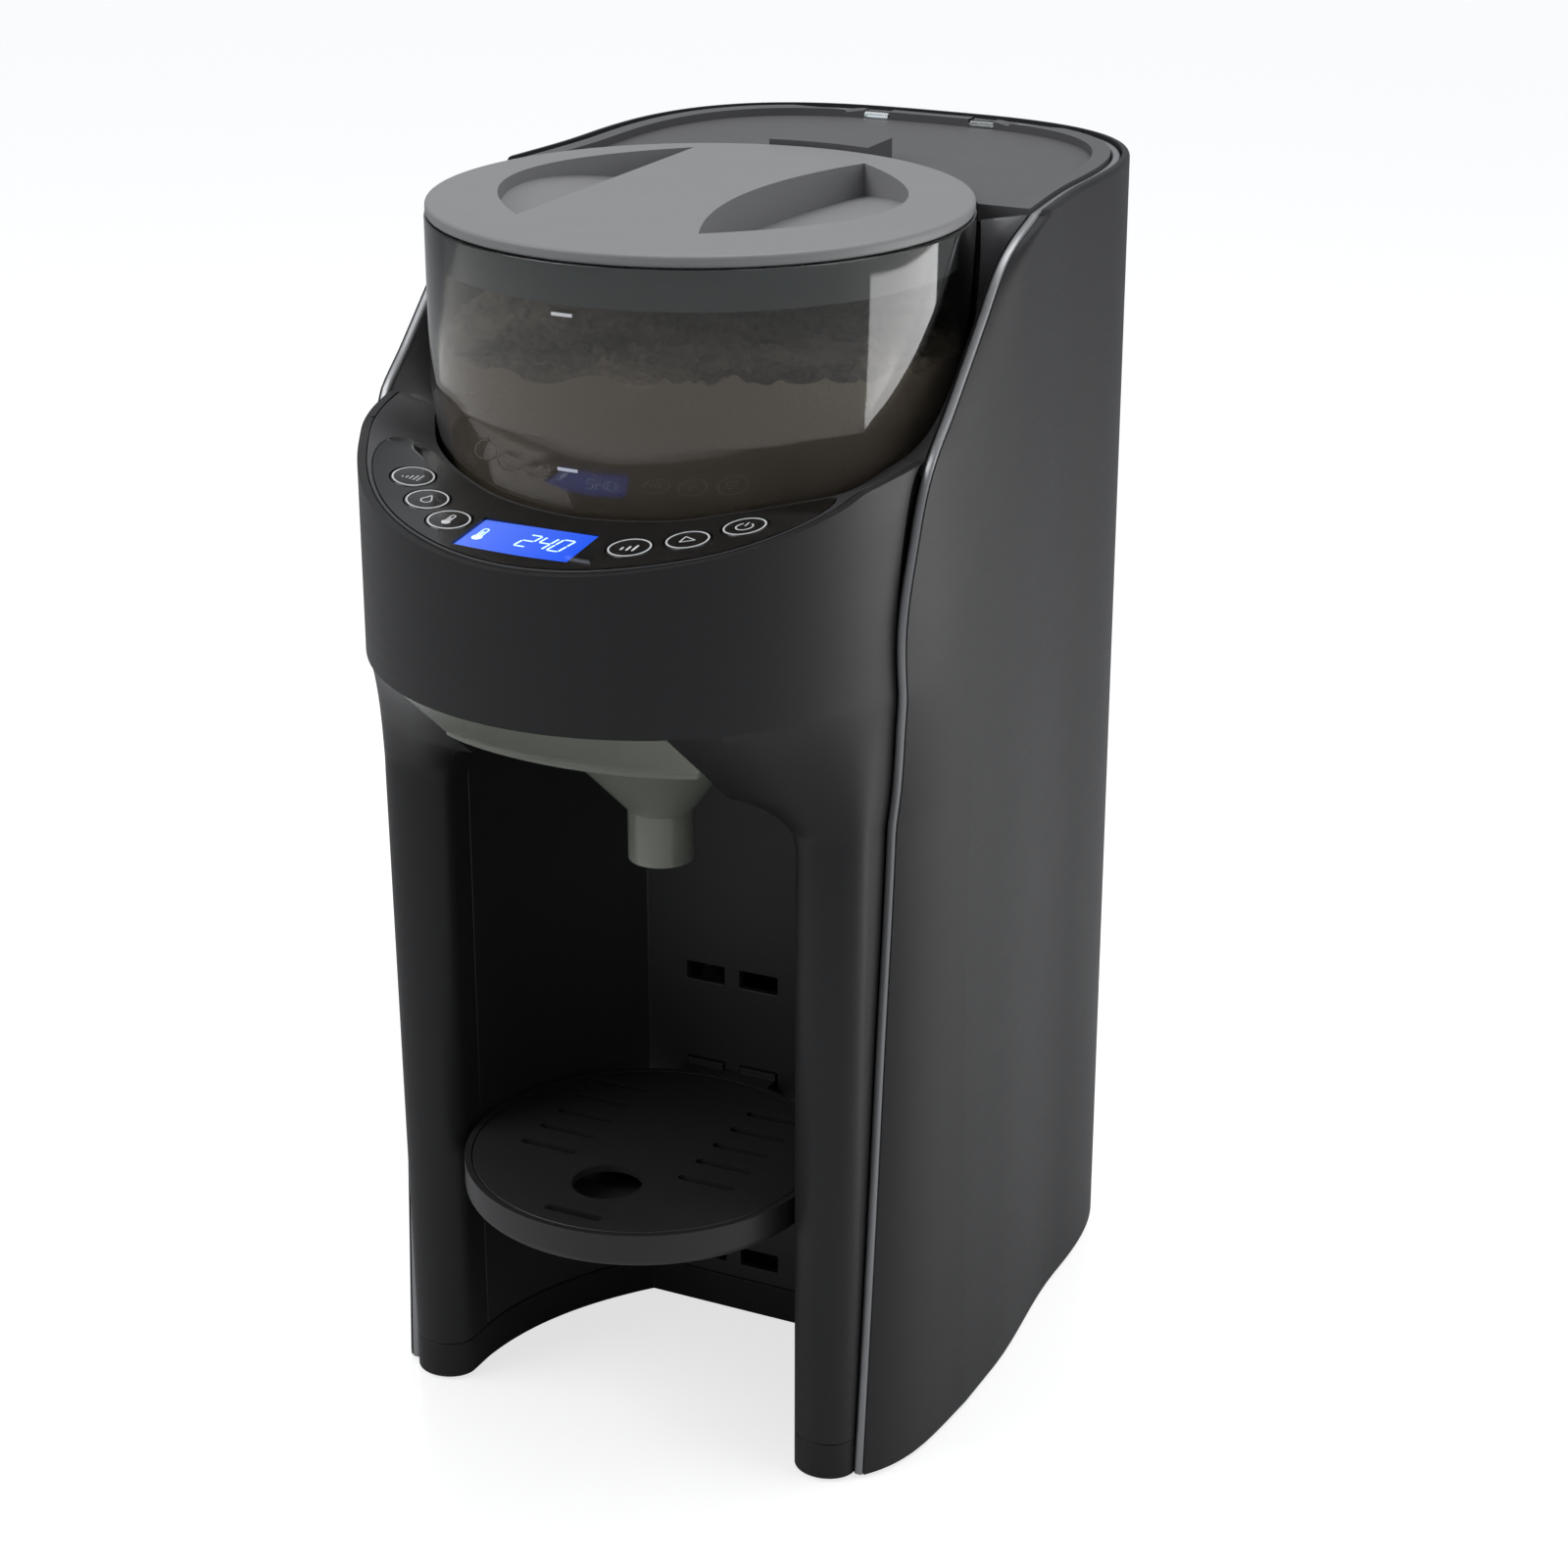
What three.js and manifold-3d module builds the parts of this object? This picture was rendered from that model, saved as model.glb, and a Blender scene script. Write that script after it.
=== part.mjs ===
// Baby formula maker: a counter-top machine that doses powder from a lidded container,
// mixes it with heated water in a slide-out funnel and fills a bottle on a drip tray.
// Millimetres, +Z up, front towards -Y, origin under the middle of the body on the counter.

import * as THREE from 'three';
import { mergeVertices } from 'three/addons/utils/BufferGeometryUtils.js';
import Module from 'manifold-3d';

const wasm = await Module();
wasm.setup();

// Driving sizes
const containerRadius = 76; // powder container, which the body is built round
const bayTop = 211.5; // top edge of the bottle bay's opening
const tankReach = 167; // from the container's axis to the rear
const gap = 0.3; // clearance between pieces that touch
const overrun = 2; // how far a cutter passes the face it cuts
const wallLap = 0.4; // how far walls that meet in one piece run into each other
const weld = 0.01; // points closer than this are one point
const shellWall = 2.4; // moulded wall of covers and panels
const footProud = 1; // feet below the base

// Widths, from the container outwards
const deckMargin = 7; // from the container to the head's widest
const headHalf = containerRadius + deckMargin; // half width of the head's oval plan
const trimInset = 5; // from the head's side to the body's side
const bodyHalf = headHalf + trimInset; // half width across the two side panels
const rearTaper = 4.7; // how much narrower the body gets towards the rear
const rearHalf = bodyHalf - rearTaper; // half width where the rear rounding starts
const coverInset = 31.3; // side of the rear cover, inside that
const coverHalf = rearHalf - coverInset; // half width of the rear cover
const legInset = 14.5; // foot of the front shell inside the body's side
const legHalf = bodyHalf - legInset; // half width of the front shell at the foot
const legSpread = 2.8; // and how much wider it is at the top of the legs
const legWidth = 18.6; // thickness of a leg
const bayHalf = legHalf - legWidth; // half width of the bay between the legs
const bayBackInset = 26.2; // how much narrower the bay is at its back
const bayBackHalf = bayHalf - bayBackInset; // half width of the flat back wall

// Depths, from the container's axis to the front and rear
const headMargin = 12; // how much longer the head's half oval is than the container's radius
const headDepth = containerRadius + headMargin; // half length of the head's oval plan
const containerBehindHead = 23; // container's axis behind the oval's middle
const containerSetback = headDepth + containerBehindHead; // axis behind the head's front
const bodyDepth = containerSetback + tankReach; // foremost point of the head to the rear
const rearReach = 86; // depth of the rounded rear
const rearPower = 2.87; // squareness of the rear rounding
const widestAhead = 18; // widest point, behind the container's axis
const widestReach = tankReach - widestAhead; // widest point, measured forward from the rear
const legSetback = 51; // leg fronts behind the head's front
const legRound = 8.1; // depth of the round front of a leg
const legReturn = 8.4; // how far the inner side of a leg runs back behind its round front
const seamBehindLeg = 7; // foot of the seam behind the leg's front
const seamFootSetback = legSetback + seamBehindLeg; // seam at the foot, behind the head's front
const seamBehindAxis = 40; // top of the seam behind the container's axis
const seamSweep = containerSetback + seamBehindAxis - seamFootSetback; // sweep from foot to top
const backBehindAxis = 16; // back wall of the bay behind the container's axis
const bayBackSetback = containerSetback + backBehindAxis; // and behind the head's front

// Heights, from the top of the bay upwards
const headWall = 29; // from the bay's opening to the head's lower front edge
const headBottom = bayTop + headWall;
const chinHeight = 39.5; // height over which the chin runs back to the legs
const headHeight = 43; // front of the head
const rimFrontHeight = headBottom + headHeight; // rim at the foremost point of the head
const rimRise = 19.5; // from there to the rim's ends at the seam
const rimSideHeight = rimFrontHeight + rimRise;
const rimLengthShares = [0, 0.13, 0.31, 0.6, 0.7, 1];
const rimRiseShares = [0, 0.16, 0.34, 0.69, 0.85, 1];
const deckAboveRim = 4.5; // deck at the container above the rim, at the front
const deckFrontHeight = rimFrontHeight + deckAboveRim;
const deckRise = 65; // from there to the deck's ends
const deckAngles = [0, 21, 34, 48, 58, 69, 79, 88, 95.5, 105, 116]; // degrees from the front
const deckRiseShares = [0, 0.02, 0.054, 0.082, 0.097, 0.17, 0.22, 0.29, 0.43, 0.7, 1];
const seamAboveDeck = 1.5; // seam on top above the deck's ends
const seamTop = deckFrontHeight + deckRise + seamAboveDeck; // height of the seam where it lies flat
const topAboveSeam = 1.5; // rear top edge above that
const bodyTop = seamTop + topAboveSeam;
const bayCorner = 17.5; // height of the opening's rounded top corners
const ceilingRise = 8.1; // underside of the bay's ceiling above the opening's edge
const ceilingHeight = bayTop + ceilingRise;
const baseHeight = 12.5; // height of the base frame

// Seam between the front shell and the side trim, from the foot to the top edge
const seamHeightShares = [0, 0.2, 0.37, 0.58, 0.66, 0.73, 0.79, 0.85, 0.883, 0.91, 0.94, 0.975, 0.99, 1];
const seamSweepShares = [0, 0.05, 0.086, 0.129, 0.1, 0.085, 0.129, 0.21, 0.344, 0.452, 0.57, 0.71, 0.828, 1];
const seamSteps = 16; // rows along the seam
const seamSpread = 1.6; // crowds the rows towards the top
const trimWidth = 2.8; // polished strip in the seam
const trimDepth = 5; // strip's depth into the body
const trimCrown = 0.5; // crown of the strip's face
const bevelFoot = 50; // bevel of the side panel at the foot
const bevelShares = [1, 0.85, 0.72, 0.65, 0.64, 0.68, 0.78, 0.72, 0.6, 0.52, 0.38, 0.2, 0.12, 0.08];
const bevelPowerFoot = 4.5; // how sharply the bevel rolls over at the foot
const bevelPowerHead = 2.5; // and beside the head
const creaseShare = 0.25; // part of the bevel that is straight, which leaves the soft crease
const edgeRounding = 1.2; // rounding of the top outer edge

// Bottle bay
const linerWall = 2.5; // wall of the bay liner
const bayPull = 2; // how far the bay's wall bows inwards
const bayPullShare = 0.53; // where along its depth it does so most
const bayFacets = 14;

// Powder container, lid and seal
const floorDrop = 22; // container's underside below the deck's front
const containerFloor = deckFrontHeight - floorDrop;
const containerHeight = 90.4;
const containerTop = containerFloor + containerHeight;
const footTaper = 14; // how much narrower the container's underside is
const containerFoot = containerRadius - footTaper;
const taperHeight = 44; // height over which it widens
const taperHeightShares = [0, 0.2, 0.5, 1];
const taperShares = [0, 0.286, 0.75, 1];
const containerWall = 2.2;
const floorThickness = 2.5;
const deckClearance = 1.2; // round the container
const deckThickness = 4.5;
const lidRim = 3.3; // thickness of the lid's rim
const lidTop = containerTop + gap + lidRim;
const lidSoft = 0.8; // soft upper edge of the lid
const lidWall = 2.2;
const sealThickness = 3.6;
const sealHeight = 11.6;
const lidPlugRadius = containerRadius - containerWall - 2 * gap - sealThickness;
const gripLeft = -33; // straight edge of the grip bar, to the left of the lid's centre
const gripRight = 22; // ends of its curved edge
const gripWaist = 12; // how far the curved edge cuts in
const gripLength = 104; // length of the finger recesses
const gripReach = 28; // how far the left recess reaches past the bar
const gripReachRight = 33; // and the right one
const gripDepth = 12; // recesses at the bar
const gripShallow = 3; // and at their far side
const gripShift = 8; // recesses' middle behind the lid's centre
const gripFacets = 12;

// Control panel in the deck
const panelThickness = 2.2;
const panelProud = 0.2; // control panel above the deck
const panelEnd = 51; // degrees from the front to the ends of the panel
const panelEndPower = 14; // how round the panel's ends are
const panelInset = 1.2; // panel's edge inside the deck's edges
const buttonRadius = 6.3;
const buttonLength = 9;
const buttonProud = 0.3; // buttons above the deck
const buttonCrown = 0.8; // soft edge of a button
const buttonAngles = [-36, -27, -18.3, 15.4, 24.7, 34.4]; // degrees round the container axis
const buttonNames = ['powder', 'water', 'temperature', 'volume', 'start', 'power'];
const buttonReachShares = [0.52, 0.57, 0.63, 0.57, 0.52, 0.47]; // place across the deck
const displayWidth = 34;
const displayDepth = 17.5;
const displayThickness = 1.6;
const displayShift = -4.5; // display's middle, to the left of the middle
const displaySetback = 18.5; // display's middle behind the head's front
const boardDrop = 11; // circuit board below the deck's face
const boardThickness = 1.6;
const boardReach = 24; // width of the curved board
const boardEnd = 43; // degrees from the front to the board's ends

// Drive and dosing
const dropRadius = 28.3; // powder drop, in front of the container axis
const dropHoleRadius = 8; // hole in the container's floor
const chuteRadius = 9;
const chuteWall = 1.6;
const chuteFlange = 2;
const seatPlateTop = containerFloor - gap; // plate that the container stands on
const seatPlateThickness = 2.5;
const seatWall = 2;
const gearDrop = 13.2; // plate that carries the gears, below the seat
const gearPlateTop = seatPlateTop - gearDrop;
const gearPlateThickness = 2.5;
const gearPlateHalf = 30;
const gearPlateFront = 18; // how far it reaches in front of the container's axis
const gearModule = 0.9;
const gearTeeth = 36;
const pinionTeeth = 14;
const gearThickness = 6;
const gearPressure = 20; // degrees
const gearBacklash = 0.12;
const dedendumShare = 1.2; // depth of a tooth's root, as a share of the module
const flankPoints = 2; // steps along an involute flank
const shaftRadius = 3;
const shaftClearance = 0.5;
const dogRadius = 7; // hexagonal dog that turns the dosing wheel
const dogSides = 6;
const dogHeight = 3;
const motorRadius = 16;
const motorLength = 21;
const pocketRadius = 7.5; // pockets of the dosing wheel
const pocketCount = 8;
const wheelEdge = 6.2; // wheel's rim outside its pockets
const wheelRadius = dropRadius + pocketRadius + wheelEdge;
const wheelThickness = 7;
const hubRadius = 8;
const hubHeight = 8;
const scraperThickness = 1.6;
const scraperHalf = 14;
const stirrerMargin = 2; // stirrer's reach past the container's foot radius
const stirrerReach = containerFoot + stirrerMargin;
const stirrerHeight = 24;
const stirrerArms = 3;
const armThickness = 2.4;
const bladeWidth = 6;

// Funnel, its drawer and the water spout above it
const lipHeight = 16; // lip that closes the head
const lipThickness = 2.6;
const lipRows = 3;
const lipColumns = 14;
const funnelRadius = 36.6;
const funnelWall = 1.6;
const coneForward = 7.7; // cone's top in front of the spout
const coneHeight = 35.5;
const coneFacets = 28;
const spoutRadius = 9.6;
const spoutLength = 15.3;
const drawerMargin = 3; // drawer's frame outside the funnel
const drawerHalf = funnelRadius + drawerMargin;
const drawerThickness = 2.2;
const drawerBackReach = 40; // drawer frame behind the spout
const drawerLedge = 2; // frame's bearing on the bay's ceiling
const drawerFacets = 16;
const lipMargin = 0.4; // lip outside the drawer's frame
const lipHalf = drawerHalf + lipMargin;
const railWall = 2.5;
const railSetback = 39; // fronts of the guides behind the head's front
const ceilingSetback = 45; // front edge of the ceiling behind the head's front
const coverMargin = 0.6; // cover outside the funnel
const coverRadius = funnelRadius + coverMargin;
const coverThickness = 1.6;
const nozzleRadius = 2.5;
const nozzleWall = 0.8;
const nozzleLength = 12;
const nozzleSide = 14; // nozzle to the right of the spout
const nozzleBehind = 10.3; // and behind it

// Drip tray
const trayMargin = 1.9; // between the tray and the bay's sides
const trayRadius = bayHalf - trayMargin;
const trayBehind = 4.2; // between the tray and the bay's back
const traySetback = bayBackSetback - trayBehind - trayRadius; // middle behind the head's front
const trayHeight = 10.5;
const trayWall = 2;
const trayEdge = 3; // rounding of the tray's lower edge
const edgeFacets = 3;
const gridThickness = 2.2;
const gridSkirt = 1.6;
const trayHoleRadius = 10.3;
const trayHoleForward = 23.2; // finger hole in front of the tray's middle
const slotPitch = 11.1;
const slotRows = 5;
const slotEnd = 35.4; // outer ends of the slots
const slotLength = 18.5;
const slotWidth = 3;
const frontSlotForward = 43.5; // single slot in front of the tray's middle
const hookWidth = 12;
const hookHeight = 5;
const hookLength = 7;
const hookSpacing = 18; // between the two hooks
const hookPitch = 32; // height between tray positions
const hookPositions = 4;
const lowestHook = 18;
const trayHook = 2; // which of the positions the tray hangs in, from the lowest
const trayAboveHook = 3.2; // tray's rim above the tabs' undersides
const trayTop = lowestHook + trayHook * hookPitch + trayAboveHook;
const bracketLap = 6; // how far the tray's arm runs under the tray

// Water side
const tankRimDrop = 7; // tank's rim below the body's top
const tankRim = bodyTop - tankRimDrop;
const tankHeight = 199;
const tankFloor = tankRim - tankHeight;
const tankSpace = 5; // between the container and the tank's hollow front
const tankFrontRadius = containerRadius + tankSpace;
const tankWall = 2.2;
const tankClearance = 1; // round the tank
const tankArcFacets = 16;
const dockThickness = 3;
const dockDrop = 10;
const valveRadius = 9;
const valveHeight = 14;
const valveFromRear = 39;
const lidPlateThickness = 2.6;
const lidDish = 2.4; // raised rim of the tank lid
const lidRimWidth = 5;
const tabHalf = 16;
const tabReach = 24;
const tabHeight = 5.2;
const hingePinRadius = 1;
const hingePinHalf = 18; // hinge lugs from the middle
const hingeDrop = 2.6; // hinge axis below the top
const hingeSetback = 3.4; // hinge axis in front of the lid's rear edge
const hingeKnuckle = 4; // half width of a hinge lug
const hingePinReach = 3; // pin past its lug on each side
const hingeTurn = 100; // degrees that the tank lid opens
const hingeSteps = 8;
const lugRoot = 5; // lug's root down the tank's wall
const canEdge = 3.3; // chamfer of the pump's and heater's ends
const pumpRadius = 17;
const pumpLength = 48;
const pumpSide = 38; // to the left of the middle
const pumpBehindBay = 62; // behind the bay's back wall
const pumpLow = 24;
const heaterRadius = 20;
const heaterLength = 70;
const heaterSide = 36; // to the right of the middle
const heaterBehindBay = 40;
const heaterLow = 24;
const hoseRadius = 3;
const hoseStub = 5;
const hoseBend = 14;

// Main board, base, vents and mains inlet
const boardHalf = 30;
const boardBelowBay = 91.5; // board's lower edge below the bay's top
const boardHeight = 80;
const chipCount = 5;
const chipSize = 12;
const chipHeight = 3;
const chipRiseShare = 0.6; // place of a chip in its own part of the board's height
const chipLeftShare = 0.3; // and across the board, in turn
const chipRightShare = 0.66;
const baseWall = 3;
const basePlate = 3;
const footRadius = 7;
const footHalf = 65; // feet from the middle
const footFrontSetback = 79; // front feet behind the head's front
const footRearReach = 39; // rear feet in front of the rear
const ventCount = 8;
const ventHalf = 34;
const ventLevel = 70;
const ventPitch = 9;
const ventHeight = 3;
const inletWidth = 27;
const inletHeight = 20;
const inletDepth = 18;
const inletLevel = 40;
const inletRecess = 0.8;
const inletWall = 1.6;
const pinSpacing = 9;
const pinHalf = 1.2;

// Facets
const roundFacets = 36;
const smallFacets = 14;
const tinyFacets = 8;

// Places worked out from the sizes above
const front = -bodyDepth / 2;
const rear = bodyDepth / 2;
const rearCentreY = rear - rearReach;
const widestY = rear - widestReach;
const headY = front + headDepth;
const legFrontY = front + legSetback;
const legCentreY = legFrontY + legRound;
const seamFootY = front + seamFootSetback;
const bayBackY = front + bayBackSetback;
const shellBackY = legCentreY + legReturn;
const axisY = front + containerSetback;
const spoutY = axisY - dropRadius;
const trayY = front + traySetback;
const coneTopY = spoutY - coneForward;
const [nozzleX, nozzleY] = [nozzleSide, spoutY + nozzleBehind];
const [pumpX, pumpY] = [-pumpSide, bayBackY + pumpBehindBay];
const [heaterX, heaterY] = [heaterSide, bayBackY + heaterBehindBay];
const valveY = rear - valveFromRear;
const boardLow = bayTop - boardBelowBay;
const boardHigh = boardLow + boardHeight;

const edgeOffset = 2 * gap + trimWidth; // from the seam to the side panel's edge
const chinBottom = headBottom - chinHeight;
const groundZ = footProud;
const halfTurn = Math.PI;
const degree = Math.PI / 180;

// Small helpers for numbers
const clamp01 = (t) => Math.min(1, Math.max(0, t));
const smooth = (t) => clamp01(t) ** 2 * (3 - 2 * clamp01(t));
const mix = (a, b, t) => a + (b - a) * t;
const range = (count) => Array.from({ length: count }, (_, i) => i);
const signedPower = (v, p) => Math.sign(v) * Math.abs(v) ** p;

// A closed geometry as a solid, with its faces turned outwards
function toSolid(geometry) {
  const plain = new THREE.BufferGeometry();
  plain.setAttribute('position', geometry.getAttribute('position'));
  if (geometry.index) plain.setIndex(geometry.index);
  const merged = mergeVertices(plain);
  const position = merged.getAttribute('position');
  const corner = (k) => new THREE.Vector3().fromBufferAttribute(position, k);
  const index = merged.index.array;
  const triangles = [];
  let volume = 0;
  for (let i = 0; i < index.length; i += 3) {
    const [a, b, c] = [index[i], index[i + 1], index[i + 2]];
    if (a === b || b === c || c === a) continue;
    triangles.push(a, b, c);
    volume += corner(a).dot(corner(b).cross(corner(c)));
  }
  if (volume < 0) triangles.reverse();
  return new wasm.Manifold(new wasm.Mesh({
    numProp: 3,
    vertProperties: new Float32Array(position.array),
    triVerts: new Uint32Array(triangles),
  }));
}

// A solid back as a geometry
function toGeometry(solid) {
  const mesh = solid.getMesh();
  const geometry = new THREE.BufferGeometry();
  const points = [];
  for (let i = 0; i < mesh.numVert; i += 1) {
    points.push(...mesh.vertProperties.slice(i * mesh.numProp, i * mesh.numProp + 3));
  }
  geometry.setAttribute('position', new THREE.Float32BufferAttribute(points, 3));
  geometry.setIndex(Array.from(mesh.triVerts));
  geometry.computeVertexNormals();
  return geometry;
}

const join = (first, ...rest) => rest.reduce((sum, solid) => sum.add(solid), first);
const cut = (first, ...rest) => rest.reduce((sum, solid) => sum.subtract(solid), first);
const common = (first, ...rest) => rest.reduce((sum, solid) => sum.intersect(solid), first);

// A block between two corners
function block([x0, y0, z0], [x1, y1, z1]) {
  const geometry = new THREE.BoxGeometry(x1 - x0, y1 - y0, z1 - z0);
  geometry.translate((x0 + x1) / 2, (y0 + y1) / 2, (z0 + z1) / 2);
  return toSolid(geometry);
}

// An upright outline, given as [x, y] points, from one height to another
function prism(points, z0, z1) {
  const shape = new THREE.Shape(points.map(([x, y]) => new THREE.Vector2(x, y)));
  const geometry = new THREE.ExtrudeGeometry(shape, { depth: z1 - z0, bevelEnabled: false });
  geometry.translate(0, 0, z0);
  return toSolid(geometry);
}

// An outline of [x, z] points carried from one y to another
function depthPrism(points, y0, y1) {
  const shape = new THREE.Shape(points.map(([x, z]) => new THREE.Vector2(x, z)));
  const geometry = new THREE.ExtrudeGeometry(shape, { depth: y1 - y0, bevelEnabled: false });
  geometry.rotateX(halfTurn / 2);
  geometry.translate(0, y1, 0);
  return toSolid(geometry);
}

// A profile of [radius, height] points turned about an upright axis
function revolve(profile, x = 0, y = 0, facets = roundFacets) {
  const points = profile.map(([r, z]) => new THREE.Vector2(r, z));
  const geometry = new THREE.LatheGeometry(points, facets);
  geometry.rotateX(halfTurn / 2);
  geometry.translate(x, y, 0);
  return toSolid(geometry);
}

// An upright round bar or disc
function disc(radius, z0, z1, x = 0, y = 0, facets = roundFacets) {
  return revolve([[0, z0], [radius, z0], [radius, z1], [0, z1]], x, y, facets);
}

// A ring between two radii
function ring(inner, outer, z0, z1, x = 0, y = 0, facets = roundFacets) {
  return revolve([[inner, z0], [outer, z0], [outer, z1], [inner, z1], [inner, z0]], x, y, facets);
}

// A round tube or bar along a curve
function hose(points, radius, facets = tinyFacets / 2, steps = 14) {
  const shape = new THREE.Shape();
  shape.absarc(0, 0, radius, 0, 2 * halfTurn);
  const path = new THREE.CatmullRomCurve3(points.map((p) => new THREE.Vector3(...p)));
  const geometry = new THREE.ExtrudeGeometry(shape, {
    steps, extrudePath: path, curveSegments: facets, bevelEnabled: false,
  });
  return toSolid(geometry);
}

// Two matching grids of points, joined round their edges into a closed wall. With `mirrorFrom`,
// the wall is doubled to the other side of the middle plane, and from that row on the two
// halves run into each other in their last column.
function thickPatch(outer, inner, mirrorFrom = Infinity) {
  const rows = outer.length;
  const columns = outer[0].length;
  const positions = [...outer.flat(), ...inner.flat()].flat();
  const at = (side, i, j) => side * rows * columns + i * columns + j;
  const index = [];
  const quad = (a, b, c, d) => index.push(a, b, c, a, c, d);
  const last = columns - 1;
  for (let i = 0; i + 1 < rows; i += 1) {
    for (let j = 0; j + 1 < columns; j += 1) {
      quad(at(0, i, j), at(0, i, j + 1), at(0, i + 1, j + 1), at(0, i + 1, j));
      quad(at(1, i, j), at(1, i + 1, j), at(1, i + 1, j + 1), at(1, i, j + 1));
    }
    quad(at(0, i, 0), at(0, i + 1, 0), at(1, i + 1, 0), at(1, i, 0));
    if (i < mirrorFrom) quad(at(0, i + 1, last), at(0, i, last), at(1, i, last), at(1, i + 1, last));
  }
  for (let j = 0; j + 1 < columns; j += 1) {
    quad(at(0, 0, j + 1), at(0, 0, j), at(1, 0, j), at(1, 0, j + 1));
    quad(at(0, rows - 1, j), at(0, rows - 1, j + 1), at(1, rows - 1, j + 1), at(1, rows - 1, j));
  }
  if (mirrorFrom < Infinity) {
    const count = positions.length / 3;
    index.push(...index.slice().reverse().map((k) => k + count));
    positions.push(...positions.map((value, k) => (k % 3 === 0 ? -value : value)));
  }
  const geometry = new THREE.BufferGeometry();
  geometry.setAttribute('position', new THREE.Float32BufferAttribute(positions, 3));
  geometry.setIndex(index);
  return toSolid(geometry);
}

// Closed rings of points, one after the other, with flat ends
function loft(rings) {
  const count = rings[0].length;
  const index = [];
  for (let i = 0; i + 1 < rings.length; i += 1) {
    for (let j = 0; j < count; j += 1) {
      const next = (j + 1) % count;
      const [a, b] = [i * count + j, i * count + next];
      index.push(a, b, b + count, a, b + count, a + count);
    }
  }
  const end = (rings.length - 1) * count;
  for (let j = 1; j + 1 < count; j += 1) {
    index.push(0, j + 1, j);
    index.push(end, end + j, end + j + 1);
  }
  const geometry = new THREE.BufferGeometry();
  geometry.setAttribute('position', new THREE.Float32BufferAttribute(rings.flat(2), 3));
  geometry.setIndex(index);
  return toSolid(geometry);
}

const mirrored = (solid) => solid.mirror([1, 0, 0]);

// The finished part: one mesh for each piece
const machine = new THREE.Group();

const finishes = {
  black: { color: 0x1c1c1d, roughness: 0.55, metalness: 0 },
  inner: { color: 0x2a2b2c, roughness: 0.6, metalness: 0 },
  gloss: { color: 0x070708, roughness: 0.08, metalness: 0 },
  trim: { color: 0x8c8f92, roughness: 0.15, metalness: 1 },
  grey: { color: 0x5d5e60, roughness: 0.5, metalness: 0 },
  dark: { color: 0x3c3d3f, roughness: 0.5, metalness: 0 },
  smoke: { color: 0x8a857c, roughness: 0.1, metalness: 0 },
  olive: { color: 0x6d7063, roughness: 0.15, metalness: 0 },
  seal: { color: 0x5a6770, roughness: 0.6, metalness: 0 },
  natural: { color: 0xd8d4c8, roughness: 0.5, metalness: 0 },
  steel: { color: 0xa5a8ab, roughness: 0.3, metalness: 1 },
  board: { color: 0x1f5a34, roughness: 0.5, metalness: 0 },
  screen: { color: 0x1540e0, roughness: 0.1, metalness: 0 },
  clear: { color: 0xb9c4c8, roughness: 0.05, metalness: 0 },
  rubber: { color: 0x161616, roughness: 0.9, metalness: 0 },
};

function add(name, solid, finish) {
  const clean = solid.asOriginal().simplify(weld);
  const mesh = new THREE.Mesh(toGeometry(clean), new THREE.MeshStandardMaterial(finishes[finish]));
  mesh.name = name;
  machine.add(mesh);
}

// A smooth function through points of growing x
function curveThrough(xs, ys) {
  const last = xs.length - 1;
  const slope = (i) => {
    const [a, b] = [Math.max(i - 1, 0), Math.min(i + 1, last)];
    return (ys[b] - ys[a]) / (xs[b] - xs[a]);
  };
  return (x) => {
    const t = Math.min(Math.max(x, xs[0]), xs[last]);
    let i = 0;
    while (i < last - 1 && t > xs[i + 1]) i += 1;
    const step = xs[i + 1] - xs[i];
    const u = (t - xs[i]) / step;
    const v = 1 - u;
    return ys[i] * (1 + 2 * u) * v ** 2 + step * slope(i) * u * v ** 2
      + ys[i + 1] * u ** 2 * (3 - 2 * u) - step * slope(i + 1) * u ** 2 * v;
  };
}

const scaled = (shares, length, start = 0) => shares.map((share) => start + share * length);

// Plan of the body's skin
function flankHalf(y, inset = 0) {
  return mix(bodyHalf, rearHalf, smooth((y - widestY) / (rearCentreY - widestY))) - inset;
}

// The rounded rear, from where it starts to where its half width is `toX`
function rearRun(inset, toX, steps) {
  const [a, b] = [rearHalf - inset, rearReach - inset];
  const last = Math.acos((toX / a) ** (rearPower / 2));
  return range(steps + 1).map((i) => {
    const t = (last * i) / steps;
    return [a * Math.cos(t) ** (2 / rearPower), rearCentreY + b * Math.sin(t) ** (2 / rearPower)];
  });
}

// Seam between front shell and side trim
const seamY = curveThrough(scaled(seamHeightShares, seamTop), scaled(seamSweepShares, seamSweep, seamFootY));
const bevelLength = curveThrough(scaled(seamHeightShares, seamTop), scaled(bevelShares, bevelFoot));
const headX = (y) => headHalf * Math.sqrt(Math.max(0, 1 - ((y - headY) / headDepth) ** 2));
const rimSideY = seamY(rimSideHeight);
const chinShare = (z) => clamp01((headBottom - z) / chinHeight);
const seamInset = bodyHalf - headX(rimSideY);
const panelWall = seamInset - edgeOffset;
const legX = (z) => legHalf + legSpread * clamp01(z / chinBottom);
function seamHalf(z) {
  const y = seamY(z);
  const blended = mix(headX(Math.min(y, rimSideY)), legX(z), chinShare(z));
  return Math.min(blended, flankHalf(y) - seamInset);
}
const seamFoot = baseHeight + gap; // lower edge of the shell, liner and rear cover
const panelFoot = groundZ + gap; // side panels and strips run down past the base
const seamHeights = range(seamSteps + 1).map((i) => {
  const share = 1 - (1 - i / seamSteps) ** seamSpread;
  return mix(panelFoot, seamTop, share);
});

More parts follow.
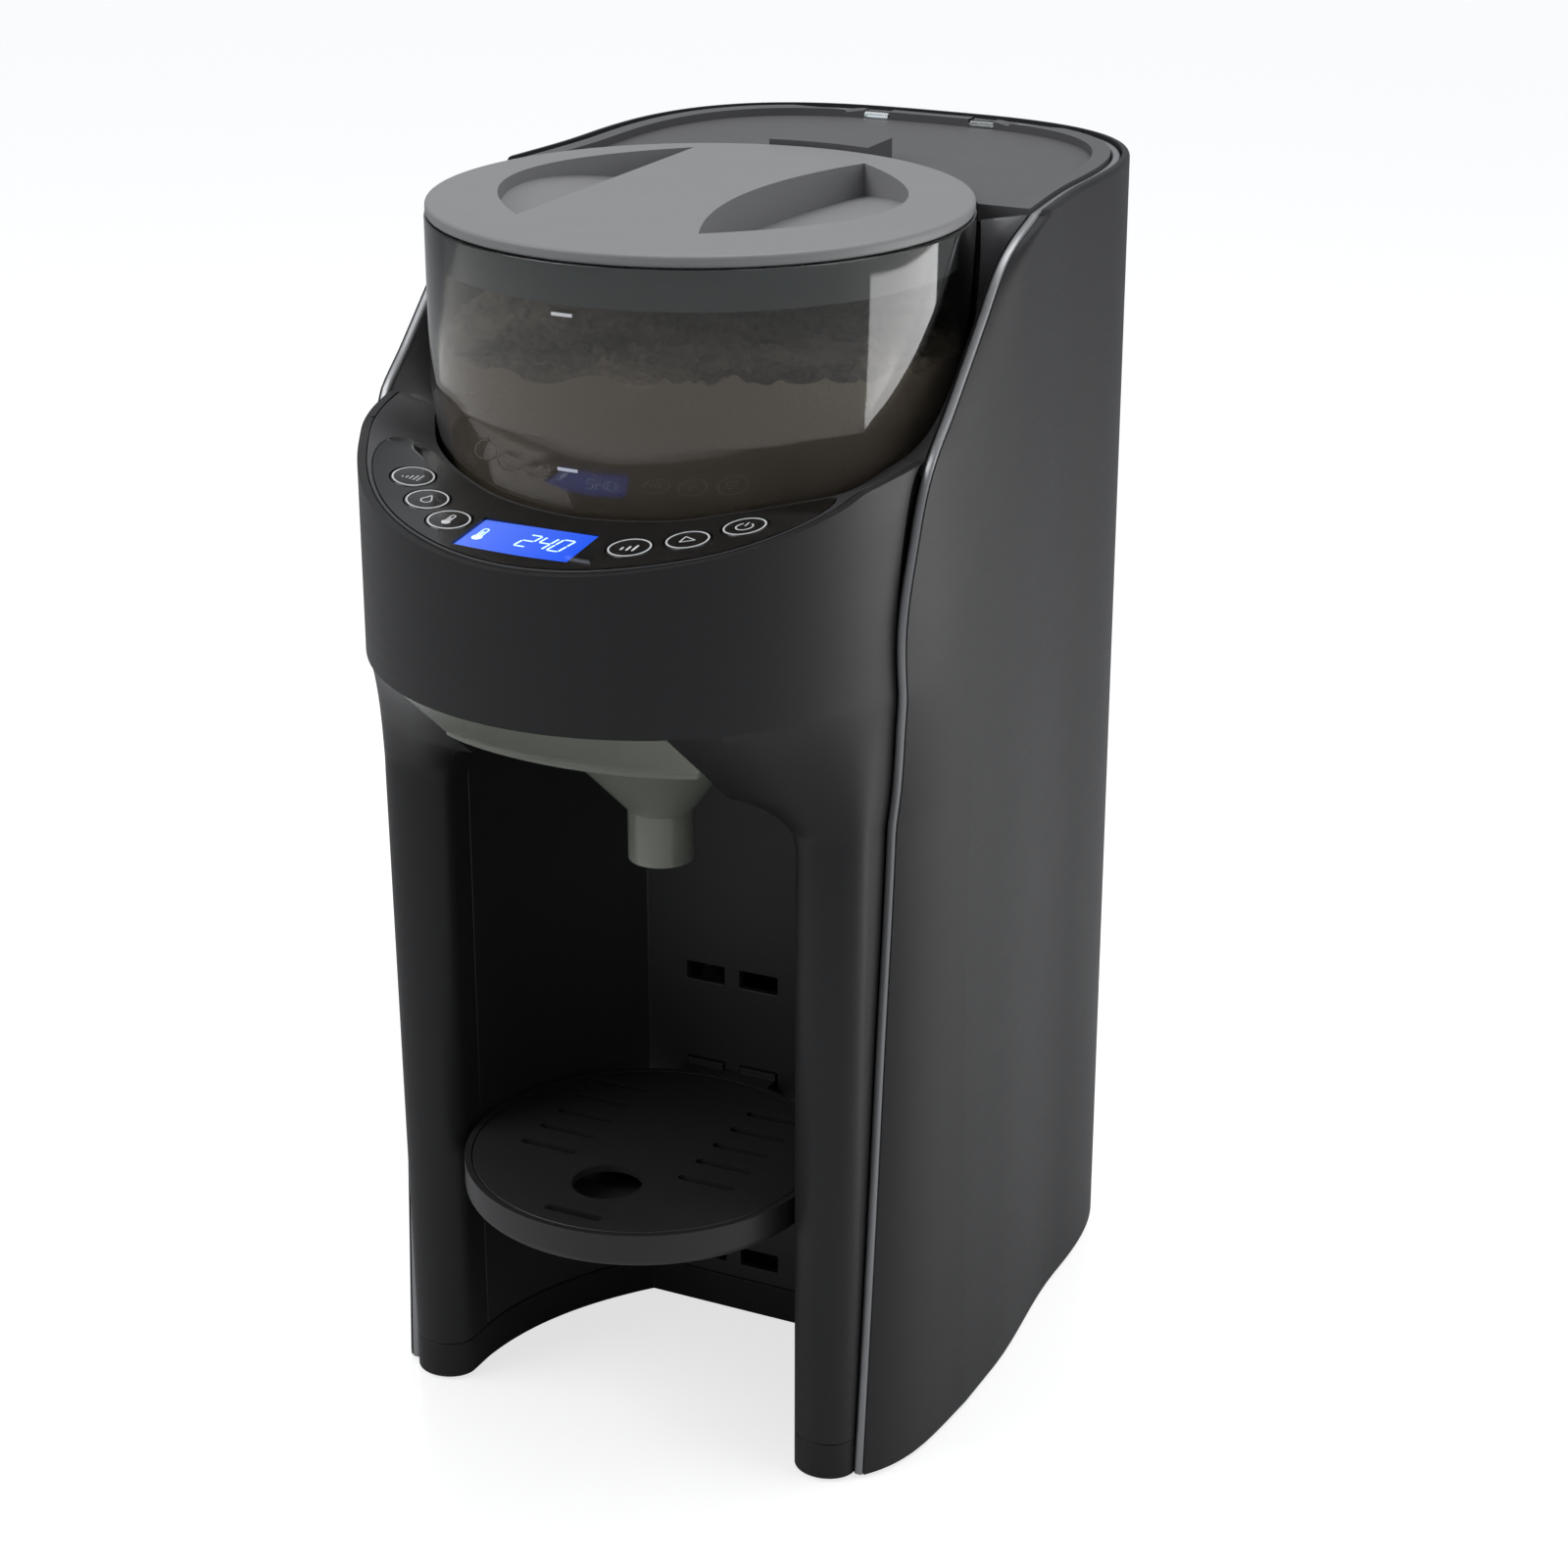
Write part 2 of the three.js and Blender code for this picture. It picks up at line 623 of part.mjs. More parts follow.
// Bevel, flank and rear of a side panel at one height, from its front edge to the rear cover
const bevelSteps = 6;
const flankSteps = 3;
const coverSteps = 6;
function panelRow(z, inset, startY = seamY(z)) {
  const end = Math.min(startY + bevelLength(Math.min(z, seamTop)), rearCentreY);
  const total = flankHalf(startY) - seamHalf(Math.min(z, seamTop)) - edgeOffset;
  const power = mix(bevelPowerFoot, bevelPowerHead, clamp01(z / chinBottom));
  const row = range(bevelSteps + 1).map((i) => {
    const w = (i / bevelSteps) ** (seamSpread);
    const v = 1 - w;
    const y = mix(startY, end, w);
    const drop = total * ((1 - creaseShare) * v ** power + creaseShare * v);
    return [flankHalf(y, inset) - drop, y, z];
  });
  for (const i of range(flankSteps)) {
    const y = mix(end, rearCentreY, (i + 1) / (flankSteps + 1));
    row.push([flankHalf(y, inset), y, z]);
  }
  const run = rearRun(inset, coverHalf + gap, coverSteps);
  return row.concat(run.map(([x, y]) => [x, y, z]));
}

const topRows = [[0, 0], [0.6, 0.15], [0.9, 0.5], [1, 1]]; // shares up and in, round the top edge

function sidePanel() {
  const rowSpecs = seamHeights.slice(0, -1).map((z) => [z, 0]);
  for (const [up, inward] of topRows) {
    rowSpecs.push([mix(seamTop, bodyTop, up), edgeRounding * inward]);
  }
  const outer = rowSpecs.map(([z, inset]) => panelRow(z, inset));
  const inner = rowSpecs.map(([z]) => panelRow(z, panelWall));
  return cut(thickPatch(outer, inner), trimStrip(gap, overrun));
}

// Polished strip along the seam and round the top edge, or a cutter larger by `grow` all round
// and reaching `face` beyond it
function trimStrip(grow = 0, face = 0) {
  const rings = [];
  const station = (inner, outer, normal) => {
    const middle = inner.clone().add(outer).multiplyScalar(1 / 2);
    const width = outer.clone().sub(inner).normalize();
    const place = (point, side, up) => point.clone()
      .addScaledVector(width, side * grow).addScaledVector(normal, up).toArray();
    rings.push([
      place(inner, -1, face), place(middle, 0, trimCrown + face), place(outer, 1, face),
      place(outer, 1, -trimDepth - grow), place(inner, -1, -trimDepth - grow),
    ]);
  };
  seamHeights.forEach((z, i) => {
    const [low, high] = [seamHeights[Math.max(i - 1, 0)], seamHeights[Math.min(i + 1, seamSteps)]];
    const run = new THREE.Vector2(seamY(high) - seamY(low), high - low).normalize();
    const x = seamHalf(z) + gap;
    const [y, level] = i === 0 ? [seamY(z), z - Math.sign(grow) * overrun] : [seamY(z), z];
    station(new THREE.Vector3(x, y, level), new THREE.Vector3(x + trimWidth, y, level),
      new THREE.Vector3(0, -run.y, run.x));
  });
  const up = new THREE.Vector3(0, 0, 1);
  const innerInset = seamInset - gap;
  const outerInset = innerInset - trimWidth;
  const straight = range(flankSteps).map((i) => (
    mix(seamY(seamTop), rearCentreY, (i + 1) / (flankSteps + 1))
  ));
  for (const y of straight) {
    station(new THREE.Vector3(flankHalf(y, innerInset), y, seamTop),
      new THREE.Vector3(flankHalf(y, outerInset), y, seamTop), up);
  }
  const steps = 2 * coverSteps;
  const innerRun = rearRun(innerInset, gap / 2, steps);
  const outerRun = rearRun(outerInset, gap / 2, steps);
  innerRun.forEach(([x, y], i) => {
    const [ox, oy] = outerRun[i];
    station(new THREE.Vector3(x, y, seamTop), new THREE.Vector3(ox, oy, seamTop), up);
  });
  return loft(rings);
}

// Front shell: head, chin and the legs beside the bottle bay
const notchHalf = lipHalf + gap; // half width of the opening that the funnel's lip closes
const archHalf = bayHalf - notchHalf; // width of the opening's rounded corner
const shellColumns = 9;
const flankColumns = 2;
const legRowShares = [0, 0.3, 0.6, 0.85, 1]; // rows up the leg
const cornerSteps = 5; // rows round the opening's corner
const sideSteps = 3; // rows beside the lip
const acrossSteps = 5; // rows above it
const riseSteps = 5; // rows from the head's lower edge to its rim
const cornerRiseShare = 0.25; // seam's height where the corner ends, from bay top to head bottom
const headRiseShare = 0.35; // seam's height over the middle, from head bottom to the rim

// Rows of the shell: the height at the seam, and the [x, z] of the opening's edge or the middle
function shellRows() {
  const cornerZ = bayTop - bayCorner;
  const rows = legRowShares.map((t) => {
    const z = mix(seamFoot, cornerZ, t);
    return [z, bayHalf, z];
  });
  const cornerEnd = mix(bayTop, headBottom, cornerRiseShare);
  for (const i of range(cornerSteps)) {
    const t = (i + 1) / cornerSteps;
    const turn = (t * halfTurn) / 2;
    const x = notchHalf + archHalf * Math.cos(turn);
    rows.push([mix(cornerZ, cornerEnd, t), x, cornerZ + bayCorner * Math.sin(turn)]);
  }
  for (const i of range(sideSteps)) {
    const t = (i + 1) / sideSteps;
    rows.push([mix(cornerEnd, headBottom, t), notchHalf, mix(bayTop, headBottom, t)]);
  }
  const highZ = mix(headBottom, rimSideHeight, headRiseShare);
  for (const i of range(acrossSteps)) {
    const t = (i + 1) / acrossSteps;
    rows.push([mix(headBottom, highZ, t), notchHalf * (1 - t), headBottom]);
  }
  return rows;
}

const rimHeight = curveThrough(
  scaled(rimLengthShares, rimSideY - front, front),
  scaled(rimRiseShares, rimSideHeight - rimFrontHeight, rimFrontHeight),
);

// Point of the front shell's surface
function shellPoint(u, seamZ, innerX, innerZ, rise = 0) {
  const across = clamp01(u);
  const z0 = mix(seamZ, innerZ, across);
  const onFlank = u < 0;
  const flankY = mix(legCentreY, seamY(seamZ), -u);
  const lowAngle = Math.acos((headY - legCentreY) / headDepth);
  const angle = mix(lowAngle, Math.asin(innerX / headHalf), across);
  const headAt = onFlank ? [headX(flankY), flankY]
    : [headHalf * Math.sin(angle), headY - headDepth * Math.cos(angle)];
  const [outerX, turn] = [legX(z0), halfTurn * across];
  const [middle, half] = [(outerX + innerX) / 2, (outerX - innerX) / 2];
  const legAt = onFlank ? [legX(z0), flankY]
    : [middle + half * Math.cos(turn), legCentreY - legRound * Math.sin(turn)];
  const share = chinShare(z0);
  const [x, y] = [mix(headAt[0], legAt[0], share), mix(headAt[1], legAt[1], share)];
  return [x, y, mix(z0, rimHeight(y), rise)];
}

// Inner side of a wall: each point of a grid moved back along the surface's normal
function offsetGrid(grid, distance, keepFlat) {
  const at = (i, j) => new THREE.Vector3(...grid[i][j]);
  const [rows, columns] = [grid.length, grid[0].length];
  return grid.map((row, i) => row.map((point, j) => {
    const along = at(Math.min(i + 1, rows - 1), j).sub(at(Math.max(i - 1, 0), j));
    const across = at(i, Math.min(j + 1, columns - 1)).sub(at(i, Math.max(j - 1, 0)));
    const normal = along.cross(across).normalize();
    if (keepFlat(i, j)) normal.x = 0;
    return at(i, j).addScaledVector(normal.normalize(), distance).toArray();
  }));
}

function frontShell() {
  const rows = shellRows();
  const columns = range(flankColumns + shellColumns + 1).map((j) => (
    j < flankColumns ? -1 + j / flankColumns : (j - flankColumns) / shellColumns
  ));
  const outer = rows.map(([seamZ, x, z]) => columns.map((u) => shellPoint(u, seamZ, x, z)));
  const [topSeam, topX, topZ] = rows[rows.length - 1];
  for (const i of range(riseSteps)) {
    const t = (i + 1) / riseSteps;
    outer.push(columns.map((u) => shellPoint(u, mix(topSeam, rimSideHeight, t), topX, topZ, t)));
  }
  const last = columns.length - 1;
  const middleRow = rows.length - 1;
  const inner = offsetGrid(outer, -shellWall, (i, j) => j === last && i >= middleRow);
  const edge = rows.map((row, i) => outer[i][last]);
  const sideOuter = [];
  const sideInner = [];
  const archRows = rows.filter(([, x]) => x > notchHalf).length;
  edge.slice(0, archRows + 1).forEach(([x, y, z], i) => {
    const [a, b] = [edge[Math.max(i - 1, 0)], edge[Math.min(i + 1, archRows)]];
    const length = Math.hypot(b[0] - a[0], b[2] - a[2]);
    const rise = i === 0 ? 0 : shellWall * ((a[0] - b[0]) / length);
    const out = [shellWall * ((b[2] - a[2]) / length), rise];
    sideOuter.push([[x, y - wallLap, z], [x, shellBackY, z]]);
    sideInner.push([[x + out[0], y - wallLap, z + out[1]], [x + out[0], shellBackY, z + out[1]]]);
  });
  const side = thickPatch(sideOuter, sideInner);
  const shell = join(thickPatch(outer, inner, middleRow), side, mirrored(side));
  const notch = notchHalf + 2 * weld;
  const drawerWay = block([-notch, front - overrun, ceilingHeight - overrun],
    [notch, shellBackY + overrun, headBottom + 2 * weld]);
  const stripWay = trimStrip(gap / 2, overrun);
  return cut(shell, drawerWay, stripWay, mirrored(stripWay));
}

// Rear cover between the side panels, with vents and an opening for the mains inlet
function rearCover() {
  const rowSpecs = [[seamFoot, 0]];
  for (const [up, inward] of topRows) {
    rowSpecs.push([mix(seamTop, bodyTop, up), edgeRounding * inward]);
  }
  const arc = (inset) => {
    const full = rearRun(inset, 0, 2 * coverSteps);
    const edge = rearRun(inset, coverHalf, coverSteps).pop();
    const half = [edge, ...full.filter(([x]) => x < coverHalf - weld)];
    const other = half.slice(0, -1).reverse().map(([x, y]) => [-x, y]);
    return half.concat(other);
  };
  const grid = (insetOf) => rowSpecs.map(([z, inset]) => (
    arc(insetOf(inset)).map(([x, y]) => [x, y, z])
  ));
  const wall = thickPatch(grid((inset) => inset), grid(() => panelWall));
  const vents = range(ventCount).map((i) => {
    const z = ventLevel + i * ventPitch;
    return block([-ventHalf, rearCentreY, z], [ventHalf, rear + overrun, z + ventHeight]);
  });
  const half = inletWidth / 2 + gap;
  const low = inletLevel - inletHeight / 2 - gap;
  const hole = block([-half, rearCentreY, low], [half, rear + overrun, low + inletHeight + 2 * gap]);
  return cut(wall, hole, ...vents);
}

// Plan of the bottle bay's wall, from its front edge to the flat back, moved out by `out`
function bayCurve(out) {
  const curve = new THREE.QuadraticBezierCurve(
    new THREE.Vector2(bayHalf, shellBackY + gap),
    new THREE.Vector2(bayHalf - bayPull, mix(shellBackY, bayBackY, bayPullShare)),
    new THREE.Vector2(bayBackHalf, bayBackY),
  );
  return range(bayFacets + 1).map((i) => {
    const t = i / bayFacets;
    const point = curve.getPoint(t);
    const tangent = curve.getTangent(t);
    return [point.x + out * tangent.y, point.y - out * tangent.x];
  });
}

// Heights of the slots that the drip tray hangs in
const hookLevels = range(hookPositions).map((i) => lowestHook + i * hookPitch);
const hookSides = [-1, 1];

function bayLiner() {
  const inside = bayCurve(0);
  const outside = bayCurve(linerWall);
  outside[0] = [outside[0][0], inside[0][1]];
  outside[outside.length - 1] = [bayBackHalf, bayBackY + linerWall];
  const flip = ([x, y]) => [-x, y];
  const outline = [
    ...inside, ...inside.map(flip).reverse(), ...outside.map(flip), ...outside.slice().reverse(),
  ];
  const slots = hookLevels.flatMap((z) => hookSides.map((side) => {
    const x = side * (hookSpacing / 2);
    const half = hookWidth / 2 + gap;
    return block([x - half, bayBackY - overrun, z - gap],
      [x + half, bayBackY + linerWall + overrun, z + hookHeight + gap]);
  }));
  return cut(prism(outline, seamFoot, ceilingHeight - gap), ...slots);
}

// Base frame between the side panels, open where the bottle stands
function baseFrame() {
  const leg = range(shellColumns + 1).map((j) => (
    shellPoint(j / shellColumns, seamFoot, bayHalf, seamFoot).slice(0, 2)
  ));
  const seamX = seamHalf(panelFoot);
  const behindStrip = seamY(seamFoot) + trimDepth + 2 * gap;
  const wall = panelRow(seamFoot, panelWall + gap).map(([x, y]) => [x, y]);
  const side = wall.filter(([, y]) => y > behindStrip + gap).reverse();
  const back = rearRun(panelWall + gap, 0, 2 * coverSteps).reverse();
  const rounding = back.filter(([x]) => x < coverHalf);
  const right = [...rounding, ...side, [seamX, behindStrip], ...leg, ...bayCurve(0)];
  const left = right.slice(1).map(([x, y]) => [-x, y]).reverse();
  const outline = right.concat(left);
  const frame = prism(outline, groundZ, baseHeight);
  const pocket = prism(insetOutline(outline, baseWall), groundZ + basePlate, baseHeight + overrun);
  return cut(frame, pocket);
}

// An outline moved inwards
function insetOutline(points, distance) {
  const count = points.length;
  const area = points.reduce((sum, [x, y], i) => {
    const [nx, ny] = points[(i + 1) % count];
    return sum + x * ny - nx * y;
  }, 0);
  const turn = Math.sign(area);
  return points.map(([x, y], i) => {
    const [ax, ay] = points[(i + count - 1) % count];
    const [bx, by] = points[(i + 1) % count];
    const first = new THREE.Vector2(x - ax, y - ay).normalize();
    const second = new THREE.Vector2(bx - x, by - y).normalize();
    const normal = new THREE.Vector2(-(first.y + second.y), first.x + second.x).normalize();
    return [x + turn * distance * normal.x, y + turn * distance * normal.y];
  });
}

// Deck round the container: outer and inner points of each row, from front to rear
const taperLevels = scaled(taperHeightShares, taperHeight, containerFloor);
const containerRadiusAt = curveThrough(
  taperLevels,
  scaled(taperShares, containerRadius - containerFoot, containerFoot),
);
const deckHeight = curveThrough(deckAngles, scaled(deckRiseShares, deckRise, deckFrontHeight));
const rimInset = shellWall + gap;
const deckFrontSteps = 9;
const deckSideSteps = 8;
function deckStations() {
  const outer = range(deckFrontSteps + 1).map((i) => {
    const last = Math.acos((headY - rimSideY - gap) / (headDepth - rimInset));
    const angle = (last * i) / deckFrontSteps;
    const y = headY - (headDepth - rimInset) * Math.cos(angle);
    return [(headHalf - rimInset) * Math.sin(angle), y, rimHeight(y) - gap];
  });
  for (const i of range(deckSideSteps + 1)) {
    const z = mix(rimSideHeight + gap, seamTop, 1 - (1 - i / deckSideSteps) ** seamSpread);
    outer.push([seamHalf(z) - gap, seamY(z), z]);
  }
  return outer.map(([x, y, z]) => {
    const turn = Math.atan2(x, axisY - y);
    const level = deckHeight(turn / degree);
    const radius = containerRadiusAt(level) + deckClearance;
    const inner = [radius * Math.sin(turn), axisY - radius * Math.cos(turn), level];
    return { turn, outer: [x, y, z], inner };
  });
}
const stations = deckStations();
const turns = stations.map((station) => station.turn / degree);
const turnCurve = (part, k) => curveThrough(turns, stations.map((station) => station[part][k]));
const outerCurves = range(3).map((k) => turnCurve('outer', k));
const innerCurves = range(3).map((k) => turnCurve('inner', k));

// Point on the deck, by degrees round the container and place from its hole to its rim
function deckPoint(angle, share) {
  const side = Math.sign(angle) || 1;
  const t = Math.abs(angle);
  const [x, y, z] = range(3).map((k) => mix(innerCurves[k](t), outerCurves[k](t), share));
  return new THREE.Vector3(side * x, y, z);
}

function deckNormal(angle, share) {
  const along = deckPoint(angle + 1, share).sub(deckPoint(angle - 1, share));
  const across = deckPoint(angle, 1).sub(deckPoint(angle, 0));
  return across.cross(along).normalize();
}

const deckColumns = 3;
function deckBody() {
  const row = (station, drop) => range(deckColumns + 1).map((j) => {
    const share = j / deckColumns;
    return range(3).map((k) => mix(station.inner[k], station.outer[k], share) - (k === 2 ? drop : 0));
  });
  const half = (drop) => stations.map((station) => row(station, drop));
  const both = (drop) => {
    const right = half(drop);
    const left = right.slice(1).map((points) => points.map(([x, y, z]) => [-x, y, z])).reverse();
    return left.concat(right);
  };
  return thickPatch(both(0), both(deckThickness));
}

// Crescent of the control panel, or the pocket for it when `grow` is above zero
const panelSteps = 16;
function panelCrescent(grow) {
  const reach = panelEnd + grow / degree / containerRadius;
  const rows = range(panelSteps + 1).map((i) => {
    const angle = mix(-reach, reach, i / panelSteps);
    const room = 1 - (Math.abs(angle) / reach) ** panelEndPower;
    const width = deckPoint(angle, 1).distanceTo(deckPoint(angle, 0));
    const full = (width / 2 - panelInset + grow) * Math.sqrt(Math.max(room, 0));
    const share = Math.max(full, grow + panelInset) / width;
    return { angle, low: 1 / 2 - share, high: 1 / 2 + share };
  });
  const grid = (lift) => rows.map(({ angle, low, high }) => range(deckColumns + 1).map((j) => {
    const point = deckPoint(angle, mix(low, high, j / deckColumns));
    return point.addScaledVector(deckNormal(angle, 1 / 2), lift).toArray();
  }));
  return thickPatch(grid(grow > 0 ? overrun : panelProud), grid(-panelThickness - grow));
}

// Puts a solid made round the Z axis on a point, standing along a direction
function standOn(solid, point, direction) {
  const turn = new THREE.Quaternion().setFromUnitVectors(new THREE.Vector3(0, 0, 1), direction);
  const place = new THREE.Matrix4().compose(point, turn, new THREE.Vector3(1, 1, 1));
  return solid.transform(place.elements);
}

const buttonPlaces = buttonAngles.map((angle, i) => ({
  point: deckPoint(angle, buttonReachShares[i]), normal: deckNormal(angle, buttonReachShares[i]),
}));
function buttonBody(radius, low, high) {
  return revolve([
    [0, low], [radius, low], [radius, high - buttonCrown], [radius - buttonCrown, high], [0, high],
  ], 0, 0, smallFacets);
}
const buttonWells = buttonPlaces.map(({ point, normal }) => (
  standOn(disc(buttonRadius + gap, -buttonLength, 2 * overrun, 0, 0, smallFacets), point, normal)
));

// The display lies flat in the panel
const displayY = front + displaySetback;
const displayAngle = Math.atan2(displayShift, axisY - displayY) / degree;
const displayShareAt = (displayY - deckPoint(displayAngle, 0).y)
  / (deckPoint(displayAngle, 1).y - deckPoint(displayAngle, 0).y);
const displayPoint = deckPoint(displayAngle, displayShareAt);
const displayNormal = deckNormal(0, displayShareAt);
function displayBody(grow, low, high) {
  const [w, d] = [displayWidth / 2 + grow, displayDepth / 2 + grow];
  return standOn(block([-w, -d, low], [w, d, high]), displayPoint, displayNormal);
}

const deckSolid = cut(deckBody(), panelCrescent(gap), ...buttonWells,
  displayBody(gap, -2 * displayThickness, overrun));
const displayWindowWay = displayBody(gap, -overrun - panelThickness, overrun);
const controlPanel = cut(panelCrescent(0), ...buttonWells, displayWindowWay);

// Seat round the container's lower part, with a wall behind it up to the tank lid
const seatLevels = 3;
function containerSeat() {
  const top = deckFrontHeight - deckThickness - gap;
  const levels = range(seatLevels + 1).map((i) => mix(seatPlateTop, top, i / seatLevels));
  const inside = levels.map((z) => [containerRadiusAt(z) + deckClearance, z]);
  const outside = inside.map(([r, z]) => [r + seatWall, z]);
  const low = seatPlateTop - seatPlateThickness;
  const cup = revolve([
    [0, low], [containerFoot + deckClearance + seatWall, low], ...outside,
    ...inside.slice().reverse(), [0, seatPlateTop], [0, low],
  ]);
  const radius = containerRadius + deckClearance;
  const wall = ring(radius, radius + seatWall, top - wallLap, seamTop - deckThickness, 0, axisY);
  const bridgeInner = containerRadiusAt(top) + deckClearance;
  const bridge = ring(bridgeInner, radius + seatWall, top - seatWall, top, 0, axisY);
  const frontKeep = block([-bodyHalf, front - overrun, 0], [bodyHalf, backWallY, 2 * bodyTop]);
  const rise = cut(join(wall, bridge), frontKeep);
  const drop = disc(chuteRadius, 0, bodyTop, 0, spoutY, smallFacets);
  const centre = disc(dogRadius + shaftClearance, 0, bodyTop, 0, axisY, smallFacets);
  return cut(join(cup.translate([0, axisY, 0]), rise), drop, centre);
}

const backWallY = seamY(seamTop) + gap + seatWall;

// Powder container
function powderContainer() {
  const outside = taperLevels.map((z) => [containerRadiusAt(z), z]);
  const inside = outside.map(([r, z]) => [r - containerWall, z]).slice(1).reverse();
  const body = revolve([
    [0, containerFloor], ...outside, [containerRadius, containerTop],
    [containerRadius - containerWall, containerTop], ...inside,
    [containerRadiusAt(containerFloor + floorThickness) - containerWall, containerFloor + floorThickness],
    [0, containerFloor + floorThickness], [0, containerFloor],
  ]).translate([0, axisY, 0]);
  const drop = disc(dropHoleRadius, 0, bodyTop, 0, spoutY, smallFacets);
  const socketTop = containerFloor + 2 * floorThickness;
  const centre = disc(dogRadius + shaftClearance, 0, socketTop, 0, axisY, smallFacets);
  return cut(body, drop, centre);
}

const wheelLow = containerFloor + floorThickness + gap;
const wheelHigh = wheelLow + wheelThickness;
const scraperLow = wheelHigh + gap;
const stirrerLow = scraperLow + scraperThickness + gap;
function hexagon(radius, z0, z1, x, y) {
  return disc(radius, z0, z1, x, y, dogSides);
}
function around(count, make) {
  return range(count).map((i) => make((2 * halfTurn * i) / count));
}

// Pocketed wheel with the stirrer's shaft and its socket for the dog
function dosingWheel() {
  const body = disc(wheelRadius, wheelLow, wheelHigh, 0, axisY);
  const post = disc(hubRadius, wheelHigh - wallLap, stirrerLow + armThickness, 0, axisY, smallFacets);
  const pockets = around(pocketCount, (turn) => disc(
    pocketRadius, wheelLow - overrun, wheelHigh + overrun,
    dropRadius * Math.sin(turn), axisY - dropRadius * Math.cos(turn), tinyFacets,
  ));
  const socket = hexagon(dogRadius + gap, wheelLow - overrun, wheelLow + dogHeight + gap, 0, axisY);
  return cut(join(body, post), ...pockets, socket);
}

function stirrer() {
  const low = stirrerLow + armThickness + gap;
  const hub = disc(hubRadius, low, low + hubHeight, 0, axisY, smallFacets);
  const arms = around(stirrerArms, (turn) => {
    const arm = block([0, -armThickness, low], [stirrerReach, armThickness, low + armThickness]);
    const blade = block(
      [stirrerReach - bladeWidth, -armThickness / 2, low + armThickness - wallLap],
      [stirrerReach, armThickness / 2, low + stirrerHeight],
    );
    return join(arm, blade).rotate([0, 0, turn / degree]).translate([0, axisY, 0]);
  });
  return join(hub, ...arms);
}

// Plate over the wheel above the drop hole, held by the container's wall
function scraperPlate() {
  const reach = containerRadiusAt(scraperLow) - containerWall - gap;
  const plate = block([-scraperHalf, axisY - reach, scraperLow],
    [scraperHalf, axisY - hubRadius - 2 * gap, scraperLow + scraperThickness]);
  return common(plate, disc(reach, scraperLow, scraperLow + scraperThickness, 0, axisY));
}

// Lid with two finger recesses that leave a grip bar between them
function gripOutline(straightX, waist, outX) {
  const arc = (bulge) => range(gripFacets + 1).map((i) => {
    const t = (2 * i) / gripFacets - 1;
    return [straightX + bulge * (1 - t * t), axisY + gripShift + t * (gripLength / 2)];
  });
  return arc(outX - straightX).concat(arc(waist).slice(1, -1).reverse());
}
function containerLid() {
  const underRim = lidTop - lidRim;
  const body = join(
    revolve([
      [0, underRim], [containerRadius - gap, underRim], [containerRadius - gap, lidTop - lidSoft],
      [containerRadius - gap - lidSoft, lidTop], [0, lidTop],
    ], 0, axisY),
    disc(lidPlugRadius, lidTop - gripDepth - lidWall, underRim + wallLap, 0, axisY),
  );
  const ramp = (deepX, shallowX) => depthPrism([
    [deepX, lidTop - gripDepth], [shallowX, lidTop - gripShallow],
    [shallowX, lidTop + overrun], [deepX, lidTop + overrun],
  ], front, rear);
  const left = common(
    prism(gripOutline(gripLeft, 0, gripLeft - gripReach), 0, 2 * bodyTop),
    ramp(gripLeft + overrun, gripLeft - gripReach - overrun),
  );
  const right = common(
    prism(gripOutline(gripRight, -gripWaist, gripRight + gripReachRight), 0, 2 * bodyTop),
    ramp(gripRight - gripWaist - overrun, gripRight + gripReachRight + overrun),
  );
  return cut(body, left, right);
}

function lidSeal() {
  const inner = lidPlugRadius + gap;
  const outer = containerRadius - containerWall - gap;
  return ring(inner, outer, lidTop - lidRim - gap - sealHeight, lidTop - lidRim - gap, 0, axisY);
}

// Gear outline with involute flanks
function gearOutline(teeth, turn) {
  const pitch = (gearModule * teeth) / 2;
  const base = pitch * Math.cos(gearPressure * degree);
  const tip = pitch + gearModule;
  const root = pitch - gearModule * dedendumShare;
  const involute = (angle) => Math.tan(angle) - angle;
  const half = halfTurn / (2 * teeth) - gearBacklash / (2 * pitch);
  const flankAt = (radius) => {
    const angle = Math.acos(Math.min(1, base / radius));
    return half + involute(gearPressure * degree) - involute(angle);
  };
  const start = Math.max(base, root);
  const radii = range(flankPoints + 1).map((i) => mix(start, tip, i / flankPoints));
  const points = [];
  for (const i of range(teeth)) {
    const middle = turn + (2 * halfTurn * i) / teeth;
    const put = (radius, angle) => points.push([radius * Math.cos(angle), radius * Math.sin(angle)]);
    put(root, middle - flankAt(start));
    for (const radius of radii) put(radius, middle - flankAt(radius));
    for (const radius of radii.slice().reverse()) put(radius, middle + flankAt(radius));
    put(root, middle + flankAt(start));
  }
  return points.filter((point, i) => {
    const [x, y] = points[(i + points.length - 1) % points.length];
    return Math.hypot(point[0] - x, point[1] - y) > weld;
  });
}

const motorY = axisY + (gearModule * (gearTeeth + pinionTeeth)) / 2;
const gearLow = gearPlateTop + gap;
const gearHigh = gearLow + gearThickness;
const shaftLow = gearPlateTop - gearPlateThickness - overrun;

function driveGear() {
  const turn = -halfTurn / 2;
  const wheel = prism(gearOutline(gearTeeth, turn), gearLow, gearHigh).translate([0, axisY, 0]);
  const shaft = disc(shaftRadius, shaftLow, seatPlateTop, 0, axisY, smallFacets);
  const dogLow = seatPlateTop - seatPlateThickness - gap;
  const dog = hexagon(dogRadius, dogLow, wheelLow + dogHeight, 0, axisY);
  return join(wheel, shaft, dog);
}

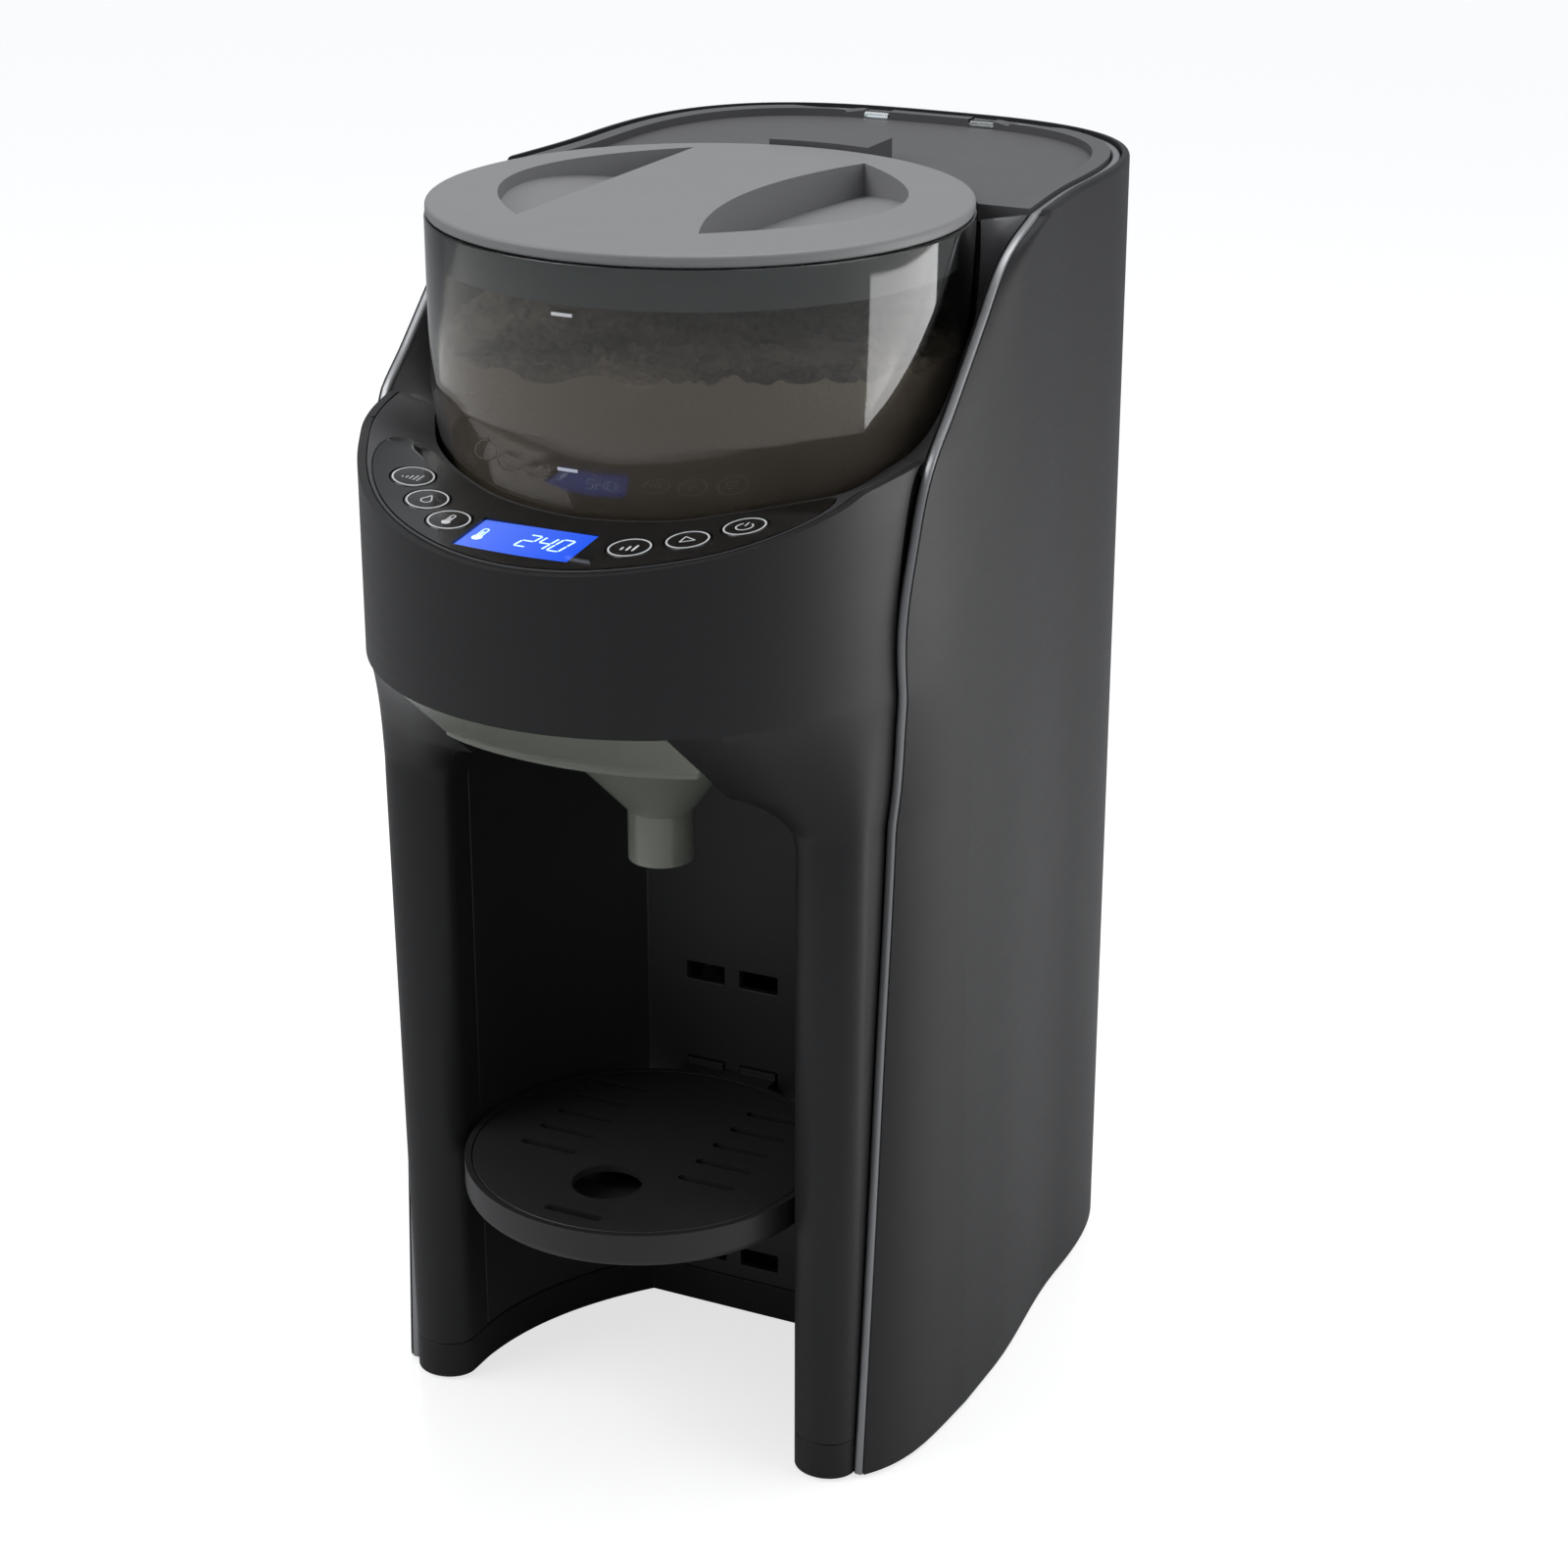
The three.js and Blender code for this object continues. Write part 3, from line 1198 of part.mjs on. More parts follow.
function motorPinion() {
  const turn = halfTurn / 2 + halfTurn / pinionTeeth;
  const wheel = prism(gearOutline(pinionTeeth, turn), gearLow, gearHigh);
  const shaft = disc(shaftRadius, shaftLow, gearHigh, 0, 0, smallFacets);
  return join(wheel, shaft).translate([0, motorY, 0]);
}

function gearPlate() {
  const low = gearPlateTop - gearPlateThickness;
  const plate = block([-gearPlateHalf, axisY - gearPlateFront, low],
    [gearPlateHalf, motorY + motorRadius, gearPlateTop]);
  const holes = [axisY, motorY].map((y) => (
    disc(shaftRadius + shaftClearance, 0, bodyTop, 0, y, smallFacets)
  ));
  return cut(plate, ...holes);
}

function driveMotor() {
  const top = gearPlateTop - gearPlateThickness - gap;
  const can = revolve([
    [0, top - motorLength], [motorRadius - edgeRounding, top - motorLength],
    [motorRadius, top - motorLength + edgeRounding], [motorRadius, top - edgeRounding],
    [motorRadius - edgeRounding, top], [0, top],
  ], 0, motorY);
  return cut(can, disc(shaftRadius + gap, top - overrun - gap, bodyTop, 0, motorY, smallFacets));
}

// Funnel on its drawer, with the cone set towards the back and a lip that closes the head
const frameTop = headBottom - lipHeight;
const frameLow = frameTop - drawerThickness;
const spoutTop = frameTop - coneHeight;
const spoutBottom = spoutTop - spoutLength;
function lipGrid(out) {
  const rows = range(lipRows + 1).map((i) => mix(frameTop - wallLap, headBottom - gap, i / lipRows));
  return rows.map((z) => range(lipColumns + 1).map((j) => {
    const x = mix(-lipHalf, lipHalf, j / lipColumns);
    const share = chinShare(z);
    const legFront = legCentreY - legRound * Math.sqrt(Math.max(0, 1 - (x / notchHalf) ** 2));
    const headFront = headY - headDepth * Math.sqrt(1 - (x / headHalf) ** 2);
    return [x, mix(headFront, legFront, share) + out, z];
  }));
}

function drawerOutline(grow, frontY) {
  const half = drawerHalf + grow;
  const arc = range(drawerFacets + 1).map((i) => {
    const turn = (halfTurn * i) / drawerFacets;
    return [half * Math.cos(turn), spoutY + (drawerBackReach + grow) * Math.sin(turn)];
  });
  return [...arc, [-half, frontY], [half, frontY]];
}

function cone(radius, wall, topZ) {
  const rings = [];
  const circle = (r, y, z) => range(coneFacets).map((i) => {
    const turn = (2 * halfTurn * i) / coneFacets;
    return [r * Math.cos(turn), y + r * Math.sin(turn), z];
  });
  const lowZ = wall > 0 ? spoutBottom : spoutBottom - overrun;
  rings.push(circle(spoutRadius - (wall > 0 ? 0 : funnelWall), spoutY, lowZ));
  rings.push(circle(spoutRadius - (wall > 0 ? 0 : funnelWall), spoutY, spoutTop));
  rings.push(circle(radius, coneTopY, topZ));
  if (wall === 0) rings.push(circle(radius, coneTopY, topZ + 2 * overrun));
  return loft(rings);
}

function funnel() {
  const lip = thickPatch(lipGrid(0), lipGrid(lipThickness));
  const frontY = lipGrid(lipThickness / 2)[0][Math.floor(lipColumns / 2)][1];
  const flat = prism(drawerOutline(0, frontY - lipThickness), frameLow, frameTop);
  const [lowest] = lipGrid(0);
  const keep = thickPatch(
    [0, bodyTop].map((z) => lowest.map(([x, y]) => [x, y, z])),
    [0, bodyTop].map((z) => lowest.map(([x]) => [x, rear, z])),
  );
  const frame = common(flat, keep);
  const outside = cone(funnelRadius, funnelWall, frameTop);
  const inside = cone(funnelRadius - funnelWall, 0, frameTop);
  return cut(join(lip, frame, outside), inside);
}

function funnelCover() {
  const low = frameTop + gap;
  const plate = disc(coverRadius, low, low + coverThickness, 0, coneTopY);
  const inlet = disc(chuteRadius + overrun, 0, bodyTop, 0, spoutY, smallFacets);
  const water = disc(nozzleRadius + overrun, 0, bodyTop, nozzleX, nozzleY, tinyFacets);
  return cut(plate, inlet, water);
}

// Ceiling of the bay with the drawer's guides
function bayCeiling() {
  const curve = bayCurve(0);
  const outline = [
    [bayHalf - gap, front + ceilingSetback], ...curve.map(([x, y]) => [x - gap, y - gap]),
  ];
  const full = outline.concat(outline.map(([x, y]) => [-x, y]).reverse());
  const high = frameLow - gap;
  const plate = prism(full, ceilingHeight, high);
  const slotHalf = drawerHalf - drawerLedge;
  const slot = prism([
    ...range(drawerFacets + 1).map((i) => {
      const turn = (halfTurn * i) / drawerFacets;
      return [slotHalf * Math.cos(turn), spoutY + (drawerBackReach - drawerLedge) * Math.sin(turn)];
    }), [-slotHalf, front], [slotHalf, front],
  ], 0, bodyTop);
  const guide = (side) => {
    const [near, far] = [drawerHalf + gap, drawerHalf + gap + railWall];
    const [start, top] = [front + railSetback, frameTop + gap + railWall];
    const wall = block([near, start, high - wallLap], [far, spoutY, top]);
    const lip = block([drawerHalf - drawerLedge, start, frameTop + gap], [far, spoutY, top]);
    return side > 0 ? join(wall, lip) : mirrored(join(wall, lip));
  };
  return join(cut(plate, slot), guide(1), guide(-1));
}

// Drip tray with straight tabs that hang in two slots
function dripTray() {
  const low = trayTop - trayHeight;
  const soft = range(edgeFacets + 1).map((i) => {
    const turn = ((halfTurn / 2) * i) / edgeFacets;
    return [trayRadius - trayEdge * (1 - Math.sin(turn)), low + trayEdge * (1 - Math.cos(turn))];
  });
  const cup = revolve([
    [0, low], ...soft, [trayRadius, trayTop], [trayRadius - trayWall, trayTop],
    [trayRadius - trayWall, low + trayWall], [0, low + trayWall], [0, low],
  ], 0, trayY);
  const level = hookLevels[trayHook];
  const backY = bayBackY - gap;
  const armHalf = hookSpacing / 2 + hookWidth / 2;
  const arm = cut(
    block([-armHalf, trayY + trayRadius - trayWall - bracketLap, low], [armHalf, backY, trayTop]),
    disc(trayRadius - trayWall / 2, 0, bodyTop, 0, trayY),
  );
  const tabs = hookSides.map((side) => {
    const x = side * (hookSpacing / 2);
    return block([x - hookWidth / 2, backY - wallLap, level],
      [x + hookWidth / 2, bayBackY + hookLength, level + hookHeight]);
  });
  return join(cup, arm, ...tabs);
}

function trayGrid() {
  const radius = trayRadius - trayWall - gap;
  const plate = disc(radius, trayTop - gridThickness, trayTop, 0, trayY);
  const skirtLow = trayTop - trayHeight + trayWall + gap;
  const skirt = ring(radius - gridSkirt, radius, skirtLow, trayTop - gridThickness + wallLap, 0, trayY);
  const slotAt = (x, y) => block([x - slotLength / 2, y - slotWidth / 2, 0],
    [x + slotLength / 2, y + slotWidth / 2, bodyTop]);
  const slots = range(slotRows).flatMap((i) => hookSides.map((side) => (
    slotAt(side * (slotEnd - slotLength / 2), trayY + (i - 1) * slotPitch)
  )));
  const hole = disc(trayHoleRadius, 0, bodyTop, 0, trayY - trayHoleForward, smallFacets);
  return cut(join(plate, skirt), hole, slotAt(0, trayY - frontSlotForward), ...slots);
}

// Water tank behind the container: its outline follows the skin and the container
function tankOutline(inset, frontRadius, frontGap) {
  const startY = seamY(seamTop) + frontGap;
  const side = range(flankSteps + 1).map((i) => {
    const y = mix(startY, rearCentreY, i / (flankSteps + 1));
    return [flankHalf(y, inset), y];
  });
  const run = rearRun(inset, 0, coverSteps);
  const startTurn = Math.acos((axisY - startY) / frontRadius);
  const arc = range(tankArcFacets + 1).map((i) => {
    const turn = mix(startTurn, halfTurn, i / tankArcFacets);
    return [frontRadius * Math.sin(turn), axisY - frontRadius * Math.cos(turn)];
  });
  const right = [...arc.slice().reverse(), ...side, ...run];
  const left = right.slice(1, -1).map(([x, y]) => [-x, y]).reverse();
  return right.concat(left);
}

const lidRearY = rear - seamInset;
const hingeY = lidRearY - hingeSetback;
const hingeZ = bodyTop - hingeDrop;
const barAcross = (radius, half, x, y, z) => (
  disc(radius, -half, half, 0, 0, smallFacets).rotate([0, 90, 0]).translate([x, y, z])
);
function waterTank() {
  const outer = tankOutline(seamInset + tankClearance, tankFrontRadius, tankClearance);
  const clear = tankClearance + tankWall;
  const inner = tankOutline(seamInset + clear, tankFrontRadius + tankWall, clear);
  const inside = prism(inner, tankFloor + tankWall, tankRim + overrun);
  const body = cut(prism(outer, tankFloor, tankRim), inside);
  const bossLow = tankFloor - valveHeight;
  const boss = disc(valveRadius + tankWall, bossLow, tankFloor + wallLap, 0, valveY, smallFacets);
  const lugs = hookSides.map((side) => {
    const x = side * hingePinHalf;
    const foot = block([x - hingeKnuckle, hingeY - hingeDrop, tankRim - lugRoot],
      [x + hingeKnuckle, hingeY + hingeDrop - gap, hingeZ]);
    return cut(join(foot, barAcross(hingeDrop - gap, hingeKnuckle, x, hingeY, hingeZ)),
      barAcross(hingePinRadius + gap, 2 * hingeKnuckle, x, hingeY, hingeZ));
  });
  const port = disc(valveRadius, bossLow - overrun, tankFloor + 2 * tankWall, 0, valveY, smallFacets);
  return cut(join(body, boss, ...lugs), port);
}

function tankValve() {
  const low = tankFloor - valveHeight;
  return join(
    disc(valveRadius - gap, low, tankFloor, 0, valveY, smallFacets),
    disc(shaftRadius, low - valveHeight / 2, low + wallLap, 0, valveY, smallFacets),
  );
}

function tankLid() {
  const low = bodyTop - lidPlateThickness;
  const lidRadius = containerRadius + deckClearance;
  const outer = tankOutline(seamInset, lidRadius, gap);
  const dish = tankOutline(seamInset + lidRimWidth, lidRadius + lidRimWidth, lidRimWidth);
  const hollow = prism(dish, bodyTop - lidDish, bodyTop + overrun);
  const plate = cut(prism(outer, low - lidDish, bodyTop), hollow);
  const tab = cut(
    block([-tabHalf, axisY + lidRadius - overrun, bodyTop - lidDish - wallLap],
      [tabHalf, axisY + containerRadius + tabReach, bodyTop + tabHeight]),
    disc(lidRadius, 0, 2 * bodyTop, 0, axisY),
  );
  const notches = hookSides.map((side) => {
    const x = side * hingePinHalf;
    const room = hingeKnuckle + gap;
    return join(
      block([x - room, hingeY - hingeDrop - gap, low - lidDish - overrun],
        [x + room, rear, bodyTop + overrun]),
      barAcross(hingePinRadius + gap, hingeKnuckle + hingePinReach + gap, x, hingeY, hingeZ),
    );
  });
  const edge = cut(
    block([-bodyHalf, hingeY, low - lidDish - overrun], [bodyHalf, rear, bodyTop + overrun]),
    barAcross(hingeSetback, bodyHalf, 0, hingeY, hingeZ),
  );
  return cut(join(plate, tab), edge, hingeSweep(), ...notches);
}

// Room that the body's rear top edge needs as the tank lid turns about its hinge
function hingeSweep() {
  const rim = cut(
    block([-bodyHalf, hingeY - lidPlateThickness - lidDish, hingeZ - hingeSetback - gap],
      [bodyHalf, rear, bodyTop + gap]),
    prism(tankOutline(seamInset - gap / 2, tankFrontRadius, gap), 0, 2 * bodyTop),
  );
  const turned = (i) => rim.translate([0, -hingeY, -hingeZ])
    .rotate([(hingeTurn * i) / hingeSteps, 0, 0]).translate([0, hingeY, hingeZ]);
  return join(...range(hingeSteps + 1).map(turned));
}

// Boards, water parts and fastenings inside
function buttonBoard() {
  const top = deckFrontHeight - boardDrop - buttonLength / 2;
  const radius = containerRadiusAt(top) + deckClearance + seatWall + gap;
  const sector = range(panelSteps + 1).map((i) => mix(-boardEnd, boardEnd, i / panelSteps) * degree);
  const arc = (r) => sector.map((turn) => [r * Math.sin(turn), axisY - r * Math.cos(turn)]);
  return prism([...arc(radius), ...arc(radius + boardReach).reverse()], top - boardThickness, top);
}

function mainBoard() {
  const y = bayBackY + linerWall + gap;
  const board = block([-boardHalf, y, boardLow], [boardHalf, y + boardThickness, boardHigh]);
  const chips = range(chipCount).map((i) => {
    const z = mix(boardLow, boardHigh, (i + chipRiseShare) / chipCount);
    const x = mix(-boardHalf, boardHalf, i % 2 === 0 ? chipLeftShare : chipRightShare);
    return block([x - chipSize / 2, y + boardThickness - wallLap, z - chipSize / 2],
      [x + chipSize / 2, y + boardThickness + chipHeight, z + chipSize / 2]);
  });
  return join(board, ...chips);
}

// An upright can with a port stub on top
function can(radius, low, high, x, y, portTop) {
  const body = revolve([
    [0, low], [radius - canEdge, low], [radius, low + canEdge], [radius, high - canEdge],
    [radius - canEdge, high], [0, high],
  ], x, y);
  return join(body, disc(hoseRadius, high - wallLap, portTop, x, y, tinyFacets));
}

const pumpTop = pumpLow + pumpLength;
const heaterTop = heaterLow + heaterLength;
const feedLevel = pumpLow + pumpRadius; // hose from the pump to the heater
const nozzleTop = frameTop + gap + nozzleLength;
function waterPump() {
  const body = can(pumpRadius, pumpLow, pumpTop, pumpX, pumpY, pumpTop + hoseStub);
  const outlet = block([pumpX + pumpRadius - overrun, pumpY - hoseRadius, feedLevel - hoseRadius],
    [pumpX + pumpRadius + hoseStub, pumpY + hoseRadius, feedLevel + hoseRadius]);
  return join(body, outlet);
}

function waterHeater() {
  const body = can(heaterRadius, heaterLow, heaterTop, heaterX, heaterY, heaterTop + hoseStub);
  const inlet = block([heaterX - heaterRadius - hoseStub, heaterY - hoseRadius, feedLevel - hoseRadius],
    [heaterX - heaterRadius + overrun, heaterY + hoseRadius, feedLevel + hoseRadius]);
  return join(body, inlet);
}

// Places of the hoses' bends along their runs
const nearShare = 0.3;
const middleShare = 0.5;
const farShare = 0.7;

function suctionHose() {
  const [from, to] = [tankFloor - valveHeight - dockDrop - gap, pumpTop + hoseStub + 2 * gap];
  return hose([
    [0, valveY, from], [0, valveY, mix(from, to, nearShare)],
    [mix(0, pumpX, middleShare), mix(valveY, pumpY, middleShare), mix(from, to, middleShare)],
    [pumpX, pumpY, mix(from, to, farShare)], [pumpX, pumpY, to],
  ], hoseRadius);
}

function feedHose() {
  const z = feedLevel;
  const from = pumpX + pumpRadius + hoseStub + 2 * gap;
  const to = heaterX - heaterRadius - hoseStub - 2 * gap;
  return hose([
    [from, pumpY, z], [from + hoseRadius, pumpY, z],
    [mix(from, to, middleShare), mix(pumpY, heaterY, middleShare), z],
    [to - hoseRadius, heaterY, z], [to, heaterY, z],
  ], hoseRadius);
}

const riseShare = 0.6;
const turnShare = 0.4;
const overShare = 0.75;
function hotHose() {
  const end = nozzleTop + 2 * gap;
  const high = end + hoseBend / 2;
  return hose([
    [heaterX, heaterY, heaterTop + hoseStub + gap], [heaterX, heaterY, mix(heaterTop, end, riseShare)],
    [heaterX, mix(heaterY, nozzleY, turnShare), end],
    [mix(heaterX, nozzleX, middleShare), mix(heaterY, nozzleY, overShare), high],
    [nozzleX, nozzleY, mix(end, high, farShare)], [nozzleX, nozzleY, end],
  ], hoseRadius);
}

function waterNozzle() {
  const low = frameTop + gap + coverThickness + gap;
  return revolve([
    [nozzleRadius - nozzleWall, low], [nozzleRadius, low], [nozzleRadius, nozzleTop - nozzleLength / 2],
    [nozzleRadius + nozzleWall, nozzleTop - nozzleLength / 2], [nozzleRadius + nozzleWall, nozzleTop],
    [nozzleRadius - nozzleWall, nozzleTop], [nozzleRadius - nozzleWall, low],
  ], nozzleX, nozzleY, tinyFacets);
}

function tankDock() {
  const outline = tankOutline(seamInset + tankClearance, tankFrontRadius, tankClearance);
  const plate = prism(outline, tankFloor - gap - dockThickness, tankFloor - gap);
  const hole = disc(valveRadius + tankWall + gap, 0, bodyTop, 0, valveY, smallFacets);
  const cupLow = tankFloor - valveHeight - dockDrop;
  const cupInner = valveRadius + tankWall + gap;
  const cupOuter = cupInner + tankWall;
  const cup = ring(cupInner, cupOuter, cupLow, tankFloor - dockThickness, 0, valveY, smallFacets);
  const bottom = ring(shaftRadius + gap, cupOuter - gap, cupLow, cupLow + dockThickness,
    0, valveY, smallFacets);
  return join(cut(plate, hole), cup, bottom);
}

function powderChute() {
  const high = seatPlateTop - seatPlateThickness - gap;
  const low = frameTop + gap + coverThickness + gap;
  return revolve([
    [chuteRadius - chuteWall, low], [chuteRadius, low], [chuteRadius, high - chuteFlange],
    [chuteRadius + chuteFlange, high - chuteFlange], [chuteRadius + chuteFlange, high],
    [chuteRadius - chuteWall, high], [chuteRadius - chuteWall, low],
  ], 0, spoutY, smallFacets);
}

function powerInlet() {
  const [half, tall] = [inletWidth / 2, inletHeight / 2];
  const outside = rear - inletRecess;
  const body = block([-half, outside - inletDepth, inletLevel - tall], [half, outside, inletLevel + tall]);
  const back = outside - inletDepth + inletWall;
  const cavity = block([-half + inletWall, back, inletLevel - tall + inletWall],
    [half - inletWall, rear, inletLevel + tall - inletWall]);
  const pins = hookSides.map((side) => block(
    [side * pinSpacing / 2 - pinHalf, outside - inletDepth, inletLevel - pinHalf],
    [side * pinSpacing / 2 + pinHalf, outside - inletWall, inletLevel + pinHalf],
  ));
  return join(cut(body, cavity), ...pins);
}

const footPlaces = [front + footFrontSetback, rear - footRearReach].flatMap((y) => (
  [1, -1].map((side) => [side * footHalf, y])
));

function hingePin(side) {
  return barAcross(hingePinRadius, hingeKnuckle + hingePinReach, side * hingePinHalf, hingeY, hingeZ);
}

add('front_shell', frontShell(), 'black');
const panel = sidePanel();
add('side_panel_right', panel, 'black');
add('side_panel_left', mirrored(panel), 'black');
const strip = trimStrip();
add('trim_strip_right', strip, 'trim');
add('trim_strip_left', mirrored(strip), 'trim');
add('rear_cover', rearCover(), 'black');
add('base_frame', baseFrame(), 'black');
add('bay_liner', bayLiner(), 'black');
add('bay_ceiling', bayCeiling(), 'inner');
add('top_deck', deckSolid, 'dark');
add('control_panel', controlPanel, 'gloss');
add('display_window', displayBody(0, -displayThickness, panelProud), 'screen');
buttonPlaces.forEach(({ point, normal }, i) => {
  const body = standOn(buttonBody(buttonRadius, -buttonLength, buttonProud), point, normal);
  add(`button_${buttonNames[i]}`, body, 'gloss');
});
add('container_seat', containerSeat(), 'inner');
add('powder_container', powderContainer(), 'smoke');
add('dosing_wheel', dosingWheel(), 'natural');
add('stirrer', stirrer(), 'natural');
add('scraper_plate', scraperPlate(), 'natural');
add('container_lid', containerLid(), 'grey');
add('lid_seal', lidSeal(), 'seal');
add('drive_gear', driveGear(), 'natural');
add('motor_pinion', motorPinion(), 'natural');
add('gear_plate', gearPlate(), 'steel');
add('drive_motor', driveMotor(), 'steel');
add('funnel', funnel(), 'olive');
add('funnel_cover', funnelCover(), 'olive');
add('drip_tray', dripTray(), 'black');
add('tray_grid', trayGrid(), 'black');
add('water_tank', waterTank(), 'clear');
add('tank_valve', tankValve(), 'natural');
add('tank_lid', tankLid(), 'dark');
add('tank_dock', tankDock(), 'inner');
add('button_board', buttonBoard(), 'board');
add('main_board', mainBoard(), 'board');
add('powder_chute', powderChute(), 'natural');
add('water_nozzle', waterNozzle(), 'natural');
add('water_pump', waterPump(), 'inner');
add('water_heater', waterHeater(), 'steel');
add('suction_hose', suctionHose(), 'clear');
add('feed_hose', feedHose(), 'clear');
add('hot_hose', hotHose(), 'clear');
add('power_inlet', powerInlet(), 'inner');
footPlaces.forEach(([x, y], i) => {
  add(`foot_${i + 1}`, disc(footRadius, 0, groundZ, x, y, smallFacets), 'rubber');
});
add('lid_pin_right', hingePin(1), 'steel');
add('lid_pin_left', hingePin(-1), 'steel');

export default machine;
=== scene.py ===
"""Baby formula maker, dressed over its CAD frame.

Lengths in the tables below are millimetres; meshes are put in as metres. X is the symmetry
plane's normal, the front looks towards -Y and the ground is at height 0.
"""

import math

import bmesh
import bpy
import numpy as np
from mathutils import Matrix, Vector

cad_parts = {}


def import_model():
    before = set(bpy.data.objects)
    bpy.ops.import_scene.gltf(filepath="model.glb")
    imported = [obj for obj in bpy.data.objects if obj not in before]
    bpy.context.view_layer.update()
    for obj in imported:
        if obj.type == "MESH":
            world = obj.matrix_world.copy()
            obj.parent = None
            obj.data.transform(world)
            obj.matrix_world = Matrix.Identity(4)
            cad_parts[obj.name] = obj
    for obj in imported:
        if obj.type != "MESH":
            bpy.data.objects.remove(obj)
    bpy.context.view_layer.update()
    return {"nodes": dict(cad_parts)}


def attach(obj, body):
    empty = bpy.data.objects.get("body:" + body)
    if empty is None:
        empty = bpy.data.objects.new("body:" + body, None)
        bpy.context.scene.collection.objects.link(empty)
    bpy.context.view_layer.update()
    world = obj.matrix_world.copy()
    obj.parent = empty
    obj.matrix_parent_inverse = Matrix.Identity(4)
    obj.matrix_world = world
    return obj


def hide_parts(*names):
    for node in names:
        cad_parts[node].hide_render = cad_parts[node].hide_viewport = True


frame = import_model()

MM = 0.001
TURN = 2 * math.pi

# ---------------------------------------------------------------- sizes of the machine

BODY_WIDTH, BODY_DEPTH, BODY_TOP = 176, 278, 356
GAP = 0.3
SHELL_WALL = 2.4
REAR_REACH, REAR_HALF, REAR_POWER = 86, 83.3, 2.87
WIDEST_REACH = 149
COVER_HALF = 52
VENT_COUNT, VENT_LOW, VENT_PITCH, VENT_HALF, VENT_RADIUS = 8, 70, 9, 32.5, 1.5
INLET_HALF, INLET_LOW, INLET_HIGH = 13.8, 29.7, 50.3

SEAM_TOP = 354.5
SEAM_FOOT_SETBACK, SEAM_SWEEP = 58, 93
LEG_HALF, LEG_SPREAD = 73.5, 2.8
SEAM_HEIGHTS = (0, 0.2, 0.37, 0.58, 0.66, 0.73, 0.79, 0.85, 0.883, 0.91, 0.94, 0.975, 0.99, 1)
SEAM_SWEEPS = (0, 0.05, 0.086, 0.129, 0.1, 0.085, 0.129, 0.21, 0.344, 0.452, 0.57, 0.71, 0.828, 1)
TRIM_WIDTH, TRIM_DEPTH, TRIM_CROWN = 2.8, 5, 0.5
BEVEL_FOOT = 50
BEVEL_SHARES = (1, 0.85, 0.72, 0.65, 0.64, 0.68, 0.78, 0.72, 0.6, 0.52, 0.38, 0.2, 0.12, 0.08)
BEVEL_POWER_FOOT, BEVEL_POWER_HEAD = 4.5, 2.5
CREASE = 0.25
SEAM_LIP = 1.2
EDGE_ROUNDING = 1.2

HEAD_DEPTH, HEAD_HALF = 88, 83
HEAD_BOTTOM, CHIN_HEIGHT = 240.5, 39.5
RIM_FRONT, RIM_SIDE = 283.5, 303
RIM_LENGTHS = (0, 0.13, 0.31, 0.6, 0.7, 1)
RIM_RISES = (0, 0.16, 0.34, 0.69, 0.85, 1)

LEG_SETBACK, LEG_ROUND, LEG_RETURN = 51, 8.1, 8.4
BAY_HALF, BAY_TOP, BAY_CORNER = 54.9, 211.5, 17.5
CEILING = 219.6
BAY_BACK_SETBACK, BAY_BACK_HALF, BAY_PULL = 127, 28.7, 2
LINER_WALL = 2.5
BASE_HEIGHT, GROUND = 12.5, 1

AXIS_SETBACK = 111
CAN_RADIUS, CAN_TOP, CAN_FLOOR, CAN_FOOT, CAN_WALL = 76, 356.4, 266, 62, 2.2
DECK_FRONT, DECK_RISE = 288, 65
DECK_ANGLES = (0, 21, 34, 48, 58, 69, 79, 88, 95.5, 105, 116)
DECK_RISES = (0, 0.02, 0.054, 0.082, 0.097, 0.17, 0.22, 0.29, 0.43, 0.7, 1)
DECK_CLEARANCE, DECK_THICKNESS = 1.2, 4.5
LID_TOP, LID_RIM, LID_PLUG = 360, 3.3, 69.6
SEAL_HEIGHT = 11.6
GRIP_LEFT, GRIP_RIGHT, GRIP_WAIST, GRIP_LENGTH = -33, 22, 12, 104
GRIP_REACH, GRIP_REACH_RIGHT, GRIP_DEPTH, GRIP_SHALLOW, GRIP_SHIFT = 28, 33, 12, 3, 8

PANEL_END, PANEL_INSET, PANEL_PROUD, PANEL_THICKNESS, PANEL_END_POWER = 51, 1.2, 0.2, 2.2, 14
BUTTON_RADIUS, BUTTON_LENGTH, BUTTON_PROUD = 6.3, 9, 0.3
BUTTONS = {
    "powder": (-36, 0.52), "water": (-27, 0.57), "temperature": (-18.3, 0.63),
    "volume": (15.4, 0.57), "start": (24.7, 0.52), "power": (34.4, 0.47),
}
DISPLAY_WIDTH, DISPLAY_DEPTH, DISPLAY_SHIFT, DISPLAY_SETBACK = 34, 17.5, -4.5, 18.5
DISPLAY_THICKNESS = 1.6

DROP_RADIUS = 28.3
SPOUT_RADIUS, SPOUT_BOTTOM, SPOUT_TOP = 9.6, 173.7, 189
FUNNEL_RADIUS, FUNNEL_WALL, CONE_Y = 36.6, 1.6, -64
DRAWER_HALF, DRAWER_THICKNESS, DRAWER_BACK = 39.6, 2.2, 40
LIP_HALF, LIP_THICKNESS, LIP_HEIGHT = 40, 2.6, 16

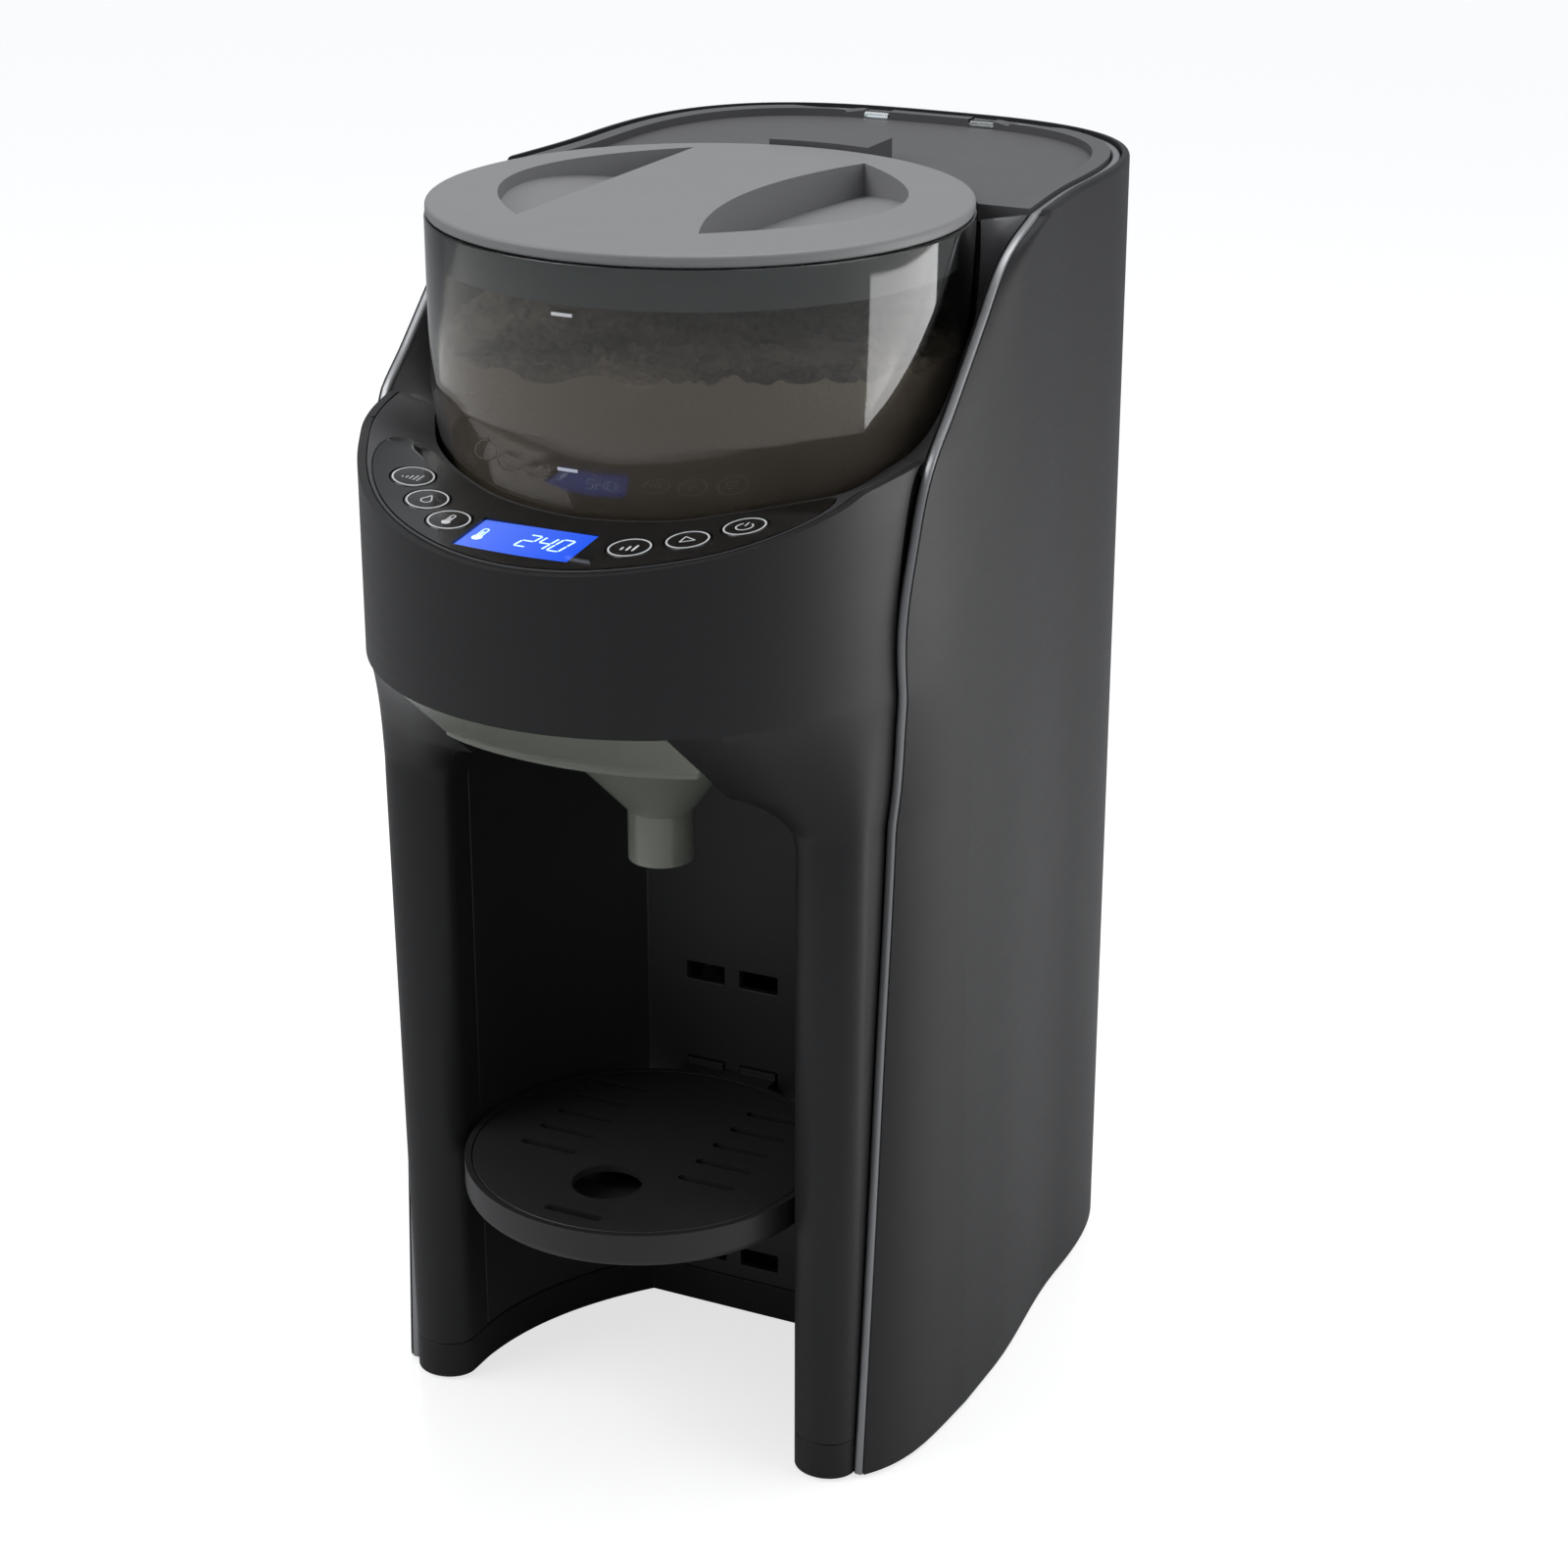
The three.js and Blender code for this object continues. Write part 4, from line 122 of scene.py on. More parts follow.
TRAY_SETBACK, TRAY_RADIUS, TRAY_TOP, TRAY_HEIGHT, TRAY_WALL = 69.8, 53, 85.2, 10.5, 2
GRID_THICKNESS, GRID_SKIRT = 2.2, 1.6
TRAY_HOLE, TRAY_HOLE_FORWARD, FRONT_SLOT_FORWARD = 10.3, 23.2, 43.5
SLOT_PITCH, SLOT_ROWS, SLOT_END, SLOT_LENGTH, SLOT_WIDTH = 11.1, 5, 35.4, 18.5, 3
HOOK_WIDTH, HOOK_HEIGHT, HOOK_LENGTH, HOOK_SPACING = 12, 5, 7, 18
HOOK_LEVELS = (18, 50, 82, 114)

TANK_FLOOR, TANK_RIM, TANK_FRONT, TANK_WALL, TANK_CLEARANCE = 150, 349, 81, 2.2, 1
LID_PLATE, LID_DISH, LID_RIM_WIDTH = 2.6, 2.4, 5
TAB_HALF, TAB_REACH, TAB_HEIGHT = 16, 24, 5.2
HINGE_SETBACK, HINGE_DROP, HINGE_PIN, HINGE_HALF, HINGE_KNUCKLE, HINGE_REACH = 3.4, 2.6, 1, 18, 4, 3
VALVE_RADIUS, VALVE_HEIGHT, VALVE_Y = 9, 14, 100

FRONT, REAR = -BODY_DEPTH / 2, BODY_DEPTH / 2
REAR_CENTRE = REAR - REAR_REACH
WIDEST = REAR - WIDEST_REACH
HEAD_Y = FRONT + HEAD_DEPTH
LEG_CENTRE = FRONT + LEG_SETBACK + LEG_ROUND
BAY_BACK = FRONT + BAY_BACK_SETBACK
SHELL_BACK = LEG_CENTRE + LEG_RETURN
AXIS = FRONT + AXIS_SETBACK
SPOUT_Y = AXIS - DROP_RADIUS
TRAY_Y = FRONT + TRAY_SETBACK
EDGE_OFFSET = 2 * GAP + TRIM_WIDTH
CHIN_BOTTOM = HEAD_BOTTOM - CHIN_HEIGHT
SEAM_FOOT = BASE_HEIGHT + GAP
PANEL_FOOT = GROUND + GAP
FRAME_TOP = HEAD_BOTTOM - LIP_HEIGHT
FRAME_LOW = FRAME_TOP - DRAWER_THICKNESS

# ---------------------------------------------------------------- helpers for numbers


def mix(a, b, t):
    """The value a share t of the way from a to b."""
    return a + (b - a) * t


def smooth(t):
    """3 t squared less 2 t cubed, held between 0 and 1."""
    t = np.clip(t, 0, 1)
    return t * t * (3 - 2 * t)


def curve_through(xs, ys):
    """Cubic pieces through the points, with the slope at each taken from its neighbours."""
    xs, ys = np.asarray(xs, float), np.asarray(ys, float)
    low = np.maximum(np.arange(len(xs)) - 1, 0)
    high = np.minimum(np.arange(len(xs)) + 1, len(xs) - 1)
    slopes = (ys[high] - ys[low]) / (xs[high] - xs[low])

    def at(x):
        t = np.clip(x, xs[0], xs[-1])
        i = np.clip(np.searchsorted(xs, t, side="right") - 1, 0, len(xs) - 2)
        step = xs[i + 1] - xs[i]
        u = (t - xs[i]) / step
        v = 1 - u
        start = ys[i] * (1 + 2 * u) * v**2 + step * slopes[i] * u * v**2
        return start + ys[i + 1] * u**2 * (3 - 2 * u) - step * slopes[i + 1] * u**2 * v

    return at


def flank_half(y):
    """Half width of the body: widest at WIDEST, easing to REAR_HALF where the rear rounds off."""
    return mix(BODY_WIDTH / 2, REAR_HALF, smooth((y - WIDEST) / (REAR_CENTRE - WIDEST)))


def rear_run(inset, to_x, steps):
    """Superellipse of the rear in plan, from its widest to where its half width is to_x."""
    a, b = REAR_HALF - inset, REAR_REACH - inset
    t = np.linspace(0, 1, steps + 1) * np.arccos((to_x / a) ** (REAR_POWER / 2))
    across = a * np.abs(np.cos(t)) ** (2 / REAR_POWER)
    return np.stack([across, REAR_CENTRE + b * np.sin(t) ** (2 / REAR_POWER)], -1)


seam_y = curve_through(
    SEAM_TOP * np.array(SEAM_HEIGHTS), FRONT + SEAM_FOOT_SETBACK + SEAM_SWEEP * np.array(SEAM_SWEEPS)
)
bevel_length = curve_through(SEAM_TOP * np.array(SEAM_HEIGHTS), BEVEL_FOOT * np.array(BEVEL_SHARES))
rim_side_y = float(seam_y(RIM_SIDE))
rim_height = curve_through(
    mix(FRONT, rim_side_y, np.array(RIM_LENGTHS)), mix(RIM_FRONT, RIM_SIDE, np.array(RIM_RISES))
)


def head_x(y):
    """Half width of the head's oval plan at y."""
    return HEAD_HALF * np.sqrt(np.maximum(0, 1 - ((y - HEAD_Y) / HEAD_DEPTH) ** 2))


def chin_share(z):
    """0 at the head's lower edge and above, 1 where the chin has run back to the legs."""
    return np.clip((HEAD_BOTTOM - z) / CHIN_HEIGHT, 0, 1)


def leg_x(z):
    """Half width over the legs, which spread a little towards the chin."""
    return LEG_HALF + LEG_SPREAD * np.clip(z / CHIN_BOTTOM, 0, 1)


SEAM_INSET = BODY_WIDTH / 2 - float(head_x(rim_side_y))
PANEL_WALL = SEAM_INSET - EDGE_OFFSET


def seam_half(z):
    """Half width at the seam: the head's oval, run over to the leg's width along the chin."""
    y = seam_y(z)
    blended = mix(head_x(np.minimum(y, rim_side_y)), leg_x(z), chin_share(z))
    return np.minimum(blended, flank_half(y) - SEAM_INSET)


# ---------------------------------------------------------------- helpers for surfaces


class Form:
    """Points and faces of a piece while it is worked out, in millimetres."""

    def __init__(self, *parts):
        self.points, self.faces, self.paints, self.count = [], [], [], 0
        for part in parts:
            self.add(*part)

    def add(self, points, faces, paint=0):
        points = np.asarray(points, float).reshape(-1, 3)
        self.points.append(points)
        for group in faces:
            group = np.atleast_2d(np.asarray(group)) + self.count
            self.faces.append(group)
            self.paints.append(np.full(len(group), paint))
        self.count += len(points)
        return self

    def joined(self, other):
        """This form and another one as one."""
        both = Form()
        both.points = self.points + other.points
        both.faces = self.faces + [group + self.count for group in other.faces]
        both.paints = self.paints + other.paints
        both.count = self.count + other.count
        return both

    def mirrored(self):
        """The same form on the other side of the middle plane."""
        twin = Form()
        flip = np.array([-1, 1, 1])
        twin.points = [points * flip for points in self.points]
        twin.faces = [group[:, ::-1] for group in self.faces]
        twin.paints, twin.count = list(self.paints), self.count
        return twin


def grid_faces(rows, columns, wrap_rows=False, wrap_columns=False):
    """Quads between neighbouring points of a grid, wrapped where it closes on itself."""
    i, j = np.meshgrid(
        np.arange(rows if wrap_rows else rows - 1),
        np.arange(columns if wrap_columns else columns - 1), indexing="ij",
    )
    down, right = (i + 1) % rows, (j + 1) % columns
    corners = [i * columns + j, i * columns + right, down * columns + right, down * columns + j]
    return np.stack(corners, -1).reshape(-1, 4)


def wall_between(outer, inner, joined_from=None):
    """Two matching grids joined round their edges. From row joined_from on, the last column
    is left open, so that a mirrored twin closes it."""
    rows, columns = outer.shape[:2]
    total = rows * columns
    ids = np.arange(total).reshape(rows, columns)
    last = ids[:, -1] if joined_from is None else ids[: joined_from + 1, -1]
    edges = [
        np.stack([line[:-1], line[1:], line[1:] + total, line[:-1] + total], -1)
        for line in (ids[:, 0], last, ids[0], ids[-1])
    ]
    faces = [grid_faces(rows, columns), grid_faces(rows, columns)[:, ::-1] + total, *edges]
    return np.concatenate([outer.reshape(-1, 3), inner.reshape(-1, 3)]), faces


def round_corners(points, radius, steps=4, closed=False):
    """Each corner of an outline becomes a short parabola whose ends lie radius back along the
    two sides, or a third of a side where that is shorter. Open ends stay."""
    points = [np.asarray(p, float) for p in points]
    result = []
    for k, corner in enumerate(points):
        if not closed and k in (0, len(points) - 1):
            result.append(corner[None])
            continue
        before, after = points[k - 1] - corner, points[(k + 1) % len(points)] - corner
        reach = [min(radius, np.linalg.norm(side) / 3) for side in (before, after)]
        start = corner + before / np.linalg.norm(before) * reach[0]
        end = corner + after / np.linalg.norm(after) * reach[1]
        t = np.linspace(0, 1, steps + 1)[:, None]
        result.append((1 - t) ** 2 * start + 2 * t * (1 - t) * corner + t**2 * end)
    return np.concatenate(result)


def lathe(profile, x=0, y=0, segments=128):
    """A profile of radius and height turned about an upright axis: each point is a circle."""
    profile = np.asarray(profile, float)
    on_axis = profile[0, 0] == 0 and profile[-1, 0] == 0
    turn = np.linspace(0, TURN, segments, endpoint=False)
    r, z = profile[:, :1], profile[:, 1:]
    points = np.stack([x + r * np.cos(turn), y + r * np.sin(turn), z + 0 * turn], -1)
    return points, [grid_faces(len(profile), segments, not on_axis, True)]


def disc(radius, z0, z1, x=0, y=0, segments=64):
    """A plain upright cylinder."""
    return lathe([(0, z0), (radius, z0), (radius, z1), (0, z1)], x, y, segments)


def slab(outline, z0, z1):
    """A closed outline of x and y carried straight up from z0 to z1."""
    outline = np.asarray(outline, float)
    count = len(outline)
    flat = [np.c_[outline, np.full(count, z)] for z in (z0, z1)]
    i = np.arange(count)
    side = np.stack([i, (i + 1) % count, (i + 1) % count + count, i + count], -1)
    return np.concatenate(flat), [side, i[::-1], i + count]


def block(low, high):
    """A box between two corners."""
    (x0, y0, z0), (x1, y1, z1) = low, high
    return slab([(x0, y0), (x1, y0), (x1, y1), (x0, y1)], z0, z1)


def loft(rings):
    """Closed rings of points joined one to the next, with flat ends."""
    rings = np.asarray(rings, float)
    count, size = rings.shape[:2]
    ends = [np.arange(size)[::-1], np.arange(size) + (count - 1) * size]
    return rings, [grid_faces(count, size, False, True), *ends]


def ribbon(points, width, low, high, closed=False):
    """A flat stroke: the line moved half its width to each side, between two heights."""
    points = np.asarray(points, float)
    if closed:
        along = np.roll(points, -1, 0) - np.roll(points, 1, 0)
    else:
        along = np.gradient(points, axis=0)
    side = np.stack([-along[:, 1], along[:, 0]], -1)
    side *= width / 2 / np.linalg.norm(side, axis=1, keepdims=True)
    corners = [(points + side, high), (points - side, high), (points - side, low), (points + side, low)]
    rings = np.stack([np.c_[p, np.full(len(p), z)] for p, z in corners], 1)
    if closed:
        return rings, [grid_faces(len(points), 4, True, True)]
    return loft(rings)


def moved(part, shift):
    """A part carried along by shift."""
    return part[0] + np.asarray(shift, float), part[1]


def stood_on(part, place, normal):
    """A part made round the upright axis, turned the shortest way onto normal, set on place."""
    turn = np.array(Vector((0, 0, 1)).rotation_difference(Vector(normal)).to_matrix())
    points = np.asarray(part[0], float).reshape(-1, 3) @ turn.T + np.asarray(place, float)
    return points, part[1]


def new_object(name, form):
    """An object from a form: metres, doubles merged, faces turned outwards."""
    points = np.concatenate(form.points) * MM
    sizes = np.concatenate([np.full(len(group), group.shape[1]) for group in form.faces])
    corners = np.concatenate([group.ravel() for group in form.faces]).astype(np.int32)
    mesh = bpy.data.meshes.new(name)
    mesh.vertices.add(len(points))
    mesh.vertices.foreach_set("co", points.ravel())
    mesh.loops.add(len(corners))
    mesh.loops.foreach_set("vertex_index", corners)
    mesh.polygons.add(len(sizes))
    mesh.polygons.foreach_set("loop_start", np.r_[0, np.cumsum(sizes)[:-1]].astype(np.int32))
    mesh.polygons.foreach_set("material_index", np.concatenate(form.paints).astype(np.int32))
    mesh.update(calc_edges=True)
    work = bmesh.new()
    work.from_mesh(mesh)
    bmesh.ops.remove_doubles(work, verts=work.verts, dist=1e-6)
    bmesh.ops.dissolve_degenerate(work, edges=work.edges, dist=1e-7)
    bmesh.ops.recalc_face_normals(work, faces=work.faces)
    work.to_mesh(mesh)
    work.free()
    item = bpy.data.objects.new(name, mesh)
    bpy.context.scene.collection.objects.link(item)
    return item


def combine(item, form, way="DIFFERENCE"):
    """Cuts a form or object away from an object, or joins it on, and keeps the result as its
    mesh. The tool is used up."""
    tool = new_object("tool", form) if isinstance(form, Form) else form
    step = item.modifiers.new("step", "BOOLEAN")
    step.operation, step.object, step.solver = way, tool, "EXACT"
    step.use_self = way == "UNION"
    bpy.context.view_layer.update()
    done = item.evaluated_get(bpy.context.evaluated_depsgraph_get())
    mesh = bpy.data.meshes.new_from_object(done)
    item.modifiers.clear()
    old, item.data = item.data, mesh
    bpy.data.meshes.remove(old)
    spare = tool.data
    bpy.data.objects.remove(tool)
    bpy.data.meshes.remove(spare)
    return item


def dress(item, materials, body, nodes=(), bevel=0.0, angle=32):
    """Finishes a piece: materials, soft edges, smooth shading up to an angle, and its body."""
    materials = materials if isinstance(materials, (list, tuple)) else [materials]
    paints = np.zeros(len(item.data.polygons), np.int32)
    item.data.polygons.foreach_get("material_index", paints)
    item.data.materials.clear()
    for material in materials:
        item.data.materials.append(material)
    item.data.polygons.foreach_set("material_index", paints % len(materials))
    item.data.polygons.foreach_set("use_smooth", np.ones(len(item.data.polygons), bool))
    item.data.set_sharp_from_angle(angle=math.radians(angle))
    if bevel:
        soft = item.modifiers.new("soft edges", "BEVEL")
        soft.width, soft.segments, soft.limit_method = bevel * MM, 2, "ANGLE"
        soft.angle_limit, soft.harden_normals = math.radians(angle), True
        soft.use_clamp_overlap = True
    item.data.update()
    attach(item, body)
    if nodes:
        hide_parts(*nodes)
    return item


# ---------------------------------------------------------------- finishes


def shade(red, green, blue):
    """A colour written as 0 to 255 values, as linear light."""
    values = np.array([red, green, blue]) / 255
    linear = np.where(values <= 0.04045, values / 12.92, ((values + 0.055) / 1.055) ** 2.4)
    return (*linear.tolist(), 1.0)


def effect(name, inputs, outputs):
    """A shader node group with named inputs and outputs."""
    group = bpy.data.node_groups.new(name, "ShaderNodeTree")
    for label, kind, value in inputs:
        socket = group.interface.new_socket(label, in_out="INPUT", socket_type=kind)
        socket.default_value = value
    for label, kind in outputs:
        group.interface.new_socket(label, in_out="OUTPUT", socket_type=kind)
    return group, group.nodes.new("NodeGroupInput"), group.nodes.new("NodeGroupOutput")


def node(tree, kind, settings=None, **inputs):
    """A node with its properties and plain input values set."""
    made = tree.nodes.new(kind)
    for key, value in (settings or {}).items():
        setattr(made, key, value)
    for label, value in inputs.items():
        made.inputs[label.replace("_", " ")].default_value = value
    return made


def link(tree, source, target):
    """Joins two sockets."""
    tree.links.new(source, target)


FLOAT, COLOUR = "NodeSocketFloat", "NodeSocketColor"


def moulded_grain():
    """Height of a fine moulded grain: fine noise over rounder cells."""
    group, enter, leave = effect("moulded grain", [("Scale", FLOAT, 1500)], [("Height", FLOAT)])
    place = node(group, "ShaderNodeTexCoord")
    noise = node(group, "ShaderNodeTexNoise", Detail=2.0, Roughness=0.6)
    cells = node(group, "ShaderNodeTexVoronoi", {"feature": "SMOOTH_F1"})
    both = node(group, "ShaderNodeMath", {"operation": "ADD"})
    for texture in (noise, cells):
        link(group, place.outputs["Object"], texture.inputs["Vector"])
        link(group, enter.outputs["Scale"], texture.inputs["Scale"])
    link(group, noise.outputs[0], both.inputs[0])
    link(group, cells.outputs["Distance"], both.inputs[1])
    link(group, both.outputs[0], leave.inputs["Height"])
    return group


def tone_drift():
    """A colour that wanders a little, lighter and darker, over the surface."""
    group, enter, leave = effect(
        "tone drift",
        [("Colour", COLOUR, (0.5, 0.5, 0.5, 1)), ("Amount", FLOAT, 0.1), ("Scale", FLOAT, 25)],
        [("Colour", COLOUR)],
    )
    place = node(group, "ShaderNodeTexCoord")
    noise = node(group, "ShaderNodeTexNoise", Detail=4.0, Roughness=0.55)
    centre = node(group, "ShaderNodeMath", {"operation": "SUBTRACT"})
    centre.inputs[1].default_value = 0.5
    swing = node(group, "ShaderNodeMath", {"operation": "MULTIPLY"})
    lift = node(group, "ShaderNodeMath", {"operation": "MULTIPLY_ADD"})
    lift.inputs[1].default_value, lift.inputs[2].default_value = 2.0, 1.0
    tint = node(group, "ShaderNodeVectorMath", {"operation": "SCALE"})
    link(group, place.outputs["Object"], noise.inputs["Vector"])
    link(group, enter.outputs["Scale"], noise.inputs["Scale"])
    link(group, noise.outputs[0], centre.inputs[0])
    link(group, centre.outputs[0], swing.inputs[0])
    link(group, enter.outputs["Amount"], swing.inputs[1])
    link(group, swing.outputs[0], lift.inputs[0])
    link(group, enter.outputs["Colour"], tint.inputs[0])
    link(group, lift.outputs[0], tint.inputs["Scale"])
    link(group, tint.outputs[0], leave.inputs["Colour"])
    return group


def handling():
    """Roughness with soft smudges and a few fine rubbed streaks."""
    group, enter, leave = effect(
        "handling", [("Roughness", FLOAT, 0.4), ("Amount", FLOAT, 0.08)], [("Roughness", FLOAT)],
    )
    place = node(group, "ShaderNodeTexCoord")
    stretch = node(group, "ShaderNodeMapping")
    stretch.inputs["Scale"].default_value = (60, 60, 900)
    smudge = node(group, "ShaderNodeTexNoise", Scale=38.0, Detail=5.0, Roughness=0.6)
    streak = node(group, "ShaderNodeTexNoise", Scale=1.0, Detail=1.0)
    both = node(group, "ShaderNodeMath", {"operation": "ADD"})
    centre = node(group, "ShaderNodeMath", {"operation": "SUBTRACT"})
    centre.inputs[1].default_value = 1.0
    result = node(group, "ShaderNodeMath", {"operation": "MULTIPLY_ADD", "use_clamp": True})
    link(group, place.outputs["Object"], smudge.inputs["Vector"])
    link(group, place.outputs["Object"], stretch.inputs["Vector"])
    link(group, stretch.outputs[0], streak.inputs["Vector"])
    link(group, smudge.outputs[0], both.inputs[0])
    link(group, streak.outputs[0], both.inputs[1])
    link(group, both.outputs[0], centre.inputs[0])
    link(group, centre.outputs[0], result.inputs[0])
    link(group, enter.outputs["Amount"], result.inputs[1])
    link(group, enter.outputs["Roughness"], result.inputs[2])
    link(group, result.outputs[0], leave.inputs["Roughness"])
    return group


def fine_dust():
    """A colour with a trace of pale dust where the surface faces up, broken up by noise."""
    group, enter, leave = effect(
        "fine dust", [("Colour", COLOUR, (0.5, 0.5, 0.5, 1)), ("Amount", FLOAT, 0.02)],
        [("Colour", COLOUR)],
    )
    place = node(group, "ShaderNodeTexCoord")
    facing = node(group, "ShaderNodeSeparateXYZ")
    specks = node(group, "ShaderNodeTexNoise", Scale=700.0, Detail=3.0, Roughness=0.7)
    narrow = node(group, "ShaderNodeMapRange")
    narrow.inputs["From Min"].default_value, narrow.inputs["From Max"].default_value = 0.45, 0.75
    mask = node(group, "ShaderNodeMath", {"operation": "MULTIPLY", "use_clamp": True})
    share = node(group, "ShaderNodeMath", {"operation": "MULTIPLY"})
    blend = node(group, "ShaderNodeMix", {"data_type": "RGBA"})
    blend.inputs[7].default_value = shade(176, 170, 160)
    link(group, place.outputs["Object"], specks.inputs["Vector"])
    link(group, place.outputs["Normal"], facing.inputs[0])
    link(group, specks.outputs[0], narrow.inputs[0])
    link(group, narrow.outputs[0], mask.inputs[0])
    link(group, facing.outputs["Z"], mask.inputs[1])
    link(group, mask.outputs[0], share.inputs[0])
    link(group, enter.outputs["Amount"], share.inputs[1])
    link(group, share.outputs[0], blend.inputs[0])
    link(group, enter.outputs["Colour"], blend.inputs[6])
    link(group, blend.outputs[2], leave.inputs["Colour"])
    return group


GRAIN, DRIFT, TOUCH, DUST = moulded_grain(), tone_drift(), handling(), fine_dust()


def placed(tree, group, **inputs):
    """A shared effect placed in a material with its own values."""
    made = tree.nodes.new("ShaderNodeGroup")
    made.node_tree = group
    for label, value in inputs.items():
        made.inputs[label].default_value = value
    return made


def finish(name, colour, rough, grain=1500, relief=0.03, drift=0.06, touch=0.06, dust=0.015,
           see_through=None, **sockets):
    """A material: drifting colour with a trace of dust, handled roughness and moulded grain.
    With see_through, light reaches what lies behind the piece, tinted by that colour."""
    material = bpy.data.materials.new(name)
    material.use_nodes = True
    tree = material.node_tree
    shader = tree.nodes["Principled BSDF"]
    tone = placed(tree, DRIFT, Colour=colour, Amount=drift)
    dusty = placed(tree, DUST, Amount=dust)
    gloss = placed(tree, TOUCH, Roughness=rough, Amount=touch)
    height = placed(tree, GRAIN, Scale=grain)
    bump = node(tree, "ShaderNodeBump", Strength=relief, Distance=0.0002)
    link(tree, tone.outputs[0], dusty.inputs["Colour"])
    link(tree, dusty.outputs[0], shader.inputs["Base Color"])
    link(tree, gloss.outputs[0], shader.inputs["Roughness"])
    link(tree, height.outputs[0], bump.inputs["Height"])
    link(tree, bump.outputs[0], shader.inputs["Normal"])
    for label, value in sockets.items():
        shader.inputs[label.replace("_", " ")].default_value = value
    if see_through:
        out = tree.nodes["Material Output"]
        path = node(tree, "ShaderNodeLightPath")
        clear = node(tree, "ShaderNodeBsdfTransparent", Color=see_through)
        both = node(tree, "ShaderNodeMixShader")
        link(tree, path.outputs["Is Shadow Ray"], both.inputs[0])
        link(tree, shader.outputs[0], both.inputs[1])
        link(tree, clear.outputs[0], both.inputs[2])
        link(tree, both.outputs[0], out.inputs["Surface"])
    return material


skin = {"rough": 0.46, "grain": 1700, "relief": 0.05, "dust": 0.01}
shell_black = finish("satin shell", shade(34, 34, 35), Specular_IOR_Level=0.3, **skin)
panel_black = finish("satin side panel", shade(35, 35, 36), Specular_IOR_Level=0.25, **skin)
bay_black = finish("bay black", shade(34, 34, 35), 0.46, 1500, 0.06, dust=0.01)
inner_black = finish("inner black", shade(40, 41, 42), 0.55, 1300, 0.08)
deck_black = finish("deck", shade(58, 58, 60), 0.42, 1700, 0.05, dust=0.01)
lid_grey = finish("lid grey", shade(128, 128, 129), 0.5, 1500, 0.06, drift=0.04, dust=0.02)
tank_grey = finish("tank lid grey", shade(80, 80, 81), 0.5, 1500, 0.06, drift=0.04, dust=0.02)
gloss_black = finish("gloss black", shade(6, 6, 7), 0.06, 900, 0.004, 0.04, 0.04, 0.004, Coat_Weight=0.6)
print_white = finish("print", shade(228, 229, 230), 0.4, 900, 0.02, 0.03, 0.03, 0)
smoked_silver = finish(
    "smoked silver", shade(150, 151, 153), 0.34, 1200, 0.01, 0.04, 0.05, 0.01, Metallic=0.7,
)
seal_blue = finish("seal", shade(76, 90, 100), 0.5, 1400, 0.05, 0.05, 0.06, 0.0, Subsurface_Weight=0.1)
natural = finish("natural plastic", shade(214, 209, 198), 0.5, 1300, 0.06, Subsurface_Weight=0.08)
steel = finish("steel", shade(168, 170, 173), 0.3, 2500, 0.03, 0.05, 0.1, 0.01, Metallic=1.0)
board_green = finish("circuit board", shade(30, 88, 52), 0.45, 600, 0.08, 0.18)
rubber = finish("rubber", shade(22, 22, 22), 0.85, 1100, 0.12)
smoke = finish(
    "smoky clear", shade(190, 188, 183), 0.05, 700, 0.005, 0.03, 0.03, 0.0,
    see_through=shade(168, 166, 160), Transmission_Weight=1.0, IOR=1.49,
)
olive = finish(
    "olive clear", shade(176, 179, 168), 0.24, 900, 0.02, 0.05, 0.05, 0.0,
    see_through=shade(150, 153, 140), Transmission_Weight=0.6, IOR=1.49,
)
water_clear = finish(
    "clear tank", shade(214, 220, 222), 0.07, 900, 0.01, 0.03, 0.03, 0.0,
    see_through=shade(214, 220, 222), Transmission_Weight=1.0, IOR=1.49,
)
hose_clear = finish(
    "hose", shade(206, 210, 208), 0.25, 900, 0.02, 0.05, 0.05, 0.0,
    see_through=shade(190, 194, 192), Transmission_Weight=0.6, IOR=1.42,
)


def screen_finish():
    """Lit blue of the display: a slow change from violet at the left to deep blue."""
    material = finish("screen blue", shade(12, 40, 150), 0.08, 900, 0.003, 0.02, 0.03, 0.0, Coat_Weight=0.5)
    tree = material.node_tree
    shader = tree.nodes["Principled BSDF"]
    place = node(tree, "ShaderNodeTexCoord")
    parts = node(tree, "ShaderNodeSeparateXYZ")
    across = node(tree, "ShaderNodeMapRange")
    across.inputs["From Min"].default_value, across.inputs["From Max"].default_value = -0.0215, 0.0125
    ramp = node(tree, "ShaderNodeValToRGB")
    ramp.color_ramp.elements[0].color = shade(96, 134, 250)
    ramp.color_ramp.elements[1].color = shade(30, 92, 240)
    link(tree, place.outputs["Object"], parts.inputs[0])
    link(tree, parts.outputs["X"], across.inputs[0])
    link(tree, across.outputs[0], ramp.inputs[0])
    link(tree, ramp.outputs[0], shader.inputs["Emission Color"])
    shader.inputs["Emission Strength"].default_value = 0.85
    return material


